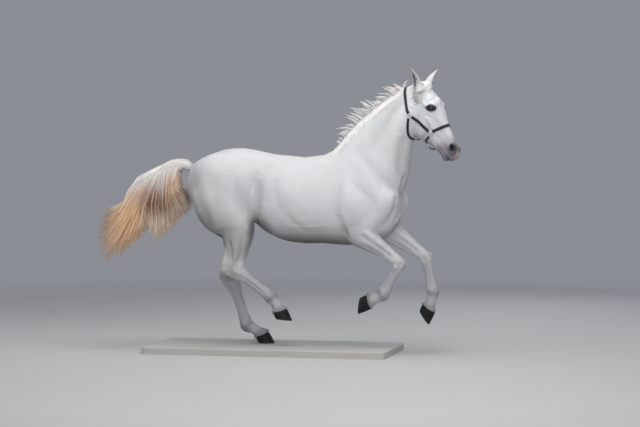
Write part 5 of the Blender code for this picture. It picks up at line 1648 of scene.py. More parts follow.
def forelock_hair(count, width, pale, body, seed=31):
    """Hair from the poll, swept over the forehead to the right and back under the right ear."""
    random = np.random.default_rng(seed)
    thin = np.array(HEAD_AXES @ Vector((0.55, -0.80, 0.30)))
    controls, roots = [], []
    for _ in range(count):
        place = random.random()
        lock = (round(place * 7) / 7) * 0.6 + place * 0.4
        side = 0.036 - 0.070 * place
        length = 0.55 + 0.45 * random.random() ** 0.6
        lift = 0.002 + 0.006 * random.random()
        rows = [
            (-0.004, -0.108, side),
            (-0.030 + 0.10 * abs(side), -0.070, side),
            (0.004 + 0.035 * lock, -0.022 - 0.20 * abs(side) + lift, side * 0.6 - 0.006),
            (0.028 + 0.058 * lock, -0.028 - 0.010 * lock + lift, -0.040),
            (0.040 + 0.076 * lock, -0.080 + 0.012 * math.sin(lock * 21), -0.080),
            (0.050 + 0.078 * lock, -0.140 + 0.016 * math.sin(lock * 17), -0.094),
        ]
        points = [on_head(*row) + Vector(random.normal(0, 0.0010 + 0.0006 * k, 3)) for k, row in enumerate(rows)]
        points[5] = points[4].lerp(points[5], (length - 0.55) / 0.45)
        controls.append([tuple(p) for p in points])
        roots.append((0.5 - side * 6, 0.5 + random.uniform(-0.1, 0.1)))
    paths = smooth_paths(np.array(controls), 8)
    lifted_clear(paths, body, 0.0010)
    tints = np.tile(np.array(pale), (count, 1)) * (0.90 + 0.12 * random.random((count, 1)))
    widths = width * (0.5 + 0.8 * random.random(count))
    outwards = np.tile(thin, (count, 1))
    atlas = np.clip(np.array(roots), 0.02, 0.98)
    return strands("forelock_hair", paths, widths, widths * 0.25, outwards, tints, atlas, root=0.7, tip_power=2.4)


def lifted_clear(paths, body, clearance):
    """Moves points of strands that lie under the skin out onto it, past the first level."""
    for path in paths:
        for k in range(2, len(path)):
            point = Vector(path[k])
            spot, normal, _, gap = body.find_nearest(point)
            if (point - spot).dot(normal) < clearance and gap < 0.06:
                path[k] = spot + normal * (clearance + 0.0006 * (k % 3))


# Unwraps of the body: which part a point belongs to, and its place round and along that part.
PARTS = ("trunk", "neck", "head", "forelegs", "hindlegs")
ON_TRUNK, ON_NECK, ON_HEAD, ON_FORELEGS, ON_HINDLEGS = range(len(PARTS))
PARTS_IN_HALVES = ("trunk", "head")  # each has a right and a left piece of coat


def part_of(points):
    """The number of the part that each point belongs to."""
    down, _ = down_the_legs(points)
    part = np.zeros(len(points), int)
    neck = (points[:, 0] * 0.50 + (points[:, 2] - GROUND) * 0.86) > (0.755 * 0.50 + 1.275 * 0.86)
    part[neck & (points[:, 0] > 0.40)] = ON_NECK
    ahead = (points[:, 0] - 1.068) * 0.985 - (points[:, 1] + 0.02) * 0.16
    head = ahead - (points[:, 2] - GROUND - 1.72) * 0.05 > 0
    part[head & (points[:, 2] > GROUND + 1.2)] = ON_HEAD
    legs = (points[:, 2] < GROUND + 0.80) & (down > 0.3)
    part[legs & (points[:, 0] > 0.30)] = ON_FORELEGS
    part[legs & (points[:, 0] <= 0.30)] = ON_HINDLEGS
    return part


def all_forwards(ways):
    """The direction in front of each of many bones."""
    return np.stack([-ways[:, 2], np.zeros(len(ways)), ways[:, 0]], axis=1)


def turn_round_leg(points, down, leg):
    """The angle of each point round a leg, from the leg's front."""
    joints = np.array(leg.joints)
    base = np.clip(down, 0, 2.999).astype(int)
    bone = np.minimum(base + len(joints) - 4, len(joints) - 2)
    start, end = joints[bone], joints[bone + 1]
    way = (end - start) / np.linalg.norm(end - start, axis=1, keepdims=True)
    reach = points - blended(start, np.clip(down, 0, 3) - base, end)
    return np.arctan2(reach[:, 1], (reach * all_forwards(way)).sum(1))


def unwrapped(points, part):
    """Places in the unit square: round each part, and along it."""
    places = np.zeros((len(points), 2))
    height = points[:, 2] - GROUND
    for number in range(len(PARTS)):
        mine = part == number
        if number == ON_TRUNK:
            round_it = np.arctan2(points[:, 1], height - 1.10)
            along = (points[:, 0] + 0.68) / 1.72
        elif number == ON_NECK:
            round_it = np.arctan2(points[:, 1], 0.75 * (height - 1.50) - 0.66 * (points[:, 0] - 0.86))
            along = (0.66 * (height - 1.50) + 0.75 * (points[:, 0] - 0.86) + 0.45) / 0.9
        elif number == ON_HEAD:
            place = on_head_array(points)
            round_it = np.arctan2(place[:, 2], place[:, 1] + 0.13)
            along = (place[:, 0] + 0.16) / 0.80
        else:
            legs = FORE_LEGS if number == ON_FORELEGS else HIND_LEGS
            left = points[:, 1] > 0
            down, _ = down_the_legs(points)
            turns = {side: turn_round_leg(points, down, leg) for side, leg in legs.items()}
            round_it = np.where(left, turns[LEFT], turns[RIGHT])
            along = down / 6 + np.where(left, 0.5, 0)
        places[mine, 0] = np.clip(0.5 + round_it[mine] / (2 * math.pi) * 0.97, 0.01, 0.99)
        places[mine, 1] = np.clip(along[mine], 0.01, 0.99)
    return places


def lie_of(points, normals):
    """The direction in which the coat lies."""
    down, legs = down_the_legs(points)
    lie = np.tile(np.array((-1.0, 0.0, -0.45)), (len(points), 1))
    lie = blended(lie, faded(points[:, 0] * 0.5 + points[:, 2] * 0.86, 1.42, 1.60), (-0.75, 0.0, -0.75))
    lie = blended(lie, faded(down, 0.15, 0.7), legs)
    lie = blended(lie, faded(points[:, 0], 1.05, 1.12), HEAD_AXES @ Vector((0.0, 0, -1)))
    lie -= normals * (lie * normals).sum(1, keepdims=True)
    return lie / (np.linalg.norm(lie, axis=1, keepdims=True) + 1e-9)


def scattered(made, count, density, random):
    """Random points of a surface, more where density is high, with the surface's direction there."""
    mesh = made.data
    mesh.calc_loop_triangles()
    triangles = np.empty(len(mesh.loop_triangles) * 3, int)
    mesh.loop_triangles.foreach_get("vertices", triangles)
    triangles = triangles.reshape(-1, 3)
    points, normals = places_of(mesh), vertex_normals(mesh)
    corners = points[triangles]
    middle = corners.mean(1)
    cross = np.cross(corners[:, 1] - corners[:, 0], corners[:, 2] - corners[:, 0])
    area = np.linalg.norm(cross, axis=1) / 2
    weight = area * density(middle, normals[triangles].mean(1))
    chosen = random.choice(len(triangles), count, p=weight / weight.sum())
    a, b = random.random((2, count))
    flip = a + b > 1
    a[flip], b[flip] = 1 - a[flip], 1 - b[flip]
    shares = np.stack([1 - a - b, a, b], axis=1)[:, :, None]
    spots = (corners[chosen] * shares).sum(1)
    ways = (normals[triangles[chosen]] * shares).sum(1)
    return spots, ways / np.linalg.norm(ways, axis=1, keepdims=True)


def tuft_density(points, normals):
    """More tufts on the head, below the body and down the legs, most of all at the fetlocks."""
    down, _ = down_the_legs(points)
    place = on_head_array(points)
    density = np.full(len(points), 0.5)
    head = faded(points[:, 0], 1.02, 1.10)
    density += 9.0 * head
    density += 3.0 * faded(-normals[:, 2], 0.3, 0.9)
    density += 5.0 * faded(down, 0.8, 1.4)
    density += 10.0 * np.exp(-(((down - 2.1) / 0.25) ** 2)) * (down > 1.6)
    muzzle = faded(place[:, 0], 0.47, 0.52) * head
    density *= 1 - 0.65 * muzzle
    return density * keep_clear(points)


def keep_clear(points):
    """0 at the lids and the nostrils, and 1 elsewhere."""
    clear = np.ones(len(points))
    for side in SIDES:
        centre, outwards, wide, tall = eye_axes(side)
        reach = points - np.array(centre)
        a, b, _ = (reach @ np.array(axis) for axis in (wide, tall, outwards))
        clear[(lid_size(a, b) < 2.0) & (np.linalg.norm(reach, axis=1) < 0.06)] = 0
        gap = np.linalg.norm(points - np.array(on_head(*NOSTRIL[:2], 0.044 * side)), axis=1)
        clear[gap < 0.038] = 0
    return clear


def coat_tufts(body, count, length, coat, legs, seed=5):
    """Short flat tufts over the skin: a piece for each part of the body, or two where it is in halves."""
    random = np.random.default_rng(seed)
    points, normals = scattered(body, count, tuft_density, random)
    down, _ = down_the_legs(points)
    place = on_head_array(points)
    lie = lie_of(points, normals)
    lie += np.cross(normals, lie) * random.normal(0, 0.16, (len(points), 1))
    head = faded(points[:, 0], 1.02, 1.10)
    muzzle = faded(place[:, 0], 0.40, 0.50) * head
    size = length * (1 - 0.50 * head) * (1 - 0.35 * muzzle) * (1 - 0.30 * faded(down, 0.9, 1.5))
    fetlock = np.exp(-(((down - 2.12) / 0.16) ** 2)) * (down > 1.6) * faded(-lie_front(points, normals), 0.2, 0.8)
    below = faded(-normals[:, 2], 0.3, 0.9) * (1 - head) * (down < 0.8)
    size = size * (1 + 1.3 * fetlock + 0.35 * below) * (0.75 + 0.5 * random.random(len(points)))
    rise = 0.0003 + 0.0003 * random.random(len(points)) + 0.0035 * fetlock + 0.0010 * below
    rise *= 1 - 0.45 * head
    size, rise = size[:, None], rise[:, None]
    paths = np.stack(
        [
            points - normals * 0.0006,
            points + lie * size * 0.35 + normals * rise * 0.75,
            points + lie * size * 0.72 + normals * rise * 0.95,
            points + lie * size - normals * (0.0004 - rise * 0.7),
        ],
        axis=1,
    )
    tints = coat_tints(points, coat, legs) * (0.99 + 0.06 * random.random((len(points), 1)))
    widths = (0.0013 + 0.0009 * random.random(len(points))) * (1 - 0.35 * head)
    part = part_of(points)
    atlas = unwrapped(points, part)
    made = []
    is_left = np.where(part == ON_HEAD, place[:, 2], points[:, 1]) > 0
    halves = {"_right": ~is_left, "_left": is_left}
    for number, name in enumerate(PARTS):
        for ending, half in (halves if name in PARTS_IN_HALVES else {"": True}).items():
            mine = (part == number) & half
            made.append(
                strands(
                    f"coat_{name}{ending}", paths[mine], widths[mine], np.full(mine.sum(), 0.00022), normals[mine],
                    tints[mine], atlas[mine], root=0.7, tip_power=2.0,
                )
            )
    return made


def lie_front(points, normals):
    """How far a leg's surface faces forwards along its own bone, from -1 behind to 1 in front."""
    _, way = down_the_legs(points)
    return (normals * all_forwards(way)).sum(1)


# ---------------------------------------------------------------- eyes and hooves

EYE_WHITE_COLOUR = (0.060, 0.045, 0.050)
IRIS_RIM_COLOUR = (0.026, 0.028, 0.048)
PUPIL_COLOUR = (0.004, 0.005, 0.012)
LASHES = 70  # on each upper lid
WHISKERS = 90
EAR_HAIRS = 520  # on each ear
CORONET_HAIRS = 420  # round each hoof
EAR_HAIR_COLOUR = (0.600, 0.580, 0.560)
CORONET_HAIR_COLOUR = (0.330, 0.320, 0.310)


def eyeball(name, side):
    """A ball with a bulging cornea, and the shades of its rim, iris and level pupil."""
    centre, outwards, wide, tall = eye_axes(side)
    axis = (outwards + HEAD_AXES @ Vector((0.16, 0, -0.04))).normalized()
    bm = bmesh.new()
    bmesh.ops.create_uvsphere(bm, u_segments=64, v_segments=40, radius=EYE_RADIUS)
    around = axis.to_track_quat("Z", "Y").to_matrix()
    for vertex in bm.verts:
        tilt = math.atan2(math.hypot(vertex.co.x, vertex.co.y), vertex.co.z)
        vertex.co *= 1 + 0.055 * max(0.0, 1 - (tilt / 0.72) ** 2)
        vertex.co = centre + around @ vertex.co
    made = new_object(name, bm)
    points = places_of(made.data) - np.array(centre)
    ahead = points @ np.array(axis)
    level = points @ np.array(wide)
    upright = points @ np.array(tall)
    tilt = np.arctan2(np.sqrt(np.maximum((points**2).sum(1) - ahead**2, 0)), ahead)
    iris = 1 - faded(tilt, 0.62, 0.74)
    fibres = 0.5 + 0.5 * np.sin(np.arctan2(upright, level) * 34)
    pupil = 1 - faded(np.hypot(level / 0.0095, upright / 0.0050), 0.85, 1.10)
    tints = np.tile(np.array(EYE_WHITE_COLOUR), (len(points), 1))
    brown = np.stack([0.014 + 0.006 * fibres, 0.009 + 0.003 * fibres, 0.008 + 0.002 * fibres], axis=1)
    tints = blended(tints, iris, brown)
    rim = np.exp(-(((tilt - 0.66) / 0.06) ** 2))[:, None]
    tints = tints * (1 - rim * 0.7) + np.array(IRIS_RIM_COLOUR) * rim * 0.7
    tints = blended(tints, pupil, PUPIL_COLOUR)
    set_tints(made.data, tints)
    made.data.shade_smooth()
    return made


def lashes(side, seed=3):
    """Paths of the lashes along the upper lid."""
    random = np.random.default_rng(seed + side)
    centre, outwards, wide, tall = eye_axes(side)
    paths = []
    for i in range(LASHES):
        turn = math.radians(18 + 146 * (i + random.random()) / LASHES)
        a = math.copysign(abs(math.cos(turn)) ** (2 / LID_POWER), math.cos(turn)) * LID_LENGTH * 1.03
        b = abs(math.sin(turn)) ** (2 / LID_POWER) * LID_HEIGHT * 1.03
        root = centre + wide * a + tall * b + outwards * (lid_depth(a, b) + 0.0004)
        reach = 0.0075 + 0.0035 * random.random()
        away = (wide * a * 18 + outwards * 0.9 + tall * 0.25).normalized()
        fall = (away - tall * 0.55).normalized()
        bend = root + away * reach * 0.5
        paths.append([tuple(p) for p in (root, bend, bend + fall * reach * 0.5)])
    return np.array(paths)


def whiskers(body, seed=9):
    """Paths of the long fine hairs of the lips and chin."""
    random = np.random.default_rng(seed)
    paths = []
    for _ in range(WHISKERS):
        length = 0.500 + 0.095 * random.random()
        front = -0.165 + 0.100 * random.random()
        side = 1 if random.random() < 0.5 else -1
        start = on_head(length, front, 0.10 * side)
        towards = (on_head(length, front + 0.02, 0) - start).normalized()
        spot, normal, _, _ = body.ray_cast(start, towards)
        if spot is None:
            continue
        reach = 0.010 + 0.014 * random.random()
        down = (HEAD_AXES @ Vector((0.1, 0, -1)) + Vector(random.normal(0, 0.25, 3))).normalized()
        mid = spot + normal * reach * 0.5
        end = mid + (normal + down).normalized() * reach * 0.6
        paths.append([tuple(p) for p in (spot - normal * 0.0008, mid, end)])
    return np.array(paths)


def ear_fringe(seed=7):
    """Paths of the hairs along the ears' edges and inside them."""
    random = np.random.default_rng(seed)
    paths = []
    for side in SIDES:
        _, _, along, facing, across = ear_axes(side)
        for _ in range(EAR_HAIRS):
            share = 0.04 + 0.90 * random.random()
            edge = 1 if random.random() < 0.5 else -1
            inner = random.random() < 0.55
            turn = edge * (random.uniform(0.55, 0.96) if inner else random.uniform(0.90, 1.0))
            root = ear_spot(side, share, turn, EAR_WALL if inner else 0.0003)
            reach = (0.014 if inner else 0.008) * (1 - 0.5 * share) * random.uniform(0.7, 1.3)
            way = along * 0.75 + facing * (0.55 if inner else 0.25) - across * edge * (0.45 if inner else -0.05)
            way = (way + Vector(random.normal(0, 0.12, 3))).normalized()
            paths.append([tuple(p) for p in (root, root + way * reach * 0.55, root + (way + along * 0.3) * reach)])
    return np.array(paths)


def coronet_fringe(seed=13):
    """Paths of the hairs that fall from the coronet over the top of each hoof."""
    random = np.random.default_rng(seed)
    paths = []
    for leg in ALL_LEGS:
        forwards, up = sole_frame(leg)
        normal = coronet_normal(leg)
        along = (forwards - normal * forwards.dot(normal)).normalized()
        for i in range(CORONET_HAIRS):
            angle = 2 * math.pi * (i + random.random()) / CORONET_HAIRS
            level = 0.0090 * random.random()
            out = along * math.cos(angle) * 0.0560 + Vector((0, math.sin(angle) * 0.0500, 0))
            way = out.normalized()
            middle = along * 0.002
            root = leg.joints[-1] + middle + out * 0.965 + normal * (0.004 + level)
            reach = 0.0120 + 0.0060 * random.random()
            bend = root + way * 0.0022 - up * reach * 0.5
            end = root + way * 0.0030 - up * reach
            paths.append([tuple(p) for p in (root - way * 0.002, bend, end)])
    return np.array(paths)


def fringe(name, paths, width, colour, body, spread, seed=1):
    """A piece of separate fine hairs."""
    random = np.random.default_rng(seed)
    count = len(paths)
    outwards = np.empty((count, 3))
    for i, path in enumerate(paths):
        outwards[i] = body.find_nearest(Vector(path[0]))[1]
    tints = np.tile(np.array(colour), (count, 1)) * (1 + spread * (random.random((count, 1)) - 0.5))
    widths = width * (0.7 + 0.6 * random.random(count))
    points = paths[:, 0]
    atlas = unwrapped(points, part_of(points))
    return strands(name, smooth_paths(paths, 5), widths, widths * 0.5, outwards, tints, atlas, root=0.8)


# Each level of the hoof wall, from the coronet (0) to the sole (1): how far the toe and the heel
# reach from its centre, and half its width.
HOOF_LEVELS = [
    (0.00, 0.0560, 0.0520, 0.0500),
    (0.05, 0.0580, 0.0526, 0.0516),
    (0.12, 0.0598, 0.0530, 0.0530),
    (0.34, 0.0618, 0.0530, 0.0545),
    (0.55, 0.0640, 0.0530, 0.0560),
    (0.80, 0.0664, 0.0535, 0.0580),
    (0.97, 0.0685, 0.0540, 0.0598),
    (1.00, 0.0676, 0.0532, 0.0590),
]
HOOF_HEIGHT = 0.064  # from the middle of the coronet to the sole
HOOF_ADVANCE = 0.036  # how far the sole's middle lies in front of the coronet's
HOOF_SCALE = {"fore": 1.0, "hind": 0.96}
HOOF_POINTS = 72
SOLE_STEPS = ((0.0075, 0.0), (0.0025, 0.0030), (0.0110, 0.0025))  # how far in and how far up each one goes
# The frog from the heels to its tip: share of its length, half its width and its thickness.
FROG_SECTIONS = (
    (0.0, 0.017, 0.0045),
    (0.25, 0.015, 0.0052),
    (0.6, 0.010, 0.0050),
    (1.0, 0.003, 0.0030),
)


def hoof_ring(leg, scale, level, toe, heel, half_width, lift=0.0):
    forwards, up = sole_frame(leg)
    coronet = leg.joints[-1]
    slope = CORONET_SLOPE * (1 - level)
    along = forwards * math.cos(slope) + up * math.sin(slope)
    centre = coronet + forwards * HOOF_ADVANCE * level * scale - up * HOOF_HEIGHT * level * scale
    centre += along * (toe - heel) / 2 * scale + up * lift
    reach = along * (toe + heel) / 2 * scale
    return Ring(centre, reach, Vector((0, half_width * scale, 0)), 0.12, 2.3)


def heel_cleft(point, leg, scale):
    """Draws the back of the hoof in between its two heels."""
    forwards, _ = sole_frame(leg)
    back = -(point - leg.joints[-1]).dot(forwards)
    sideways = (point.y - leg.joints[-1].y) / scale
    depth = 0.013 * max(0.0, 1 - abs(sideways) / 0.018) ** 1.5 * min(max((back - 0.010) / 0.02, 0), 1)
    return point + forwards * depth


def hoof(name, leg, scale):
    """The wall with its growth rings, a bevelled ground edge, and a sole with its frog."""
    bm = bmesh.new()
    rings = refine_rings([hoof_ring(leg, scale, *row) for row in HOOF_LEVELS], 4)
    loops = []
    for k, ring in enumerate(rings):
        level = k / (len(rings) - 1)
        ripple = 1 + 0.0042 * math.sin(level * 46) * (1 - level) ** 0.5 * (k > 1)
        grown = Ring(ring.centre, ring.up * ripple, ring.side * ripple, ring.taper, ring.power)

        def place(i):
            return heel_cleft(ring_point(grown, 2 * math.pi * i / HOOF_POINTS), leg, scale)

        loops.append(circle(bm, HOOF_POINTS, place))
    top, sole = bridged(bm, loops)[-2:]
    bmesh.ops.recalc_face_normals(bm, faces=bm.faces)
    bmesh.ops.inset_region(bm, faces=[top], thickness=0.006, depth=0.0)
    _, up = sole_frame(leg)
    for inwards, upwards in SOLE_STEPS:
        bmesh.ops.inset_region(bm, faces=[sole], thickness=inwards * scale, depth=0.0)
        bmesh.ops.translate(bm, verts=sole.verts[:], vec=up * upwards)
    frog(bm, leg, scale)
    made = new_object(name, bm)
    points = places_of(made.data) - np.array(leg.joints[-1])
    forwards, up = (np.array(v) for v in sole_frame(leg))
    drop = -(points @ up) + (points @ forwards) * math.tan(CORONET_SLOPE) * 0.5
    level = np.clip(drop / (HOOF_HEIGHT * scale), 0, 1.2)
    layer = made.data.attributes.new("level", "FLOAT", "POINT")
    layer.data.foreach_set("value", level.astype(np.float32))
    made.data.shade_smooth()
    return made


def frog(bm, leg, scale):
    """The wedge in the sole between the heels."""
    forwards, up = sole_frame(leg)
    base = leg.joints[-1] + forwards * HOOF_ADVANCE * scale - up * (HOOF_HEIGHT - 0.0065) * scale
    rings = []
    for share, half, thick in FROG_SECTIONS:
        centre = base + forwards * (-0.040 + 0.062 * share) * scale
        rings.append(Ring(centre, -up * thick * scale, Vector((0, half * scale, 0)), 0.0, 2.4))
    added_loft(bm, rings, 3, 16)


# ---------------------------------------------------------------- headcollar

CHEEK_FITTING = (0.177, -0.207, 0.112)
SIDE_RING = (0.357, -0.138, 0.064)
JAW_RING = (0.398, -0.225, 0.0)
STRAP_POINTS = 16
THROAT_SLACK = 0.016  # how far the throat strap hangs off the jaw


def mirrored(place, side):
    return (place[0], place[1], place[2] * side)


def around_head(places):
    """A line up the right side and down the left one through the places."""
    return [mirrored(p, RIGHT) for p in places] + [mirrored(p, LEFT) for p in reversed(places)]


def on_skin(body, near, centre):
    """The skin met on the way in to a centre from outside the point near it, and its outward direction."""
    outwards = (near - centre).normalized()
    spot, normal, _, _ = body.ray_cast(near + outwards * 0.05, -outwards)
    return spot, normal


def surface_path(places, centre, body, steps, offset, slack=0.0):
    """Points over the skin along a smooth line near it, with the skin's outward direction at each.

    The middle of the line hangs slack off the skin.
    """
    path = [on_head(*p) for p in places]
    found = []
    for i in range(steps + 1):
        spot, normal = on_skin(body, curve_point(path, i / steps), on_head(*centre))
        found.append((spot + normal * offset, normal))
    lifted = []
    for point, normal in even_out(found, 14):
        skin_spot = body.ray_cast(point + normal * 0.03, -normal)[0]
        lifted.append((point + normal * max(0, offset - (point - skin_spot).dot(normal)), normal))
    if not slack:
        return even_out(lifted, 3)
    hanging = []
    for i, (point, normal) in enumerate(lifted):
        hanging.append((point + normal * slack * math.sin(math.pi * i / steps) ** 2, normal))
    lifted = []
    for point, normal in even_out(hanging, 50):
        skin_spot = body.find_nearest(point)[0]
        lifted.append((point + normal * max(0, offset - (point - skin_spot).dot(normal)), normal))
    return even_out(lifted, 3)


def even_out(found, rounds):
    for _ in range(rounds):
        middle = []
        for before, here, after in zip(found, found[1:], found[2:]):
            point = before[0] * 0.25 + here[0] * 0.5 + after[0] * 0.25
            middle.append((point, (before[1] + here[1] * 2 + after[1]).normalized()))
        found = [found[0], *middle, found[-1]]
    return found


def strap(bm, found, width, thickness, lift=0.0):
    """A rounded band of webbing along a path, its face to the skin, with its own lengthwise map."""
    layer = bm.loops.layers.uv.verify()
    loops, lengths, travelled = [], [], 0.0
    for i, (point, normal) in enumerate(found):
        along = (found[min(i + 1, len(found) - 1)][0] - found[max(i - 1, 0)][0]).normalized()
        out = (normal - along * normal.dot(along)).normalized()
        across = along.cross(out) * width / 2
        if i:
            travelled += (point - found[i - 1][0]).length
        end = 0.93 if i in (0, len(found) - 1) else 1.0

        def spot(k):
            angle = 2 * math.pi * k / STRAP_POINTS
            a, b = signed_power(math.cos(angle), 0.35), signed_power(math.sin(angle), 0.55)
            return point + across * a * end + out * (b * thickness / 2 * end + lift)

        loops.append(circle(bm, STRAP_POINTS, spot))
        lengths.append(travelled)
    place = {}
    for ring, length in zip(loops, lengths):
        for k, vertex in enumerate(ring):
            place[vertex] = (length, width / 2 * signed_power(math.cos(2 * math.pi * k / STRAP_POINTS), 0.35))
    faces = bridged(bm, loops)
    for face in faces:
        for corner in face.loops:
            corner[layer].uv = place[corner.vert]
    bmesh.ops.recalc_face_normals(bm, faces=faces)


def torus(bm, centre, normal, radius, wire, around=40, section=12):
    """A ring of wire round a centre, across a direction."""
    turn = normal.to_track_quat("Z", "Y").to_matrix()
    start = bmesh.ops.create_circle(bm, cap_ends=False, radius=wire, segments=section)["verts"]
    for vertex in start:
        vertex.co = Vector((radius + vertex.co.x, 0, vertex.co.y))
    before = set(bm.verts) - set(start)
    turned = {"cent": (0, 0, 0), "axis": (0, 0, 1), "angle": 2 * math.pi}
    bmesh.ops.spin(bm, geom=start + ring_edges(start), steps=around, use_merge=True, **turned)
    own = [v for v in bm.verts if v not in before]
    bmesh.ops.remove_doubles(bm, verts=own, dist=0.00001)
    own = [v for v in bm.verts if v not in before]
    for vertex in own:
        vertex.co = centre + turn @ vertex.co
    bmesh.ops.recalc_face_normals(bm, faces=list({f for v in own for f in v.link_faces}))


def fitting_bar(bm, centre, normal, radius, wire):
    """The bar across a fitting's ring."""
    bar = (HEAD_AXES @ Vector((0.3, 0, 1))).normalized()
    bar = (bar - normal * bar.dot(normal)).normalized()
    side = normal.cross(bar)
    ends = (centre - bar * radius, centre + bar * radius)
    added_loft(bm, [Ring(p, side * wire * 0.8, normal * wire * 0.8, 0.0, 2.0) for p in ends], 1, 12)


def headcollar_lines(body, thickness):
    """Each strap's name, path, width and the centre that its line is drawn round."""
    offset = thickness / 2 + 0.0016
    crown = around_head(
        [(0.160, -0.204, 0.112), (0.080, -0.200, 0.098), (0.026, -0.196, 0.082), (-0.018, -0.182, 0.056)]
    )
    crown.insert(len(crown) // 2, (-0.042, -0.165, 0.0))
    nose = around_head([(0.350, -0.116, 0.066), (0.351, -0.058, 0.060), (0.352, -0.014, 0.038)])
    nose.insert(len(nose) // 2, (0.352, -0.002, 0.0))
    throat = around_head(
        [(0.194, -0.220, 0.116), (0.238, -0.252, 0.122), (0.296, -0.284, 0.116), (0.340, -0.288, 0.084)]
    )
    throat.insert(len(throat) // 2, (0.362, -0.272, 0.0))
    cheek = [(0.192, -0.196, 0.112), (0.254, -0.169, 0.086), (0.340, -0.143, 0.068)]
    chin = [(0.364, -0.156, -0.064), (0.378, -0.196, -0.050), (0.388, -0.220, -0.020)]
    slack = [(0.418, -0.226, 0.006), (0.446, -0.212, 0.024), (0.436, -0.180, 0.060), (0.368, -0.150, 0.072)]
    lines = {
        "halter_crown": (surface_path(crown, (0.07, -0.17, 0), body, 72, offset), 1.0),
        "halter_noseband": (surface_path(nose, (0.351, -0.10, 0), body, 64, offset), 1.0),
        "halter_throat": (surface_path(throat, (0.24, -0.20, 0), body, 64, offset, THROAT_SLACK), 0.85),
    }
    for side, name in SIDES.items():
        places = [mirrored(p, side) for p in cheek]
        lines[f"halter_cheek_{name}"] = (surface_path(places, (0.26, -0.17, 0), body, 36, offset), 1.0)
    lines["halter_chin_right"] = (surface_path(chin, (0.375, -0.12, 0), body, 24, offset), 0.75)
    path = [on_head(*p) for p in slack]
    spots = [curve_point(path, i / 32) for i in range(33)]
    lines["halter_chin_left"] = ([(spot, (spot - on_head(0.38, -0.12, 0)).normalized()) for spot in spots], 0.75)
    return lines


def halter_metal(body):
    """Each ring's name, centre, direction, radius and wire."""
    rings = []
    for side, name in SIDES.items():
        for label, place, radius, wire in (
            ("ring", SIDE_RING, 0.0165, 0.0030),
            ("fitting", CHEEK_FITTING, 0.0135, 0.0028),
        ):
            near = on_head(*mirrored(place, side))
            spot, normal = on_skin(body, near, on_head(place[0], place[1], 0))
            rings.append((f"halter_{label}_{name}", spot + normal * (wire + 0.0035), normal, radius, wire))
    down = HEAD_AXES @ Vector((-0.8, 0, -0.6))
    jaw = on_skin(body, on_head(*JAW_RING), on_head(0.375, -0.12, 0))[0] + down * 0.019
    rings.append(("halter_jaw_ring", jaw, HEAD_AXES @ Vector((0, 1, 0)), 0.0150, 0.0028))
    return rings


# ---------------------------------------------------------------- finishes

# Colours of wear and detail.
DUST = (0.520, 0.450, 0.370, 1.0)
HORN_RING = (0.018, 0.017, 0.019, 1.0)
HORN_SCUFF = (0.050, 0.046, 0.044, 1.0)
RUBBED_WEBBING = (0.100, 0.105, 0.130, 1.0)
STITCHES = (0.120, 0.125, 0.160, 1.0)
TARNISH = (0.330, 0.300, 0.260, 1.0)


class Value:
    """A number that varies over a surface, on which sums are written as plain arithmetic."""

    def __init__(self, finish, socket):
        self.finish = finish
        self.socket = socket

    def math(self, operation, first, second):
        made = self.finish.node("ShaderNodeMath", {"operation": operation}, {0: first, 1: second})
        return Value(self.finish, made.outputs[0])

    def __add__(self, other):
        return self.math("ADD", self, other)

    def __radd__(self, other):
        return self.math("ADD", other, self)

    def __sub__(self, other):
        return self.math("SUBTRACT", self, other)

    def __mul__(self, other):
        return self.math("MULTIPLY", self, other)


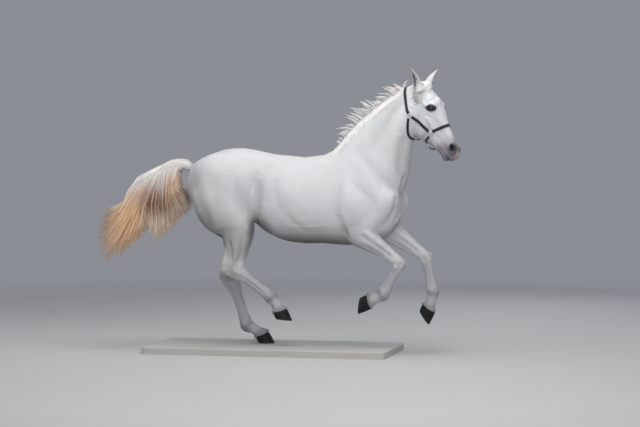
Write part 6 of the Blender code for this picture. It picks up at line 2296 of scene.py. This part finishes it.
class Finish:
    """A material, and the nodes that vary it over the surface."""

    def __init__(self, name, **settings):
        self.material = bpy.data.materials.new(name)
        self.material.use_nodes = True
        self.tree = self.material.node_tree
        self.shader = self.tree.nodes["Principled BSDF"]
        for label, value in settings.items():
            self.feed(self.shader.inputs[label.replace("_", " ")], value)

    def feed(self, socket, value):
        if isinstance(value, Value):
            value = value.socket
        if isinstance(value, bpy.types.NodeSocket):
            self.tree.links.new(value, socket)
        else:
            socket.default_value = value

    def node(self, kind, settings=None, inputs=None):
        made = self.tree.nodes.new(kind)
        for label, value in (settings or {}).items():
            if label == "stops":
                while len(made.color_ramp.elements) < len(value):
                    made.color_ramp.elements.new(0.5)
                for element, (place, shade) in zip(made.color_ramp.elements, value):
                    element.position = place
                    element.color = (*shade, 1.0)
            else:
                setattr(made, label, value)
        for label, value in (inputs or {}).items():
            self.feed(made.inputs[label], value)
        return made

    def place(self):
        return self.node("ShaderNodeTexCoord").outputs["Object"]

    def attribute(self, name, output="Color"):
        return self.node("ShaderNodeAttribute", {"attribute_name": name}).outputs[output]

    def noise(self, vector, scale, detail=3.0, roughness=0.55):
        inputs = {"Vector": vector, "Scale": scale, "Detail": detail, "Roughness": roughness}
        return Value(self, self.node("ShaderNodeTexNoise", None, inputs).outputs["Fac"])

    def streaks(self, vector, scale, detail=3.0):
        """Noise that is drawn out differently along each axis."""
        mapping = self.node("ShaderNodeMapping", None, {"Vector": vector, "Scale": scale})
        return self.noise(mapping.outputs["Vector"], 1.0, detail)

    def mixed(self, share, first, second):
        return self.node("ShaderNodeMix", {"data_type": "RGBA"}, {0: share, 6: first, 7: second}).outputs[2]

    def mixed_values(self, share, first, second):
        made = self.node("ShaderNodeMix", {"data_type": "FLOAT"}, {0: share, 2: first, 3: second})
        return Value(self, made.outputs[0])

    def ranged(self, value, low, high, start, end):
        inputs = {0: value, 1: low, 2: high, 3: start, 4: end}
        return Value(self, self.node("ShaderNodeMapRange", {"clamp": True}, inputs).outputs[0])

    def shaded(self, colour, share):
        """The colour made darker or lighter by a number."""
        return self.node("ShaderNodeVectorMath", {"operation": "SCALE"}, {0: colour, "Scale": share}).outputs[0]

    def bump(self, height, strength, distance):
        inputs = {"Height": height, "Strength": strength, "Distance": distance}
        return self.node("ShaderNodeBump", None, inputs).outputs["Normal"]

    def done(self, **links):
        for label, value in links.items():
            self.feed(self.shader.inputs[label.replace("_", " ")], value)
        return self.material


def coat_finish(name, hair_bump):
    """Short flat hair: fine streaks along the body and down the legs, faint mottling and dust."""
    finish = Finish(name, Specular_IOR_Level=0.25, Sheen_Weight=0.12, Sheen_Roughness=0.45)
    place = finish.place()
    tint = finish.attribute("tint")
    upright = Value(finish, finish.attribute("upright", "Fac"))
    along = finish.streaks(place, (55, 420, 300))
    down = finish.streaks(place, (420, 420, 60))
    streaks = finish.mixed_values(upright, along, down)
    clumps = finish.streaks(place, (34, 70, 60), 4.0)
    mottling = finish.noise(place, 9.0, 4.0)
    dust = finish.noise(place, 2.6, 3.0)
    shade = 0.86 + streaks * 0.14 + clumps * 0.08 + (mottling - 0.5) * 0.10
    colour = finish.shaded(tint, shade)
    warm = finish.ranged(dust, 0.50, 0.72, 0.0, 0.16)
    colour = finish.mixed(warm, colour, DUST)
    rough = 0.62 + streaks * 0.18 + clumps * 0.06
    height = streaks * 0.7 + clumps * 0.5
    fine = finish.bump(height, hair_bump, 0.0016)
    return finish.done(Base_Color=colour, Roughness=rough, Normal=fine)


def hair_finish(name, colour_spread):
    """Long hair, with finer streaks than its strands and a soft gloss."""
    finish = Finish(name, Specular_IOR_Level=0.35, Sheen_Weight=0.10)
    place = finish.place()
    streaks = finish.streaks(place, (260, 320, 260), 2.0)
    patches = finish.noise(place, 26.0, 3.0)
    shade = 1.0 - colour_spread + streaks * colour_spread + patches * colour_spread
    colour = finish.shaded(finish.attribute("tint"), shade)
    rough = 0.40 + streaks * 0.25
    return finish.done(Base_Color=colour, Roughness=rough, Normal=finish.bump(streaks, 0.35, 0.0008))


def horn_finish(colour):
    """Slate horn with growth rings, paler scuffs towards the ground edge and dust."""
    finish = Finish("hoof_horn", Specular_IOR_Level=0.22)
    place = finish.place()
    level = Value(finish, finish.attribute("level", "Fac"))
    wobble = finish.noise(place, 18.0, 3.0)
    growth = finish.node("ShaderNodeCombineXYZ", None, {0: level * 30.0 + wobble * 0.8}).outputs[0]
    rings = finish.noise(growth, 1.0, 2.0)
    fibres = finish.streaks(place, (300, 300, 40))
    scuffs = finish.noise(place, 60.0, 4.0)
    low = finish.ranged(level, 0.70, 1.05, 0.0, 1.0)
    worn = finish.ranged(scuffs + low * 0.18, 0.58, 0.74, 0.0, 0.55)
    base = finish.mixed(finish.ranged(rings, 0.35, 0.65, 0.0, 0.55), (*colour, 1.0), HORN_RING)
    base = finish.mixed(worn, base, HORN_SCUFF)
    rough = 0.46 + scuffs * 0.30
    height = rings * 0.6 + fibres * 0.25 + scuffs * 0.15
    return finish.done(Base_Color=base, Roughness=rough, Normal=finish.bump(height, 0.5, 0.0010))


def eye_finish():
    """A wet dark eye."""
    finish = Finish("wet_eye", Coat_Weight=1.0, Coat_Roughness=0.02, Specular_IOR_Level=0.5)
    cloud = finish.noise(finish.place(), 320.0, 3.0)
    colour = finish.shaded(finish.attribute("tint"), 0.75 + cloud * 0.5)
    return finish.done(Base_Color=colour, Roughness=0.06 + cloud * 0.06)


def webbing_finish(colour):
    """Flat woven webbing: a fine twill, a row of stitches near each edge and rubbed edges."""
    finish = Finish("halter_webbing", Specular_IOR_Level=0.3, Sheen_Weight=0.25)
    map_place = finish.node("ShaderNodeUVMap", {"uv_map": "weave"}).outputs["UV"]
    parts = finish.node("ShaderNodeSeparateXYZ", None, {0: map_place})
    length, across = Value(finish, parts.outputs[0]), Value(finish, parts.outputs[1])
    tau = 2 * math.pi

    def wave(value, pitch, phase=0.0):
        inner = value * (tau / pitch) + phase
        made = finish.node("ShaderNodeMath", {"operation": "SINE"}, {0: inner})
        return Value(finish, made.outputs[0]) * 0.5 + 0.5

    warp = wave(across, 0.0017)
    weft = wave(length + across * 0.5, 0.0021)
    weave = warp * weft
    fuzz = finish.streaks(map_place, (900, 900, 1))
    edge = finish.node("ShaderNodeMath", {"operation": "ABSOLUTE"}, {0: across}).outputs[0]
    edge = Value(finish, edge)
    row = finish.ranged(edge, 0.0068, 0.0074, 0.0, 1.0) * finish.ranged(edge, 0.0078, 0.0084, 1.0, 0.0)
    stitch = row * finish.ranged(wave(length, 0.0045), 0.35, 0.50, 0.0, 1.0)
    rubbed = finish.ranged(edge, 0.0088, 0.0104, 0.0, 0.30)
    base = finish.shaded(tuple(colour), 0.55 + weave * 0.6 + fuzz * 0.3)
    base = finish.mixed(rubbed, base, RUBBED_WEBBING)
    base = finish.mixed(stitch * 0.55, base, STITCHES)
    rough = 0.66 + fuzz * 0.2
    height = weave * 0.7 + fuzz * 0.25 + stitch * 0.8
    return finish.done(Base_Color=base, Roughness=rough, Normal=finish.bump(height, 0.6, 0.0006))


def metal_finish(colour):
    """Pale plated metal, brushed and a little tarnished in patches."""
    finish = Finish("halter_steel", Metallic=1.0)
    place = finish.place()
    patches = finish.noise(place, 90.0, 4.0)
    scratches = finish.streaks(place, (1400, 240, 900), 2.0)
    base = finish.mixed(finish.ranged(patches, 0.50, 0.70, 0.0, 0.55), (*colour, 1.0), TARNISH)
    rough = 0.20 + patches * 0.22 + scratches * 0.10
    return finish.done(Base_Color=base, Roughness=rough, Normal=finish.bump(scratches, 0.15, 0.0003))


def board_finish(colour):
    """The display base: painted board with a faint grain and scuffed edges."""
    finish = Finish("base_paint", Specular_IOR_Level=0.3)
    place = finish.place()
    grain = finish.streaks(place, (6, 90, 90), 4.0)
    speckle = finish.noise(place, 140.0, 3.0)
    broad = finish.noise(place, 3.0, 3.0)
    colour = finish.shaded(tuple(colour), 0.90 + grain * 0.10 + broad * 0.08)
    rough = 0.48 + speckle * 0.16
    height = grain * 0.6 + speckle * 0.4
    return finish.done(Base_Color=colour, Roughness=rough, Normal=finish.bump(height, 0.25, 0.0008))


def floor_finish(colour):
    """A plain pale floor that fades out far from the horse."""
    finish = Finish("floor_paint", Specular_IOR_Level=0.15)
    place = finish.place()
    soft = finish.noise(place, 1.2, 3.0)
    away = finish.node("ShaderNodeVectorMath", {"operation": "LENGTH"}, {0: place}).outputs["Value"]
    alpha = finish.ranged(away, 3.5, 9.5, 1.0, 0.0)
    return finish.done(
        Base_Color=finish.shaded(tuple(colour), 0.98 + soft * 0.04), Roughness=0.85 + soft * 0.1, Alpha=alpha
    )


# ---------------------------------------------------------------- settings


def colour_setting(name, description, default):
    return FloatVectorProperty(
        name=name, description=description, default=default, subtype="COLOR", size=3, min=0.0, max=1.0
    )


def length_setting(name, description, default):
    return FloatProperty(name=name, description=description, default=default, unit="LENGTH", min=0.0, precision=4)


def power_setting(name, description, default):
    return FloatProperty(name=name, description=description, default=default, unit="POWER", min=0.0)


def count_setting(name, description, default):
    return IntProperty(name=name, description=description, default=default, min=1)


class HORSE_PG_coat(bpy.types.PropertyGroup):
    body_colour: colour_setting("Body", "Colour of the coat on the body", (0.660, 0.668, 0.685))
    # the legs' own grey, made darker as painted shade down the lower legs
    leg_colour: colour_setting("Legs", "Colour of the coat below the knees and hocks", (0.430, 0.440, 0.462))
    tufts: count_setting("Tufts", "Number of short tufts over the skin", 34000)
    tuft_length: length_setting("Tuft length", "Length of a tuft on the trunk", 0.0130)
    hair_bump: FloatProperty(
        name="Hair relief",
        description="Strength of the fine hair relief",
        default=0.45,
        subtype="FACTOR",
        min=0,
        max=1,
    )


class HORSE_PG_hair(bpy.types.PropertyGroup):
    tail_strands: count_setting("Tail strands", "Number of strands in the tail", 4300)
    blown_strands: count_setting("Blown mane", "Number of mane strands blown up and back", 1700)
    laid_strands: count_setting("Laid mane", "Number of short mane strands on the right side", 700)
    fallen_strands: count_setting("Fallen mane", "Number of mane strands on the left side", 1100)
    forelock_strands: count_setting("Forelock strands", "Number of strands in the forelock", 1000)
    strand_width: length_setting("Strand half width", "Half the width of a long strand", 0.0022)
    tail_colour: colour_setting("Tail", "Palest colour of the tail", (0.900, 0.885, 0.870))
    mane_colour: colour_setting("Mane", "Colour of the mane and forelock", (0.820, 0.810, 0.800))


class HORSE_PG_tack(bpy.types.PropertyGroup):
    strap_width: length_setting("Strap width", "Width of the headcollar's webbing", 0.021)
    strap_thickness: length_setting("Strap thickness", "Thickness of the webbing", 0.0042)
    webbing_colour: colour_setting("Webbing", "Colour of the webbing", (0.016, 0.018, 0.034))
    metal_colour: colour_setting("Metal", "Colour of the rings and fittings", (0.700, 0.690, 0.660))


class HORSE_PG_features(bpy.types.PropertyGroup):
    horn_colour: colour_setting("Hooves", "Colour of the horn", (0.007, 0.007, 0.010))
    lash_colour: colour_setting("Lashes", "Colour of the lashes and whiskers", (0.300, 0.280, 0.270))
    base_colour: colour_setting("Base", "Colour of the display base", (0.520, 0.510, 0.490))


class HORSE_PG_stage(bpy.types.PropertyGroup):
    floor_colour: colour_setting("Floor", "Colour of the floor", (0.560, 0.560, 0.555))
    focal_length: FloatProperty(
        name="Focal length", description="Focal length of the camera", default=100.0, unit="CAMERA", min=10.0
    )
    overhead_power: power_setting("Overhead light", "Power of the light over the horse", 160.0)
    key_power: power_setting("Key light", "Power of the light beside the camera", 150.0)


# ---------------------------------------------------------------- operators


def skin_tree():
    return surface_tree(bpy.data.objects["skin"])


def finished(made, material, nodes=()):
    """Gives a piece its finish and its body, and lets it stand for its solids."""
    made.data.materials.clear()
    made.data.materials.append(material)
    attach(made, "root")
    if nodes:
        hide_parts(*nodes)


def long_hair():
    """The one finish of the tail, the mane and the forelock."""
    return bpy.data.materials.get("long_hair") or hair_finish("long_hair", 0.16)


FLESH = ("head", "neck", "barrel", "hindquarters", "ear_", "forearm", "fore_cannon", "gaskin", "hind_cannon")
FLESH_NODES = [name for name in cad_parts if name.startswith(FLESH)]


class HORSE_OT_skin(bpy.types.Operator):
    """Build the whole body's skin with its lids, nostrils and ears"""

    bl_idname = "horse.skin"
    bl_label = "Skin"

    def execute(self, context):
        settings = context.scene.horse_coat
        made = skin()
        mesh = made.data
        points = places_of(mesh)
        tints = dark_lids_and_shaded_hollows(mesh, coat_tints(points, settings.body_colour, settings.leg_colour))
        set_tints(mesh, tints)
        down, _ = down_the_legs(points)
        upright = np.maximum(faded(down, 0.1, 0.6), faded(points[:, 0], 1.02, 1.10))
        layer = mesh.attributes.new("upright", "FLOAT", "POINT")
        layer.data.foreach_set("value", upright.astype(np.float32))
        mesh.shade_smooth()
        finished(made, coat_finish("grey_coat", settings.hair_bump), FLESH_NODES)
        return {"FINISHED"}


class HORSE_OT_eyes(bpy.types.Operator):
    """Build both eyeballs"""

    bl_idname = "horse.eyes"
    bl_label = "Eyes"

    def execute(self, context):
        wet = eye_finish()
        for side, name in SIDES.items():
            finished(eyeball(f"eyeball_{name}", side), wet, [f"eye_{name}"])
        return {"FINISHED"}


class HORSE_OT_hooves(bpy.types.Operator):
    """Build the four hooves"""

    bl_idname = "horse.hooves"
    bl_label = "Hooves"

    def execute(self, context):
        horn = horn_finish(context.scene.horse_features.horn_colour)
        for kind, legs in (("fore", FORE_LEGS), ("hind", HIND_LEGS)):
            for side, leg in legs.items():
                made = hoof(f"horn_{kind}_{SIDES[side]}", leg, HOOF_SCALE[kind])
                finished(made, horn, [f"{kind}_hoof_{SIDES[side]}"])
        return {"FINISHED"}


class HORSE_OT_coat(bpy.types.Operator):
    """Build the short tufts of the coat and the fringes of lashes, ears, lips and coronets"""

    bl_idname = "horse.coat"
    bl_label = "Coat"

    def execute(self, context):
        settings, features = context.scene.horse_coat, context.scene.horse_features
        body = bpy.data.objects["skin"]
        tree = skin_tree()
        tuft_material = coat_finish("coat_tufts", 0.2)
        for made in coat_tufts(
            body, settings.tufts, settings.tuft_length, settings.body_colour, settings.leg_colour
        ):
            finished(made, tuft_material)
        fine = hair_finish("fine_hair", 0.10)
        lash_paths = np.concatenate([lashes(side) for side in SIDES])
        for name, paths, width, colour in (
            ("lashes", lash_paths, 0.00045, features.lash_colour),
            ("whiskers", whiskers(tree), 0.00030, features.lash_colour),
            ("ear_hair", ear_fringe(), 0.00075, EAR_HAIR_COLOUR),
            ("coronet_hair", coronet_fringe(), 0.00120, CORONET_HAIR_COLOUR),
        ):
            finished(fringe(name, paths, width, colour, tree, 0.3), fine)
        return {"FINISHED"}


class HORSE_OT_tail(bpy.types.Operator):
    """Build the streaming tail"""

    bl_idname = "horse.tail"
    bl_label = "Tail"

    def execute(self, context):
        settings = context.scene.horse_hair
        made = tail_hair(settings.tail_strands, settings.strand_width, settings.tail_colour)
        finished(made, long_hair(), ["tail"])
        return {"FINISHED"}


class HORSE_OT_mane(bpy.types.Operator):
    """Build the mane and the forelock"""

    bl_idname = "horse.mane"
    bl_label = "Mane and forelock"

    def execute(self, context):
        settings = context.scene.horse_hair
        body = skin_tree()
        made = mane_hair(
            settings.blown_strands, settings.laid_strands, settings.fallen_strands, settings.strand_width * 0.8,
            settings.mane_colour, body,
        )
        finished(made, long_hair(), ["mane"])
        made = forelock_hair(settings.forelock_strands, settings.strand_width * 0.9, settings.mane_colour, body)
        finished(made, long_hair(), ["forelock"])
        return {"FINISHED"}


class HORSE_OT_headcollar(bpy.types.Operator):
    """Build the headcollar's straps, rings and fittings"""

    bl_idname = "horse.headcollar"
    bl_label = "Headcollar"

    def execute(self, context):
        settings = context.scene.horse_tack
        body = skin_tree()
        webbing = webbing_finish(settings.webbing_colour)
        metal = metal_finish(settings.metal_colour)
        for name, (found, share) in headcollar_lines(body, settings.strap_thickness).items():
            bm = bmesh.new()
            strap(bm, found, settings.strap_width * share, settings.strap_thickness)
            doubled = (found[:5], found[-5:]) if len(found) > 30 else ()  # both ends of the longer straps
            for end in doubled:
                strap(bm, end, settings.strap_width * share * 0.97, 0.0024, settings.strap_thickness * 0.62)
            made = new_object(name.replace("halter", "strap"), bm)
            made.data.uv_layers[0].name = "weave"
            made.data.shade_smooth()
            finished(made, webbing, [name])
        for name, centre, normal, radius, wire in halter_metal(body):
            bm = bmesh.new()
            torus(bm, centre, normal, radius, wire)
            if "fitting" in name:
                fitting_bar(bm, centre, normal, radius, wire)
            made = new_object(name.replace("halter", "metal"), bm)
            made.data.shade_smooth()
            finished(made, metal, [name])
        return {"FINISHED"}


class HORSE_OT_base(bpy.types.Operator):
    """Give the display base its paint"""

    bl_idname = "horse.base"
    bl_label = "Display base"

    def execute(self, context):
        paint = board_finish(context.scene.horse_features.base_colour)
        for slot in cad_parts["stand_base"].material_slots:
            slot.material = paint
        return {"FINISHED"}


FLOOR_RADIUS = 10.0
SKY_COLOUR, SKY_STRENGTH = (0.86, 0.90, 1.0, 1.0), 0.30
LAMPS_AIM = Vector((0.1, 0.0, 1.1))
# Each light's name, place, width, setting of its power, share of that power and colour.
LAMPS = (
    ("overhead", (0.3, -1.2, 5.2), 4.5, "overhead_power", 1.0, (1.0, 0.985, 0.96)),
    ("key", (2.4, -6.2, 3.2), 3.4, "key_power", 1.0, (1.0, 0.985, 0.95)),
    ("far_side", (1.5, 6.0, 3.6), 3.5, "key_power", 0.45, (0.93, 0.96, 1.0)),
)
# The camera's direction and distance from the point that it looks at.
CAMERA_AZIMUTH, CAMERA_ELEVATION = math.radians(13.0), math.radians(1.25)
CAMERA_DISTANCE = 12.977
CAMERA_AIM = Vector((0.345, 0.0, 1.017))
SENSOR_WIDTH = 36.0


class HORSE_OT_stage(bpy.types.Operator):
    """Set the floor, the lights and the camera"""

    bl_idname = "horse.stage"
    bl_label = "Stage"

    def execute(self, context):
        settings = context.scene.horse_stage
        floor = bmesh.new()
        bmesh.ops.create_circle(floor, cap_ends=True, radius=FLOOR_RADIUS, segments=96)
        made = new_object("floor", floor, floor_finish(settings.floor_colour))
        world = bpy.data.worlds.new("soft_sky")
        world.use_nodes = True
        sky = world.node_tree.nodes["Background"]
        sky.inputs["Color"].default_value = SKY_COLOUR
        sky.inputs["Strength"].default_value = SKY_STRENGTH
        context.scene.world = world
        for name, place, size, power, share, colour in LAMPS:
            light = bpy.data.lights.new(name, "AREA")
            light.shape = "DISK"
            light.size = size
            light.energy = getattr(settings, power) * share
            light.color = colour
            lamp = bpy.data.objects.new(name, light)
            lamp.location = place
            lamp.rotation_euler = (LAMPS_AIM - lamp.location).to_track_quat("-Z", "Y").to_euler()
            context.scene.collection.objects.link(lamp)
        level = math.cos(CAMERA_ELEVATION)
        away = Vector(
            (math.sin(CAMERA_AZIMUTH) * level, -math.cos(CAMERA_AZIMUTH) * level, math.sin(CAMERA_ELEVATION))
        )
        lens = bpy.data.cameras.new("camera")
        lens.lens = settings.focal_length
        lens.sensor_width = SENSOR_WIDTH
        lens.clip_end = 200.0
        camera = bpy.data.objects.new("camera", lens)
        camera.location = CAMERA_AIM + away * CAMERA_DISTANCE
        camera.rotation_euler = (-away).to_track_quat("-Z", "Y").to_euler()
        context.scene.collection.objects.link(camera)
        context.scene.camera = camera
        context.scene.view_settings.view_transform = "Standard"
        return {"FINISHED"}


class HORSE_PT_pieces(bpy.types.Panel):
    """The pieces of the horse"""

    bl_idname = "HORSE_PT_pieces"
    bl_label = "Horse"
    bl_space_type = "VIEW_3D"
    bl_region_type = "UI"
    bl_category = "Horse"

    def draw(self, context):
        for group, operators in PANEL_ROWS:
            box = self.layout.box()
            settings = getattr(context.scene, group)
            for name in settings.__annotations__:
                box.prop(settings, name)
            for operator in operators:
                box.operator(operator.bl_idname)


PANEL_ROWS = (
    ("horse_coat", (HORSE_OT_skin, HORSE_OT_coat)),
    ("horse_hair", (HORSE_OT_tail, HORSE_OT_mane)),
    ("horse_features", (HORSE_OT_eyes, HORSE_OT_hooves, HORSE_OT_base)),
    ("horse_tack", (HORSE_OT_headcollar,)),
    ("horse_stage", (HORSE_OT_stage,)),
)
SETTINGS = {
    "horse_coat": HORSE_PG_coat,
    "horse_hair": HORSE_PG_hair,
    "horse_features": HORSE_PG_features,
    "horse_tack": HORSE_PG_tack,
    "horse_stage": HORSE_PG_stage,
}
OPERATORS = (
    HORSE_OT_stage,
    HORSE_OT_skin,
    HORSE_OT_eyes,
    HORSE_OT_hooves,
    HORSE_OT_headcollar,
    HORSE_OT_tail,
    HORSE_OT_mane,
    HORSE_OT_coat,
    HORSE_OT_base,
)


def register():
    for group in (*SETTINGS.values(), *OPERATORS, HORSE_PT_pieces):
        bpy.utils.register_class(group)
    for name, group in SETTINGS.items():
        setattr(bpy.types.Scene, name, PointerProperty(type=group))


def unregister():
    for name in SETTINGS:
        delattr(bpy.types.Scene, name)
    for group in reversed((*SETTINGS.values(), *OPERATORS, HORSE_PT_pieces)):
        bpy.utils.unregister_class(group)


def main():
    register()
    for operator in OPERATORS:
        if operator is HORSE_OT_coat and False:
            continue
        group, name = operator.bl_idname.split(".")
        getattr(getattr(bpy.ops, group), name)()


if __name__ == "__main__":
    main()
